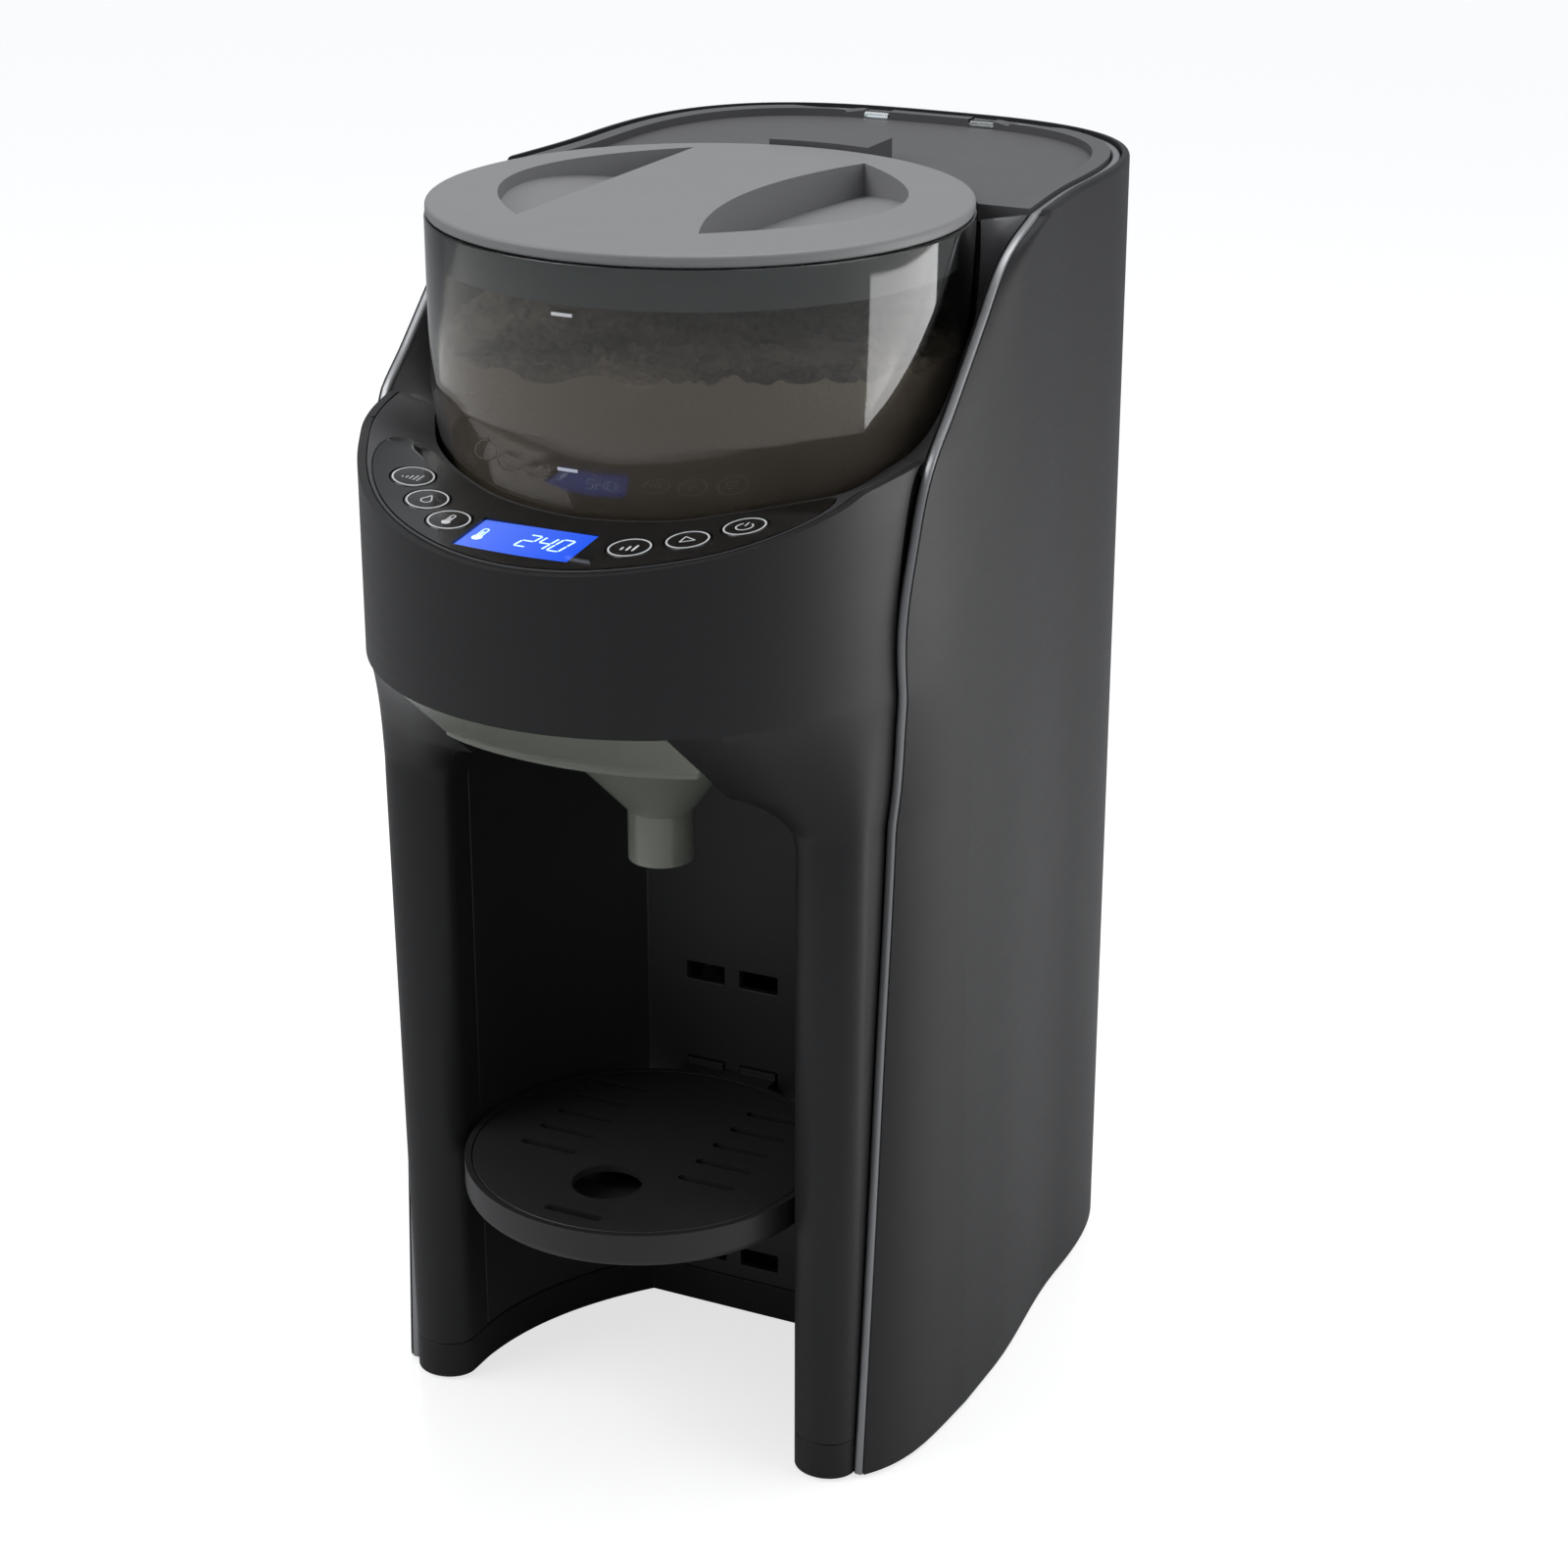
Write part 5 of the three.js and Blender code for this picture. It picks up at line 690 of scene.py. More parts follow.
def powder_finish():
    """Milk powder: beige grey along the wall; where it faces up, fine darker crumbs over a painted shade that
    keeps the top a little darker, as it lies under the closed lid.
    """
    material = finish("milk powder", shade(150, 142, 134), 0.95, 900, 0.9, 0.12, 0.0, 0.0)
    tree = material.node_tree
    shader = tree.nodes["Principled BSDF"]
    place = node(tree, "ShaderNodeTexCoord")
    crumbs = node(tree, "ShaderNodeTexNoise", Scale=430.0, Detail=6.0, Roughness=0.75)
    patches = node(tree, "ShaderNodeTexNoise", Scale=30.0, Detail=2.0, Roughness=0.5)
    both = node(tree, "ShaderNodeMath", {"operation": "MULTIPLY_ADD"})
    both.inputs[1].default_value = 0.5
    # Colours for the faces that look up. The crumb pattern is the powder's own; the top as a whole is kept a
    # little darker than the wall colour below, as painted shade under the closed lid.
    ramp = node(tree, "ShaderNodeValToRGB")
    ramp.color_ramp.elements[0].position, ramp.color_ramp.elements[0].color = 0.55, shade(66, 58, 52)
    ramp.color_ramp.elements[1].position, ramp.color_ramp.elements[1].color = 0.95, shade(178, 168, 158)
    wall = node(tree, "ShaderNodeMix", {"data_type": "RGBA"})
    wall.inputs[6].default_value = shade(146, 136, 127)
    # How far a face looks up sets its share of the painted top shade; faces along the container's wall keep
    # the plain powder colour.
    facing = node(tree, "ShaderNodeSeparateXYZ")
    above = node(tree, "ShaderNodeMapRange")
    above.inputs["From Min"].default_value, above.inputs["From Max"].default_value = 0.1, 0.5
    bump = node(tree, "ShaderNodeBump", Strength=0.8, Distance=0.0012)
    for texture in (crumbs, patches):
        link(tree, place.outputs["Object"], texture.inputs["Vector"])
    link(tree, crumbs.outputs[0], both.inputs[0])
    link(tree, patches.outputs[0], both.inputs[2])
    link(tree, both.outputs[0], ramp.inputs[0])
    link(tree, place.outputs["Normal"], facing.inputs[0])
    link(tree, facing.outputs["Z"], above.inputs[0])
    link(tree, above.outputs[0], wall.inputs[0])
    link(tree, ramp.outputs[0], wall.inputs[7])
    link(tree, wall.outputs[2], shader.inputs["Base Color"])
    link(tree, crumbs.outputs[0], bump.inputs["Height"])
    link(tree, bump.outputs[0], shader.inputs["Normal"])
    return material


screen_blue = screen_finish()
screen_digits = finish(
    "screen digits", shade(190, 225, 255), 0.3, 900, 0.01, 0.03, 0.0, 0.0,
    Emission_Color=shade(196, 228, 255), Emission_Strength=0.95,
)
milk_powder = powder_finish()

# ---------------------------------------------------------------- side panels and trim


def panel_surface(z, inset, bevel_steps=44, flank_steps=10, rear_steps=44):
    """Side panel in plan at each height: along the bevel the half width falls short of the
    flank by a power curve plus a straight share, then it follows the flank and the rear."""
    z, inset = z[:, None], inset[:, None]
    level = np.minimum(z, SEAM_TOP)
    start = seam_y(level)
    end = np.minimum(start + bevel_length(level), REAR_CENTRE)
    total = flank_half(start) - seam_half(level) - EDGE_OFFSET
    power = mix(BEVEL_POWER_FOOT, BEVEL_POWER_HEAD, np.clip(z / CHIN_BOTTOM, 0, 1))
    w = np.linspace(0, 1, bevel_steps + 1)[None] ** 1.6
    y = mix(start, end, w)
    drop = total * ((1 - CREASE) * (1 - w) ** power + CREASE * (1 - w))
    xs, ys = [flank_half(y) - inset - drop], [y]
    t = np.linspace(0, 1, flank_steps + 2)[None, 1:-1]
    y = mix(end, REAR_CENTRE, t)
    xs.append(flank_half(y) - inset)
    ys.append(y)
    a, b = REAR_HALF - inset, REAR_REACH - inset
    last = np.arccos(((COVER_HALF + GAP) / a) ** (REAR_POWER / 2))
    t = last * np.linspace(0, 1, rear_steps + 1)[None] ** 1.3
    xs.append(a * np.cos(t) ** (2 / REAR_POWER))
    ys.append(REAR_CENTRE + b * np.sin(t) ** (2 / REAR_POWER))
    x, y = np.concatenate(xs, 1), np.concatenate(ys, 1)
    return np.stack([x, y, np.broadcast_to(z, x.shape)], -1)


def top_rounding(steps=5):
    """Rows of the top edge: a quarter round, as heights and insets."""
    t = np.linspace(0, math.pi / 2, steps + 1)
    return mix(SEAM_TOP, BODY_TOP, np.sin(t)), EDGE_ROUNDING * (1 - np.cos(t))


def seam_levels(steps):
    """Heights of rows along the seam, closer together towards the top."""
    return mix(PANEL_FOOT, SEAM_TOP, 1 - (1 - np.linspace(0, 1, steps + 1)) ** 1.6)


def trim_form(grow=0.0, steps=110):
    """The strip: at each station a section with a crowned face, its width along the body's
    face and its depth square to it, first up the seam and then round the top edge."""
    z = seam_levels(steps)
    y = seam_y(z)
    dy, dz = np.gradient(y), np.gradient(z)
    length = np.hypot(dy, dz)
    x = seam_half(z) + GAP
    foot = np.where(np.arange(steps + 1) == 0, z - np.sign(grow) * 2, z)
    inner = [np.stack([x, y, foot], -1)]
    outer = [np.stack([x + TRIM_WIDTH, y, foot], -1)]
    up = [np.stack([0 * y, -dz / length, dy / length], -1)]
    inset = SEAM_INSET - GAP
    straight = mix(float(seam_y(SEAM_TOP)), REAR_CENTRE, np.linspace(0, 1, 12)[1:-1])
    level = np.full(len(straight), SEAM_TOP)
    inner.append(np.stack([flank_half(straight) - inset, straight, level], -1))
    outer.append(np.stack([flank_half(straight) - inset + TRIM_WIDTH, straight, level], -1))
    for rows, offset in ((inner, inset), (outer, inset - TRIM_WIDTH)):
        run = rear_run(offset, GAP / 2, 60)
        rows.append(np.c_[run, np.full(len(run), SEAM_TOP)])
    inner, outer = np.concatenate(inner), np.concatenate(outer)
    flat = np.tile([0.0, 0.0, 1.0], (len(inner) - steps - 1, 1))
    up = np.concatenate([*up, flat])
    width = outer - inner
    width /= np.linalg.norm(width, axis=1, keepdims=True)
    face = 2.0 if grow else 0.0
    s = np.linspace(-1, 1, 9)
    half = TRIM_WIDTH / 2 + grow
    across = np.r_[s * half, half, -half]
    height = np.r_[TRIM_CROWN * (1 - s**4) - 0.25 * (s**12) + face, -TRIM_DEPTH - grow, -TRIM_DEPTH - grow]
    middle = (inner + outer) / 2
    rings = middle[:, None] + width[:, None] * across[None, :, None] + up[:, None] * height[None, :, None]
    return Form(loft(rings))


def side_panel_form():
    """The panel's outer surface and the same surface moved in by the wall."""
    high, inset = top_rounding()
    z = np.r_[seam_levels(120)[:-1], high]
    inset = np.r_[np.zeros(120), inset]
    outer = panel_surface(z, inset)
    inner = panel_surface(z, np.full(len(z), PANEL_WALL))
    return Form(wall_between(outer, inner))


for side in ("right", "left"):
    turned = (lambda form: form) if side == "right" else (lambda form: form.mirrored())
    item = new_object(f"panel_{side}", turned(side_panel_form()))
    combine(item, turned(trim_form(GAP)))
    dress(item, panel_black, "housing", [f"side_panel_{side}"], 0.35)
    item = new_object(f"trim_{side}", turned(trim_form()))
    dress(item, smoked_silver, "housing", [f"trim_strip_{side}"], 0.12, 50)

# ---------------------------------------------------------------- front shell


def shell_surface(u, seam_z, inner_x, inner_z, rise):
    """Front shell: u runs from the seam (-1) over the flank (0) to the opening or the middle
    (1). Above the chin a point lies on the head's oval, on the legs on their round front, and
    along the chin it is a share of both; rise lifts it to the rim."""
    across = np.clip(u, 0, 1)
    z = mix(seam_z, inner_z, across)
    flank = u < 0
    flank_y = mix(LEG_CENTRE, seam_y(seam_z), np.clip(-u, 0, 1))
    angle = mix(math.acos((HEAD_Y - LEG_CENTRE) / HEAD_DEPTH), np.arcsin(inner_x / HEAD_HALF), across)
    head = (
        np.where(flank, head_x(flank_y), HEAD_HALF * np.sin(angle)),
        np.where(flank, flank_y, HEAD_Y - HEAD_DEPTH * np.cos(angle)),
    )
    middle, half, turn = (leg_x(z) + inner_x) / 2, (leg_x(z) - inner_x) / 2, math.pi * across
    leg = (
        np.where(flank, leg_x(z), middle + half * np.cos(turn)),
        np.where(flank, flank_y, LEG_CENTRE - LEG_ROUND * np.sin(turn)),
    )
    share = chin_share(z)
    x, y = mix(head[0], leg[0], share), mix(head[1], leg[1], share)
    return np.stack([x, y, mix(z, rim_height(y), rise)], -1)


NOTCH = LIP_HALF + GAP
CORNER_Z = BAY_TOP - BAY_CORNER


def shell_rows():
    """Rows of the shell: height at the seam, then x and z at the opening's edge or middle."""
    low = mix(SEAM_FOOT, CORNER_Z, np.linspace(0, 1, 30))
    rows = [np.stack([low, np.full(30, BAY_HALF), low], -1)]
    t = np.linspace(0, 1, 15)[1:]
    from_z = mix(BAY_TOP, HEAD_BOTTOM, 0.25)
    turn = t * math.pi / 2
    arch = NOTCH + (BAY_HALF - NOTCH) * np.cos(turn)
    rows.append(np.stack([mix(CORNER_Z, from_z, t), arch, CORNER_Z + BAY_CORNER * np.sin(turn)], -1))
    t = np.linspace(0, 1, 9)[1:]
    rows.append(np.stack([mix(from_z, HEAD_BOTTOM, t), 0 * t + NOTCH, mix(BAY_TOP, HEAD_BOTTOM, t)], -1))
    t = np.linspace(0, 1, 25)[1:]
    high = mix(HEAD_BOTTOM, RIM_SIDE, 0.35)
    rows.append(np.stack([mix(HEAD_BOTTOM, high, t), NOTCH * (1 - t), 0 * t + HEAD_BOTTOM], -1))
    return np.concatenate(rows), 30 + 14


def moved_in(grid, distance, middle_rows):
    """Each point of a grid moved back along the surface's normal, found from its neighbours."""
    along = np.gradient(grid, axis=0)
    across = np.gradient(grid, axis=1)
    normal = np.cross(along, across)
    normal[middle_rows:, -1, 0] = 0
    normal /= np.linalg.norm(normal, axis=-1, keepdims=True)
    normal[0], normal[-4:] = normal[1], normal[-5]
    return grid - normal * distance


def front_shell():
    rows, arch_rows = shell_rows()
    u = np.r_[np.linspace(-1, 0, 9)[:-1], np.linspace(0, 1, 61)]
    grid = shell_surface(u[None], rows[:, :1], rows[:, 1:2], rows[:, 2:], 0.0)
    t = np.linspace(0, 1, 25)[1:, None]
    top = rows[-1]
    rise = shell_surface(u[None], mix(top[0], RIM_SIDE, t), top[1], top[2], t)
    outer = np.concatenate([grid, rise])
    middle_row = len(rows) - 1
    inner = moved_in(outer, SHELL_WALL, middle_row)
    half = Form(wall_between(outer, inner, middle_row))
    item = new_object("shell", half.joined(half.mirrored()))
    edge = outer[: arch_rows, -1]
    along = np.gradient(edge[:, [0, 2]], axis=0)
    along /= np.linalg.norm(along, axis=1, keepdims=True)
    out = SHELL_WALL * np.stack([along[:, 1], 0 * along[:, 0], -along[:, 0]], -1)
    out[0, 2] = 0
    front, back = edge - [0, 0.4, 0], edge.copy()
    back[:, 1] = SHELL_BACK
    side = Form(wall_between(np.stack([front, back], 1), np.stack([front + out, back + out], 1)))
    combine(item, side, "UNION")
    combine(item, side.mirrored(), "UNION")
    combine(item, Form(block((-NOTCH - 0.02, FRONT - 2, CEILING - 2),
                             (NOTCH + 0.02, SHELL_BACK + 2, HEAD_BOTTOM + 0.02))))
    return item


def seam_lip():
    """The shell's lip behind the strip, about half as thick as the wall: it closes the seam to
    light. Two faces that follow the seam, joined round their edges."""
    z = mix(SEAM_FOOT, RIM_SIDE - 1, np.linspace(0, 1, 90))
    x, y = seam_half(z) - SHELL_WALL, seam_y(z)
    faces = [np.stack([np.stack([x + out, y + run, z], -1) for run in (-0.5, TRIM_DEPTH + 3)], 1)
             for out in (SEAM_LIP, 0.05)]
    form = Form(wall_between(*faces))
    return new_object("lip", form.joined(form.mirrored()))


dress(front_shell(), shell_black, "housing", ["front_shell"], 0.45, 38)
dress(seam_lip(), shell_black, "housing")

# ---------------------------------------------------------------- rear cover, base and bay


def rear_arc(inset, steps=80):
    """Plan of the rear between the side panels: the superellipse near the middle."""
    a, b = REAR_HALF - inset, REAR_REACH - inset
    x = np.linspace(COVER_HALF, -COVER_HALF, steps + 1)
    y = REAR_CENTRE + b * (1 - np.abs(x / a) ** REAR_POWER) ** (1 / REAR_POWER)
    return np.stack([x, y], -1)


def rear_cover():
    high, inset = top_rounding()
    rows = [(SEAM_FOOT, 0.0), *zip(high, inset)]
    grids = []
    for own in (False, True):
        arcs = [np.c_[rear_arc(PANEL_WALL if own else inward), np.full(81, z)] for z, inward in rows]
        grids.append(np.stack(arcs))
    item = new_object("cover_rear", Form(wall_between(*grids)))
    cuts = Form()
    for k in range(VENT_COUNT):
        z = VENT_LOW + VENT_PITCH * k
        t = np.linspace(0, math.pi, 7)
        middle = z + VENT_RADIUS
        right = np.stack([VENT_HALF + VENT_RADIUS * np.sin(t), middle - VENT_RADIUS * np.cos(t)], -1)
        outline = np.concatenate([right, -right + [0, 2 * middle]])
        points, faces = slab(outline, REAR_CENTRE, REAR + 2)
        cuts.add(points[:, [0, 2, 1]], faces)
    cuts.add(*block((-INLET_HALF, REAR_CENTRE, INLET_LOW), (INLET_HALF, REAR + 2, INLET_HIGH)))
    combine(item, cuts)
    return item


dress(rear_cover(), panel_black, "housing", ["rear_cover"], 0.35)


def bay_curve(out, steps=48):
    """The bay's wall in plan: a parabola between three points, moved out square to itself."""
    a = np.array([BAY_HALF, SHELL_BACK + GAP])
    b = np.array([BAY_HALF - BAY_PULL, mix(SHELL_BACK, BAY_BACK, 0.53)])
    c = np.array([BAY_BACK_HALF, BAY_BACK])
    t = np.linspace(0, 1, steps + 1)[:, None]
    point = (1 - t) ** 2 * a + 2 * t * (1 - t) * b + t**2 * c
    along = 2 * (1 - t) * (b - a) + 2 * t * (c - b)
    along /= np.linalg.norm(along, axis=1, keepdims=True)
    return point + out * np.stack([along[:, 1], -along[:, 0]], -1)


def bay_liner():
    inside, outside = bay_curve(0), bay_curve(LINER_WALL)
    outside[0, 1] = inside[0, 1]
    outside[-1] = (BAY_BACK_HALF, BAY_BACK + LINER_WALL)
    flip = np.array([-1, 1])
    outline = np.concatenate([inside, inside[::-1] * flip, outside * flip, outside[::-1]])
    item = new_object("liner", Form(slab(outline, SEAM_FOOT, CEILING - GAP)))
    slots = Form()
    for z in HOOK_LEVELS:
        for side in (-1, 1):
            x, half = side * HOOK_SPACING / 2, HOOK_WIDTH / 2 + GAP
            slots.add(*block((x - half, BAY_BACK - 2, z - GAP),
                             (x + half, BAY_BACK + LINER_WALL + 2, z + HOOK_HEIGHT + GAP)))
    combine(item, slots)
    return item


dress(bay_liner(), bay_black, "housing", ["bay_liner"], 0.4)


def base_outline():
    """Plan of the base: rear and side inside the panels, round behind the strip, then leg and
    bay on one side, and the same mirrored."""
    leg = shell_surface(np.linspace(0, 1, 33), SEAM_FOOT, BAY_HALF, SEAM_FOOT, 0.0)[:, :2]
    inset = PANEL_WALL + GAP
    behind = float(seam_y(SEAM_FOOT)) + TRIM_DEPTH + 2 * GAP
    side = panel_surface(np.array([SEAM_FOOT]), np.full(1, inset))[0, ::-1, :2]
    side = side[side[:, 1] > behind + GAP]
    back = rear_arc(inset, 30)[:16][::-1]
    corner = [(float(seam_half(PANEL_FOOT)), behind)]
    half = np.concatenate([back[:-1], side, corner, leg, bay_curve(0)])
    return np.concatenate([half, half[1:][::-1] * [-1, 1]])


dress(new_object("base", Form(slab(base_outline(), GROUND, BASE_HEIGHT))), panel_black,
      "housing", ["base_frame"], 0.5)

# ---------------------------------------------------------------- deck and control panel

can_radius_at = curve_through(
    CAN_FLOOR + 44 * np.array((0, 0.2, 0.5, 1)),
    mix(CAN_FOOT, CAN_RADIUS, np.array((0, 0.286, 0.75, 1))),
)
deck_height = curve_through(DECK_ANGLES, DECK_FRONT + DECK_RISE * np.array(DECK_RISES))
RIM_INSET = SHELL_WALL + GAP


def deck_stations(front_steps=60, side_steps=50):
    """Outer and inner edge points of the deck: outer along the rim and the seam, inner on the
    round hole at the same turn about the container, at the deck's own height."""
    last = math.acos((HEAD_Y - rim_side_y - GAP) / (HEAD_DEPTH - RIM_INSET))
    angle = np.linspace(0, last, front_steps + 1)
    y = HEAD_Y - (HEAD_DEPTH - RIM_INSET) * np.cos(angle)
    rim = np.stack([(HEAD_HALF - RIM_INSET) * np.sin(angle), y, rim_height(y) - GAP], -1)
    z = mix(RIM_SIDE + GAP, SEAM_TOP, 1 - (1 - np.linspace(0, 1, side_steps + 1)) ** 1.6)
    outer = np.concatenate([rim, np.stack([seam_half(z) - GAP, seam_y(z), z], -1)])
    turn = np.arctan2(outer[:, 0], AXIS - outer[:, 1])
    level = deck_height(np.degrees(turn))
    radius = can_radius_at(level) + DECK_CLEARANCE
    inner = np.stack([radius * np.sin(turn), AXIS - radius * np.cos(turn), level], -1)
    return turn, outer, inner


turns, deck_outer, deck_inner = deck_stations()
_, first = np.unique(np.degrees(turns), return_index=True)
outer_at = [curve_through(np.degrees(turns)[first], deck_outer[first, k]) for k in range(3)]
inner_at = [curve_through(np.degrees(turns)[first], deck_inner[first, k]) for k in range(3)]


def deck_point(angle, share):
    """Point of the deck by degrees round the container and share from its hole to its rim."""
    angle, share = np.broadcast_arrays(np.asarray(angle, float), np.asarray(share, float))
    t = np.abs(angle)
    x, y, z = (mix(inner_at[k](t), outer_at[k](t), share) for k in range(3))
    return np.stack([np.where(angle < 0, -x, x), y, z], -1)


def deck_normal(angle, share):
    """Direction square to the deck: across it, crossed with along it."""
    along = deck_point(angle + 1.0, share) - deck_point(angle - 1.0, share)
    across = deck_point(angle, 1.0) - deck_point(angle, 0.0)
    normal = np.cross(across, along)
    return normal / np.linalg.norm(normal, axis=-1, keepdims=True)


def crescent(grow, lift, drop, rows=140, columns=12):
    """The control panel's outline on the deck, its width closing in a high power of the angle
    towards both ends, between two heights along the deck's normal."""
    reach = PANEL_END + math.degrees(grow / CAN_RADIUS)
    angle = np.linspace(-1, 1, rows + 1)
    angle = reach * np.sin(angle * math.pi / 2)
    width = np.linalg.norm(deck_point(angle, 1.0) - deck_point(angle, 0.0), axis=-1)
    room = 1 - np.abs(angle / reach) ** PANEL_END_POWER
    half = np.maximum((width / 2 - PANEL_INSET + grow) * np.sqrt(np.maximum(room, 0)), PANEL_INSET + grow)
    s = np.linspace(0, 1, columns + 1)[None]
    share = mix((0.5 - half / width)[:, None], (0.5 + half / width)[:, None], s)
    place = deck_point(angle[:, None], share)
    normal = deck_normal(angle, np.full(len(angle), 0.5))[:, None]
    return wall_between(place + normal * lift, place + normal * drop)


button_places = {
    name: (deck_point(angle, share), deck_normal(float(angle), share))
    for name, (angle, share) in BUTTONS.items()
}
display_y = FRONT + DISPLAY_SETBACK
display_angle = math.degrees(math.atan2(DISPLAY_SHIFT, AXIS - display_y))
edge_in, edge_out = deck_point(display_angle, 0.0)[1], deck_point(display_angle, 1.0)[1]
display_share = (display_y - edge_in) / (edge_out - edge_in)
display_place = deck_point(display_angle, display_share)
display_normal = deck_normal(0.0, display_share)


def display_block(grow, low, high):
    """The display's box, lying flat in the panel."""
    w, d = DISPLAY_WIDTH / 2 + grow, DISPLAY_DEPTH / 2 + grow
    return stood_on(block((-w, -d, low), (w, d, high)), display_place, display_normal)


def wells(radius):
    """Round wells for the buttons, along each button's own axis."""
    form = Form()
    for place, normal in button_places.values():
        form.add(*stood_on(disc(radius, -BUTTON_LENGTH, 4), place, normal))
    return form


def deck():
    s = np.linspace(0, 1, 13)[None, :, None]
    right = mix(deck_inner[:, None], deck_outer[:, None], s)
    whole = np.concatenate([right[1:][::-1] * [-1, 1, 1], right])
    low = whole - [0, 0, DECK_THICKNESS]
    item = new_object("deck", Form(wall_between(whole, low)))
    combine(item, Form(crescent(GAP, 2, -PANEL_THICKNESS - GAP)))
    combine(item, wells(BUTTON_RADIUS + GAP))
    combine(item, Form(display_block(GAP, -2 * DISPLAY_THICKNESS, 2)))
    return item


def control_panel():
    item = new_object("control", Form(crescent(0, PANEL_PROUD, -PANEL_THICKNESS)))
    combine(item, wells(BUTTON_RADIUS + GAP))
    combine(item, Form(display_block(GAP, -2 - PANEL_THICKNESS, 2)))
    return item


dress(deck(), deck_black, "housing", ["top_deck"], 0.3, 40)
dress(control_panel(), gloss_black, "housing", ["control_panel"], 0.12, 40)

# Marks on the buttons and the display, as strokes on a flat face: x to the right, y to the rear
MARK = 0.34
MARK_HIGH = 0.06


def arc_line(radius, start, end, steps=24, x=0.0, y=0.0):
    """Points of an arc between two angles in degrees."""
    t = np.radians(np.linspace(start, end, steps))
    return np.stack([x + radius * np.cos(t), y + radius * np.sin(t)], -1)


def rounded_stroke(points, width, low, high):
    """A stroke with round ends."""
    ends = [disc(width / 2, low, high, *point, 12) for point in (points[0], points[-1])]
    return [ribbon(points, width, low, high), *ends]


def mark_powder(low, high):
    """Dots in columns that grow to the right."""
    dots = []
    for column in range(5):
        for row in range(column + 1):
            dots.append(disc(0.28, low, high, -2.4 + 1.15 * column, -1.6 + 0.8 * row, 12))
    return dots


def mark_water(low, high):
    """A drop: a circle drawn out to a point."""
    t = np.linspace(0, TURN, 40, endpoint=False)
    pull = np.clip(np.sin(t), 0, 1) ** 3
    line = np.stack([1.45 * np.cos(t) * (1 - 0.6 * pull), -0.6 + 1.45 * np.sin(t) + 1.5 * pull], -1)
    return [ribbon(line, MARK, low, high, True)]


def mark_temperature(low, high):
    """A thermometer: an outlined tube over a filled bulb."""
    tube = np.concatenate([[(0.62, -0.9)], arc_line(0.62, 0, 180, 12, 0, 2.3), [(-0.62, -0.9)]])
    return [disc(1.25, low, high, 0, -1.6, 24), *rounded_stroke(tube, MARK, low, high),
            ribbon([(0, -1.2), (0, 1.2)], 0.45, low, high)]


def mark_volume(low, high):
    """Three bars of growing length."""
    bars = [(-1.7, 1.2), (0, 2.2), (1.7, 3.2)]
    lines = [[(x, -1.7), (x, -1.7 + size)] for x, size in bars]
    return [part for line in lines for part in rounded_stroke(line, 0.7, low, high)]


def mark_start(low, high):
    """A triangle that points to the right."""
    return [ribbon(round_corners([(-1.5, -1.9), (2.2, 0), (-1.5, 1.9)], 0.3, 3, True), MARK, low, high, True)]


def mark_power(low, high):
    """A ring open at the top, with a bar in the opening."""
    return [*rounded_stroke(arc_line(2.3, 125, 415, 40, 0, -0.2), MARK * 1.2, low, high),
            *rounded_stroke([(0, 0.3), (0, 2.5)], MARK * 1.2, low, high)]


marks = {
    "powder": mark_powder, "water": mark_water, "temperature": mark_temperature,
    "volume": mark_volume, "start": mark_start, "power": mark_power,
}


def button(name):
    """A short round bar with a soft edge, its ring and its mark standing just above the face."""
    place, normal = button_places[name]
    foot, face = -BUTTON_LENGTH, BUTTON_PROUD
    profile = round_corners([(0, foot), (BUTTON_RADIUS, foot), (BUTTON_RADIUS, face), (0, face)], 0.5)
    low, high = BUTTON_PROUD - 0.02, BUTTON_PROUD + MARK_HIGH
    prints = [lathe([(5.35, low), (5.8, low), (5.8, high), (5.35, high)], 0, 0, 72), *marks[name](low, high)]
    form = Form()
    form.add(*stood_on(lathe(profile, 0, 0, 72), place, normal))
    for part in prints:
        form.add(*stood_on(part, place, normal), paint=1)
    return new_object(f"key_{name}", form)


for name in BUTTONS:
    dress(button(name), [gloss_black, print_white], f"button_{name}", [f"button_{name}"], 0, 40)

SEGMENTS = {
    "a": ((0, 1), (1, 1)), "b": ((1, 1), (1, 0.5)), "c": ((1, 0.5), (1, 0)), "d": ((0, 0), (1, 0)),
    "e": ((0, 0.5), (0, 0)), "f": ((0, 1), (0, 0.5)), "g": ((0, 0.5), (1, 0.5)),
}
DIGITS = {"2": "abged", "4": "fgbc", "0": "abcdef"}


def digit(symbol, x, y, width, height, low, high):
    """Seven-segment figure, leaning a little to the right."""
    parts = []
    for letter in DIGITS[symbol]:
        ends = np.array(SEGMENTS[letter])
        inner = mix(ends.mean(0), ends, 0.86)
        line = np.stack([x + inner[:, 0] * width + 0.18 * inner[:, 1] * height, y + inner[:, 1] * height], -1)
        parts.append(ribbon(line, 0.55, low, high))
    return parts


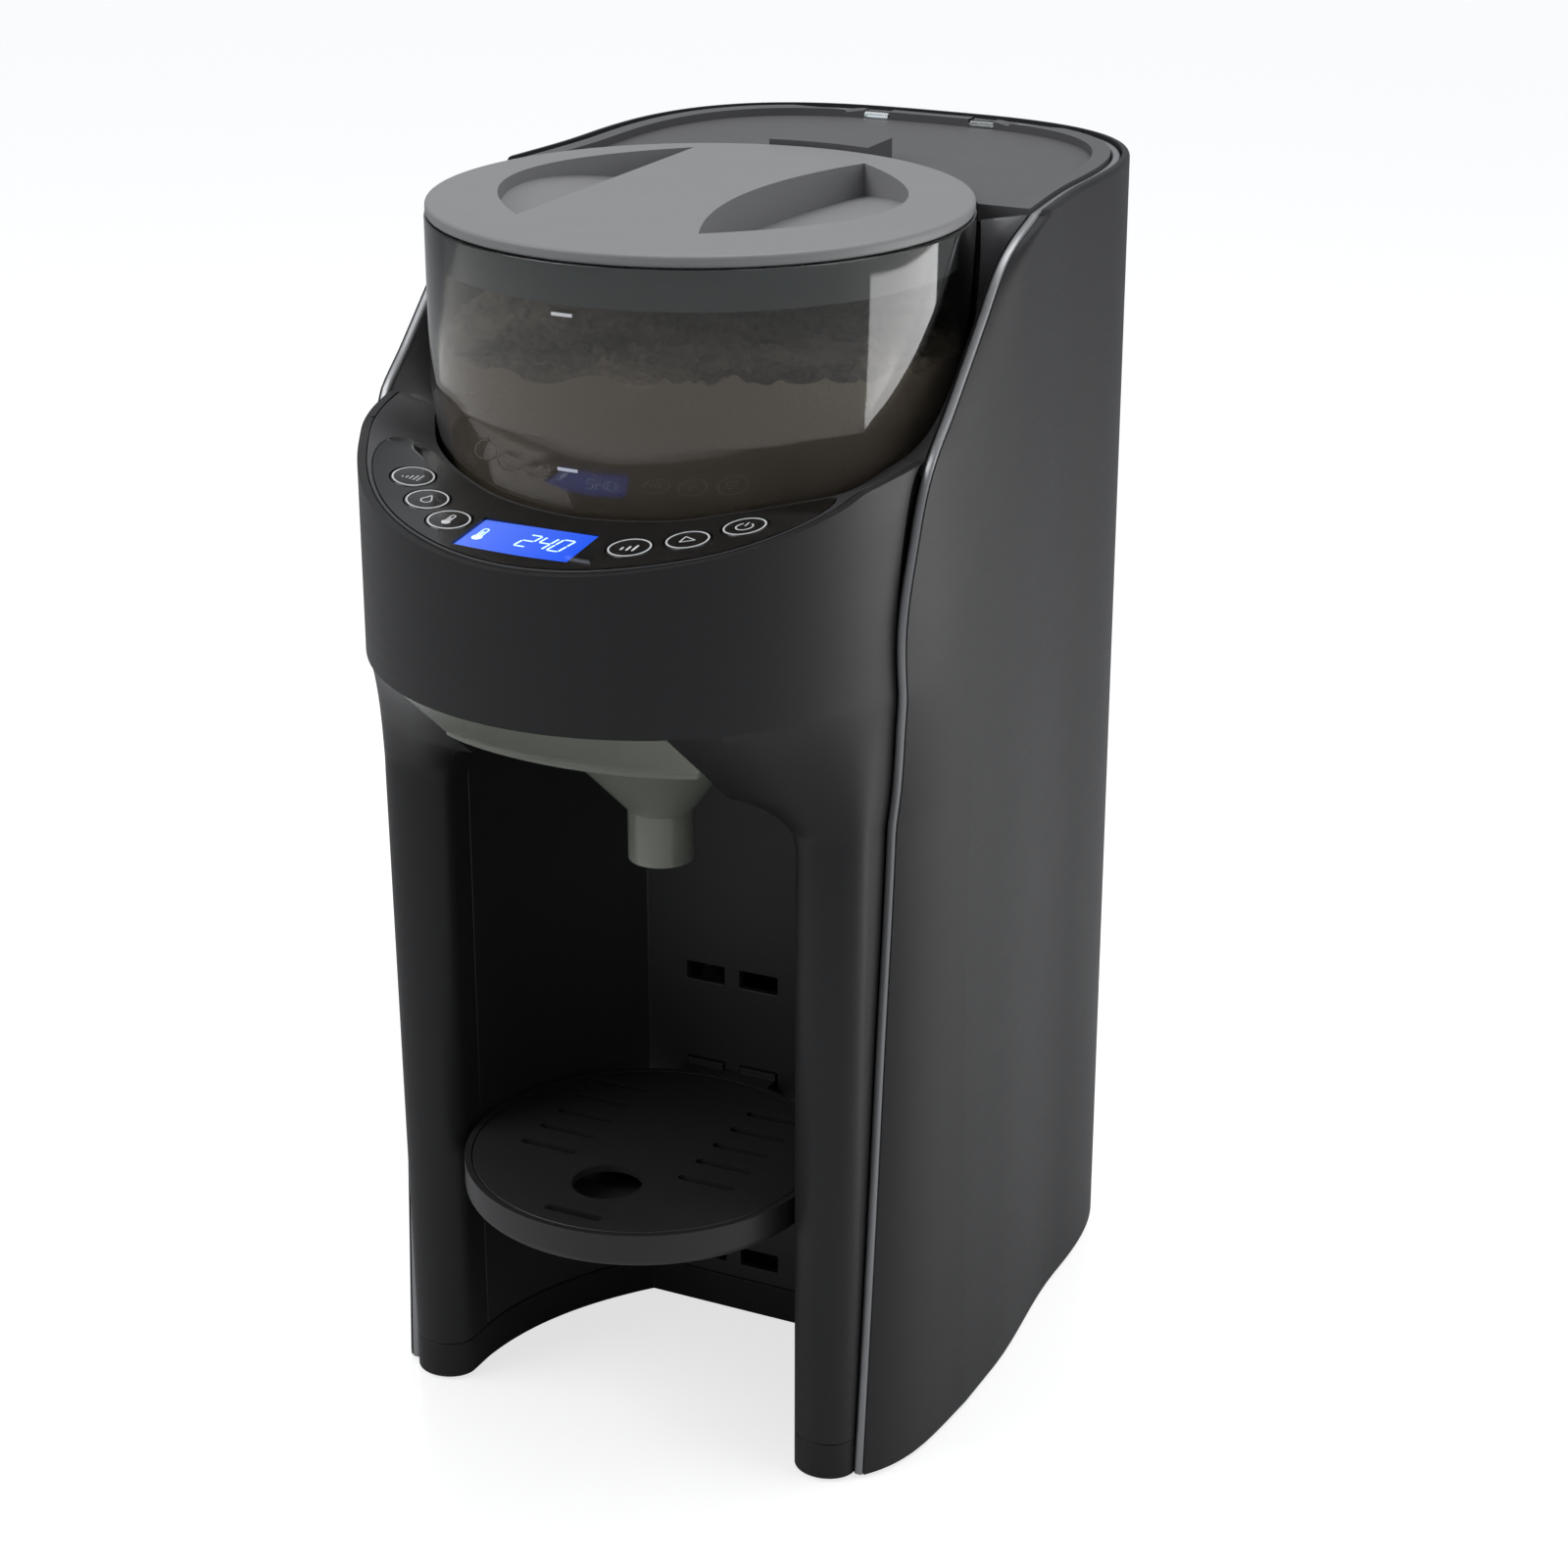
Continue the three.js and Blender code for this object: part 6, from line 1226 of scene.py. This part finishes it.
def display():
    form = Form(display_block(0, -DISPLAY_THICKNESS, PANEL_PROUD))
    low, high = PANEL_PROUD - 0.02, PANEL_PROUD + MARK_HIGH
    parts = []
    for k, symbol in enumerate("240"):
        parts += digit(symbol, -1.6 + 4.9 * k, -3.6, 3.4, 7.4, low, high)
    tube = np.concatenate([[(0.8, -1.2)], arc_line(0.8, 0, 180, 12, 0, 2.6), [(-0.8, -1.2)]])
    bulb, column = disc(1.5, low, high, 0, -2.2, 24), ribbon([(0, -2), (0, 1.6)], 0.5, low, high)
    icon = [bulb, ribbon(tube, 0.4, low, high), column]
    parts += [moved((np.asarray(p, float).reshape(-1, 3), f), (-13.4, 0, 0)) for p, f in icon]
    for part in parts:
        form.add(*stood_on(part, display_place, display_normal), paint=1)
    return new_object("screen", form)


dress(display(), [screen_blue, screen_digits], "housing", ["display_window"], 0, 40)

# ---------------------------------------------------------------- container, powder and lid


def container():
    z = np.linspace(CAN_FLOOR, CAN_FLOOR + 44, 40)
    outside = np.stack([can_radius_at(z), z], -1)
    floor = CAN_FLOOR + 2.5
    z = np.linspace(CAN_FLOOR + 44, floor, 36)
    inside = np.stack([can_radius_at(z) - CAN_WALL, z], -1)
    rim = round_corners(
        [(CAN_RADIUS, CAN_FLOOR + 44), (CAN_RADIUS, CAN_TOP), (CAN_RADIUS - CAN_WALL, CAN_TOP),
         (CAN_RADIUS - CAN_WALL, CAN_FLOOR + 44)], 0.5,
    )
    profile = np.concatenate([[(0, CAN_FLOOR)], outside, rim[1:-1], inside, [(0, floor)]])
    item = new_object("canister", Form(lathe(profile, 0, AXIS, 192)))
    combine(item, Form(disc(8, 0, BODY_TOP, 0, SPOUT_Y), disc(7.5, 0, CAN_FLOOR + 5, 0, AXIS)))
    return item


def level_marks():
    """Two short level ticks printed round the container's front."""
    form = Form()
    for level in (342.9, 301):
        turn = np.radians(np.linspace(-3.5, 1.2, 8))[:, None]
        z = np.array([[level - 0.45, level + 0.45]])
        grids = []
        for lift in (0.06, -0.02):
            radius = can_radius_at(level) + lift
            x, y = radius * np.sin(turn), AXIS - radius * np.cos(turn)
            grids.append(np.stack(np.broadcast_arrays(x, y, z), -1))
        form.add(*wall_between(*grids))
    return new_object("level_ticks", form)


def powder():
    """Heaped powder: a skin that follows the container's wall up to its level, and across it
    a crumbly top made of several sine waves and cell-like bumps on a polar grid."""
    rng = np.random.default_rng(7)
    segments = 420
    turn = np.linspace(0, TURN, segments, endpoint=False)

    def top_level(x, y):
        level = 321 + 0.03 * x - 0.05 * (y - AXIS)
        for _ in range(18):
            k = rng.normal(size=2) * rng.uniform(0.05, 0.3)
            level = level + np.sin(x * k[0] + y * k[1] + rng.uniform(0, TURN)) * rng.uniform(0.1, 0.5)
        centres = rng.uniform(-72, 72, (1500, 2))
        sizes = rng.uniform(0.7, 1.9, 1500)
        for centre, size in zip(centres, sizes):
            near = 1 - ((x - centre[0]) ** 2 + (y - AXIS - centre[1]) ** 2) / size**2
            level = level + 0.7 * size * np.sqrt(np.clip(near, 0, 1))
        return level

    shares = np.linspace(1, 0, 130)
    reach = CAN_RADIUS - CAN_WALL - 0.3
    r = (reach * shares)[:, None]
    x, y = r * np.sin(turn), AXIS - r * np.cos(turn)
    top = np.stack([x, y, top_level(x, y)], -1)
    edge_z = top[0, :, 2]
    t = np.linspace(0, 1, 40)[:-1, None]
    z = mix(278.4, edge_z[None], t)
    radius = np.minimum(can_radius_at(z) - CAN_WALL - 0.3, reach)
    side = np.stack([radius * np.sin(turn), AXIS - radius * np.cos(turn), z], -1)
    outer = np.concatenate([side, top])
    inner = outer.copy()
    side_count = len(side)
    shrink = (radius - 1.2) / radius
    inner[:side_count, :, 0] *= shrink
    inner[:side_count, :, 1] = AXIS + (inner[:side_count, :, 1] - AXIS) * shrink
    inner[side_count:, :, 0] *= (reach - 1.2) / reach
    inner[side_count:, :, 1] = AXIS + (inner[side_count:, :, 1] - AXIS) * (reach - 1.2) / reach
    inner[side_count:, :, 2] = 308
    inner[:side_count, :, 2] = np.minimum(inner[:side_count, :, 2], 308)
    rows = len(outer)
    loop = np.concatenate([outer, inner[::-1]])
    return new_object("powder_fill", Form((loop, [grid_faces(2 * rows, segments, True, True)])))


def grip_outline(straight, waist, out, steps=64):
    """A finger recess in plan: a parabola on each side between two shared tips."""
    t = np.linspace(-1, 1, steps + 1)
    y = AXIS + GRIP_SHIFT + t * GRIP_LENGTH / 2
    far = np.stack([straight + (out - straight) * (1 - t * t), y], -1)
    near = np.stack([straight + waist * (1 - t * t), y], -1)[1:-1][::-1]
    return np.concatenate([far, near])


def recess(outline, deep_x, shallow_x):
    """A recess whose floor slopes between two x: deep at the bar and shallow at the rim."""
    outline = np.asarray(outline)
    slope = (outline[:, 0] - deep_x) / (shallow_x - deep_x)
    floor = mix(LID_TOP - GRIP_DEPTH, LID_TOP - GRIP_SHALLOW, slope)
    points, faces = slab(outline, 0, LID_TOP + 2)
    points[: len(outline), 2] = floor
    return points, faces


def lid():
    under = LID_TOP - LID_RIM
    radius = CAN_RADIUS - GAP
    profile = [
        (0, LID_TOP - GRIP_DEPTH - 2.2), (LID_PLUG, LID_TOP - GRIP_DEPTH - 2.2), (LID_PLUG, under),
        (radius, under), (radius, LID_TOP), (0, LID_TOP),
    ]
    item = new_object("cap", Form(lathe(round_corners(profile, 1.1, 6), 0, AXIS, 192)))
    far = GRIP_LEFT - GRIP_REACH
    left = recess(grip_outline(GRIP_LEFT, 0, far), GRIP_LEFT + 2, far - 2)
    right = recess(
        grip_outline(GRIP_RIGHT, -GRIP_WAIST, GRIP_RIGHT + GRIP_REACH_RIGHT),
        GRIP_RIGHT - GRIP_WAIST - 2, GRIP_RIGHT + GRIP_REACH_RIGHT + 2,
    )
    combine(item, Form(left))
    combine(item, Form(right))
    return item


def seal():
    inner, outer = LID_PLUG + GAP, CAN_RADIUS - CAN_WALL - GAP
    high = LID_TOP - LID_RIM - GAP
    profile = [(inner, high - SEAL_HEIGHT), (outer, high - SEAL_HEIGHT), (outer, high), (inner, high)]
    return new_object("collar", Form(lathe(round_corners(profile, 0.6, 4, True), 0, AXIS, 192)))


dress(container(), smoke, "container", ["powder_container"], 0, 35)
dress(level_marks(), print_white, "container", (), 0, 35)
dress(powder(), milk_powder, "container", (), 0, 80)
dress(lid(), lid_grey, "lid", ["container_lid"], 0.5, 30)
dress(seal(), seal_blue, "lid_ring", ["lid_seal"], 0, 35)

# ---------------------------------------------------------------- funnel


def lip_surface(out, rows=16, columns=64):
    """Face of the funnel's drawer: between the head's oval and the legs' round, as the chin."""
    z = np.linspace(FRAME_TOP - 0.4, HEAD_BOTTOM - GAP, rows + 1)[:, None]
    x = np.linspace(-LIP_HALF, LIP_HALF, columns + 1)[None]
    leg = LEG_CENTRE - LEG_ROUND * np.sqrt(np.maximum(0, 1 - (x / (LIP_HALF + GAP)) ** 2))
    head = HEAD_Y - HEAD_DEPTH * np.sqrt(1 - (x / HEAD_HALF) ** 2)
    y = mix(head, leg, chin_share(z)) + out
    return np.stack(np.broadcast_arrays(x, y, z), -1)


def cone_form(shrink, high, over):
    """Funnel cone: circles from the spout to the mouth, whose middle is further forward."""
    turn = np.linspace(0, TURN, 96, endpoint=False)
    rows = [
        (SPOUT_RADIUS - shrink, SPOUT_Y, SPOUT_BOTTOM - over), (SPOUT_RADIUS - shrink, SPOUT_Y, SPOUT_TOP),
        (FUNNEL_RADIUS - shrink, CONE_Y, high), (FUNNEL_RADIUS - shrink, CONE_Y, high + 2 * over),
    ]
    rows = rows if over else rows[:3]
    rings = [np.stack([r * np.cos(turn), y + r * np.sin(turn), 0 * turn + z], -1) for r, y, z in rows]
    return Form(loft(rings))


def funnel():
    lip = lip_surface(0.0)
    item = new_object("mixing_funnel", Form(wall_between(lip, lip_surface(LIP_THICKNESS))))
    turn = np.linspace(0, math.pi, 49)
    arc = np.stack([DRAWER_HALF * np.cos(turn), SPOUT_Y + DRAWER_BACK * np.sin(turn)], -1)
    face = lip_surface(LIP_THICKNESS / 2)[0, :, :2]
    face = face[np.abs(face[:, 0]) < DRAWER_HALF]
    combine(item, Form(slab(np.concatenate([arc, face]), FRAME_LOW, FRAME_TOP)), "UNION")
    combine(item, cone_form(0.0, FRAME_TOP, 0), "UNION")
    combine(item, cone_form(FUNNEL_WALL, FRAME_TOP, 2))
    return item


dress(funnel(), olive, "funnel", ["funnel"], 0.3, 38)

# ---------------------------------------------------------------- drip tray


def tray():
    low = TRAY_TOP - TRAY_HEIGHT
    t = np.linspace(0, math.pi / 2, 9)
    soft = np.stack([TRAY_RADIUS - 3 * (1 - np.sin(t)), low + 3 * (1 - np.cos(t))], -1)
    profile = np.concatenate([
        [(0, low)], soft, [(TRAY_RADIUS, TRAY_TOP), (TRAY_RADIUS - TRAY_WALL, TRAY_TOP)],
        [(TRAY_RADIUS - TRAY_WALL, low + TRAY_WALL), (0, low + TRAY_WALL)],
    ])
    item = new_object("tray", Form(lathe(profile, 0, TRAY_Y, 144)))
    arm = new_object("arm", Form(block(
        (-HOOK_SPACING / 2 - HOOK_WIDTH / 2, TRAY_Y + TRAY_RADIUS - TRAY_WALL - 6, low),
        (HOOK_SPACING / 2 + HOOK_WIDTH / 2, BAY_BACK - GAP, TRAY_TOP))))
    combine(arm, Form(disc(TRAY_RADIUS - TRAY_WALL / 2, 0, BODY_TOP, 0, TRAY_Y, 144)))
    combine(item, arm, "UNION")
    tabs = Form()
    for side in (-1, 1):
        x = side * HOOK_SPACING / 2
        tabs.add(*block((x - HOOK_WIDTH / 2, BAY_BACK - GAP - 0.4, HOOK_LEVELS[2]),
                        (x + HOOK_WIDTH / 2, BAY_BACK + HOOK_LENGTH, HOOK_LEVELS[2] + HOOK_HEIGHT)))
    combine(item, tabs, "UNION")
    return item


def slot_outline(x0, x1, y, width):
    """A slot with round ends."""
    r = width / 2
    right = arc_line(r, -90, 90, 9, x1 - r, y)
    left = arc_line(r, 90, 270, 9, x0 + r, y)
    return np.concatenate([right, left])


def grid():
    radius = TRAY_RADIUS - TRAY_WALL - GAP
    low = TRAY_TOP - TRAY_HEIGHT + TRAY_WALL + GAP
    under = TRAY_TOP - GRID_THICKNESS
    profile = [(0, under), (radius - GRID_SKIRT, under), (radius - GRID_SKIRT, low), (radius, low),
               (radius, TRAY_TOP), (0, TRAY_TOP)]
    item = new_object("drip_grid", Form(lathe(round_corners(profile, 0.4, 3), 0, TRAY_Y, 144)))
    cuts = Form()
    for i in range(SLOT_ROWS):
        y = TRAY_Y + (i - 1) * SLOT_PITCH
        for side in (-1, 1):
            near, far = sorted((side * SLOT_END, side * (SLOT_END - SLOT_LENGTH)))
            cuts.add(*slab(slot_outline(near, far, y, SLOT_WIDTH), 0, BODY_TOP))
    half = SLOT_LENGTH / 2
    cuts.add(*slab(slot_outline(-half, half, TRAY_Y - FRONT_SLOT_FORWARD, SLOT_WIDTH), 0, BODY_TOP))
    cuts.add(*disc(TRAY_HOLE, 0, BODY_TOP, 0, TRAY_Y - TRAY_HOLE_FORWARD, 72))
    combine(item, cuts)
    return item


dress(tray(), bay_black, "tray", ["drip_tray"], 0.35)
dress(grid(), bay_black, "grid", ["tray_grid"], 0.35)

# ---------------------------------------------------------------- tank and its lid


def tank_outline(inset, front_radius, front_gap):
    """Plan of the tank: the body's flank and rear moved in, closed by an arc round the
    container at the front."""
    start = float(seam_y(SEAM_TOP)) + front_gap
    y = mix(start, REAR_CENTRE, np.linspace(0, 1, 10)[:-1])
    side = np.stack([flank_half(y) - inset, y], -1)
    run = rear_run(inset, 0.0, 60)
    turn = np.linspace(math.acos((AXIS - start) / front_radius), math.pi, 81)
    arc = np.stack([front_radius * np.sin(turn), AXIS - front_radius * np.cos(turn)], -1)
    right = np.concatenate([arc[::-1], side, run])
    return np.concatenate([right, right[1:-1][::-1] * [-1, 1]])


HINGE_Y = REAR - SEAM_INSET - HINGE_SETBACK
HINGE_Z = BODY_TOP - HINGE_DROP


def bar_across(radius, half, x, segments=24):
    """A round bar along X on the hinge line."""
    points, faces = disc(radius, -half, half, 0, 0, segments)
    points = points.reshape(-1, 3)[:, [2, 0, 1]] + [x, HINGE_Y, HINGE_Z]
    return points, faces


def tank():
    clear, deep = TANK_CLEARANCE, TANK_CLEARANCE + TANK_WALL
    outside = tank_outline(SEAM_INSET + clear, TANK_FRONT, clear)
    inside = tank_outline(SEAM_INSET + deep, TANK_FRONT + TANK_WALL, deep)
    item = new_object("tank", Form(slab(outside, TANK_FLOOR, TANK_RIM)))
    combine(item, Form(slab(inside, TANK_FLOOR + TANK_WALL, TANK_RIM + 2)))
    low, high = TANK_FLOOR - VALVE_HEIGHT, TANK_FLOOR + 0.4
    combine(item, Form(disc(VALVE_RADIUS + TANK_WALL, low, high, 0, VALVE_Y)), "UNION")
    for side in (-1, 1):
        x = side * HINGE_HALF
        foot = block((x - HINGE_KNUCKLE, HINGE_Y - HINGE_DROP, TANK_RIM - 5),
                     (x + HINGE_KNUCKLE, HINGE_Y + HINGE_DROP - GAP, HINGE_Z))
        combine(item, Form(foot), "UNION")
        combine(item, Form(bar_across(HINGE_DROP - GAP, HINGE_KNUCKLE, x)), "UNION")
        combine(item, Form(bar_across(HINGE_PIN + GAP, 2 * HINGE_KNUCKLE, x)))
    port = TANK_FLOOR - 2 * VALVE_HEIGHT, TANK_FLOOR + 2 * TANK_WALL
    combine(item, Form(disc(VALVE_RADIUS, *port, 0, VALVE_Y)))
    return item


def rear_edge_turned(degrees):
    """What stands behind the tank lid, turned back about the hinge: the lid's room there."""
    run = rear_run(SEAM_INSET - GAP, 0.0, 60)
    run = run[run[:, 1] > HINGE_Y - 5]
    wide = BODY_WIDTH / 2
    start = run[0, 1]
    frame_line = [(-wide, start), (-wide, REAR), (wide, REAR), (wide, start)]
    line = np.concatenate([run, run[:-1][::-1] * [-1, 1], frame_line])
    points, faces = slab(line, HINGE_Z - HINGE_SETBACK, BODY_TOP + GAP)
    y, z = points[:, 1] - HINGE_Y, points[:, 2] - HINGE_Z
    c, s = math.cos(math.radians(degrees)), math.sin(math.radians(degrees))
    turned = np.stack([points[:, 0], HINGE_Y + y * c - z * s, HINGE_Z + y * s + z * c], -1)
    return turned, faces


def tank_lid():
    low = BODY_TOP - LID_PLATE - LID_DISH
    radius = CAN_RADIUS + DECK_CLEARANCE
    item = new_object("tank_cover", Form(slab(tank_outline(SEAM_INSET, radius, GAP), low, BODY_TOP)))
    combine(item, Form(slab(tank_outline(SEAM_INSET + LID_RIM_WIDTH, radius + LID_RIM_WIDTH, LID_RIM_WIDTH),
                            BODY_TOP - LID_DISH, BODY_TOP + 2)))
    far = AXIS + CAN_RADIUS + TAB_REACH
    t = np.linspace(0, math.pi, 25)
    nose = np.stack([TAB_HALF * np.cos(t), far - 8 + 8 * np.sin(t)], -1)
    tab = np.concatenate([nose, [(-TAB_HALF, AXIS + radius - 2), (TAB_HALF, AXIS + radius - 2)]])
    tab_item = Form(slab(tab, BODY_TOP - LID_DISH - 0.4, BODY_TOP + TAB_HEIGHT))
    combine(item, tab_item, "UNION")
    combine(item, Form(disc(radius, 0, 2 * BODY_TOP, 0, AXIS, 192)))
    edge = new_object("edge", Form(block((-BODY_WIDTH, HINGE_Y, low - 2), (BODY_WIDTH, REAR, BODY_TOP + 2))))
    combine(edge, Form(bar_across(HINGE_SETBACK, BODY_WIDTH + 2, 0, 48)))
    combine(item, edge)
    for step in range(6):
        combine(item, Form(rear_edge_turned(20 * step)))
    for side in (-1, 1):
        x, room = side * HINGE_HALF, HINGE_KNUCKLE + GAP
        near = (x - room, HINGE_Y - HINGE_DROP - GAP, low - 3)
        combine(item, Form(block(near, (x + room, REAR + 3, BODY_TOP + 4))))
        combine(item, Form(bar_across(HINGE_PIN + GAP, HINGE_KNUCKLE + HINGE_REACH + GAP, x)))
    return item


dress(tank(), water_clear, "tank", ["water_tank"], 0.3)
dress(tank_lid(), tank_grey, "tank_lid", ["tank_lid"], 0.5)

# ---------------------------------------------------------------- pieces shown as they are

shown = {
    "bay_ceiling": inner_black, "container_seat": inner_black, "tank_dock": inner_black,
    "funnel_cover": olive, "dosing_wheel": natural, "stirrer": natural, "scraper_plate": natural,
    "drive_gear": natural, "motor_pinion": natural, "gear_plate": steel, "drive_motor": steel,
    "tank_valve": natural, "powder_chute": natural, "water_nozzle": natural,
    "button_board": board_green, "main_board": board_green, "water_pump": inner_black,
    "water_heater": steel, "suction_hose": hose_clear, "feed_hose": hose_clear, "hot_hose": hose_clear,
    "power_inlet": inner_black, "foot_1": rubber, "foot_2": rubber, "foot_3": rubber, "foot_4": rubber,
    "lid_pin_right": steel, "lid_pin_left": steel,
}
for name, material in shown.items():
    mesh = frame["nodes"][name].data
    mesh.materials.clear()
    mesh.materials.append(material)

# ---------------------------------------------------------------- floor, light and camera


def floor():
    """A wide pale floor. Seen straight or through clear pieces it glows softly under its own
    shading, so that it is white away from the object's shadow."""
    half = 6000
    item = new_object("floor", Form(block((-half, -half, -20), (half, half, 0))))
    material = finish("floor", shade(200, 200, 200), 0.32, 60, 0.0, 0.0, 0.02, 0.0)
    tree = material.node_tree
    out = tree.nodes["Material Output"]
    glow = node(tree, "ShaderNodeEmission", Strength=0.72)
    under = node(tree, "ShaderNodeBsdfPrincipled", Base_Color=shade(176, 176, 176), Roughness=0.16,
                 Specular_IOR_Level=0.9)
    sheen = tree.nodes.new("ShaderNodeAddShader")
    both = node(tree, "ShaderNodeMixShader")
    seen = straight_or_bent(tree)
    link(tree, glow.outputs[0], sheen.inputs[0])
    link(tree, under.outputs[0], sheen.inputs[1])
    link(tree, seen, both.inputs[0])
    link(tree, tree.nodes["Principled BSDF"].outputs[0], both.inputs[1])
    link(tree, sheen.outputs[0], both.inputs[2])
    link(tree, both.outputs[0], out.inputs["Surface"])
    item.data.materials.append(material)
    return item


def straight_or_bent(tree):
    """1 for a ray from the camera or one through a clear piece."""
    path = node(tree, "ShaderNodeLightPath")
    either = node(tree, "ShaderNodeMath", {"operation": "MAXIMUM"})
    link(tree, path.outputs["Is Camera Ray"], either.inputs[0])
    link(tree, path.outputs["Is Transmission Ray"], either.inputs[1])
    return either.outputs[0]


def lamp(name, place, aim, width, height, power):
    """A soft rectangular lamp that looks at a point."""
    data = bpy.data.lights.new(name, "AREA")
    data.shape, data.size, data.size_y, data.energy = "RECTANGLE", width, height, power
    item = bpy.data.objects.new(name, data)
    item.location = place
    item.rotation_euler = (Vector(aim) - Vector(place)).to_track_quat("-Z", "Y").to_euler()
    bpy.context.scene.collection.objects.link(item)
    return item


def world():
    """Soft room light; straight to the camera and through clear pieces it is white."""
    made = bpy.data.worlds.new("room")
    made.use_nodes = True
    tree = made.node_tree
    out = tree.nodes["World Output"]
    room = tree.nodes["Background"]
    room.inputs["Color"].default_value = (0.92, 0.95, 1.0, 1)
    room.inputs["Strength"].default_value = 0.42
    white = node(tree, "ShaderNodeBackground", Color=(1, 1, 1, 1), Strength=1.0)
    both = node(tree, "ShaderNodeMixShader")
    link(tree, straight_or_bent(tree), both.inputs[0])
    link(tree, room.outputs[0], both.inputs[1])
    link(tree, white.outputs[0], both.inputs[2])
    link(tree, both.outputs[0], out.inputs["Surface"])
    bpy.context.scene.world = made


floor()
world()
lamp("key", (-1.3, -1.1, 1.7), (0, 0, 0.2), 1.4, 1.4, 22)
lamp("right", (1.7, -0.1, 1.1), (0, 0, 0.2), 0.9, 1.4, 6)
lamp("top", (0.1, 0.5, 2.0), (0, 0, 0.2), 1.6, 1.2, 18)
lamp("window", (0.62, 0.28, 0.15), (0, 0, 0.15), 0.5, 0.22, 1.8)

view = bpy.data.cameras.new("camera")
view.sensor_width, view.lens = 36, 77.92
camera = bpy.data.objects.new("camera", view)
camera.location = (0.4258, -0.8524, 0.5520)
camera.rotation_euler = (math.radians(68.46), 0, math.radians(25.9))
bpy.context.scene.collection.objects.link(camera)
bpy.context.scene.camera = camera
bpy.context.scene.view_settings.view_transform = "Standard"
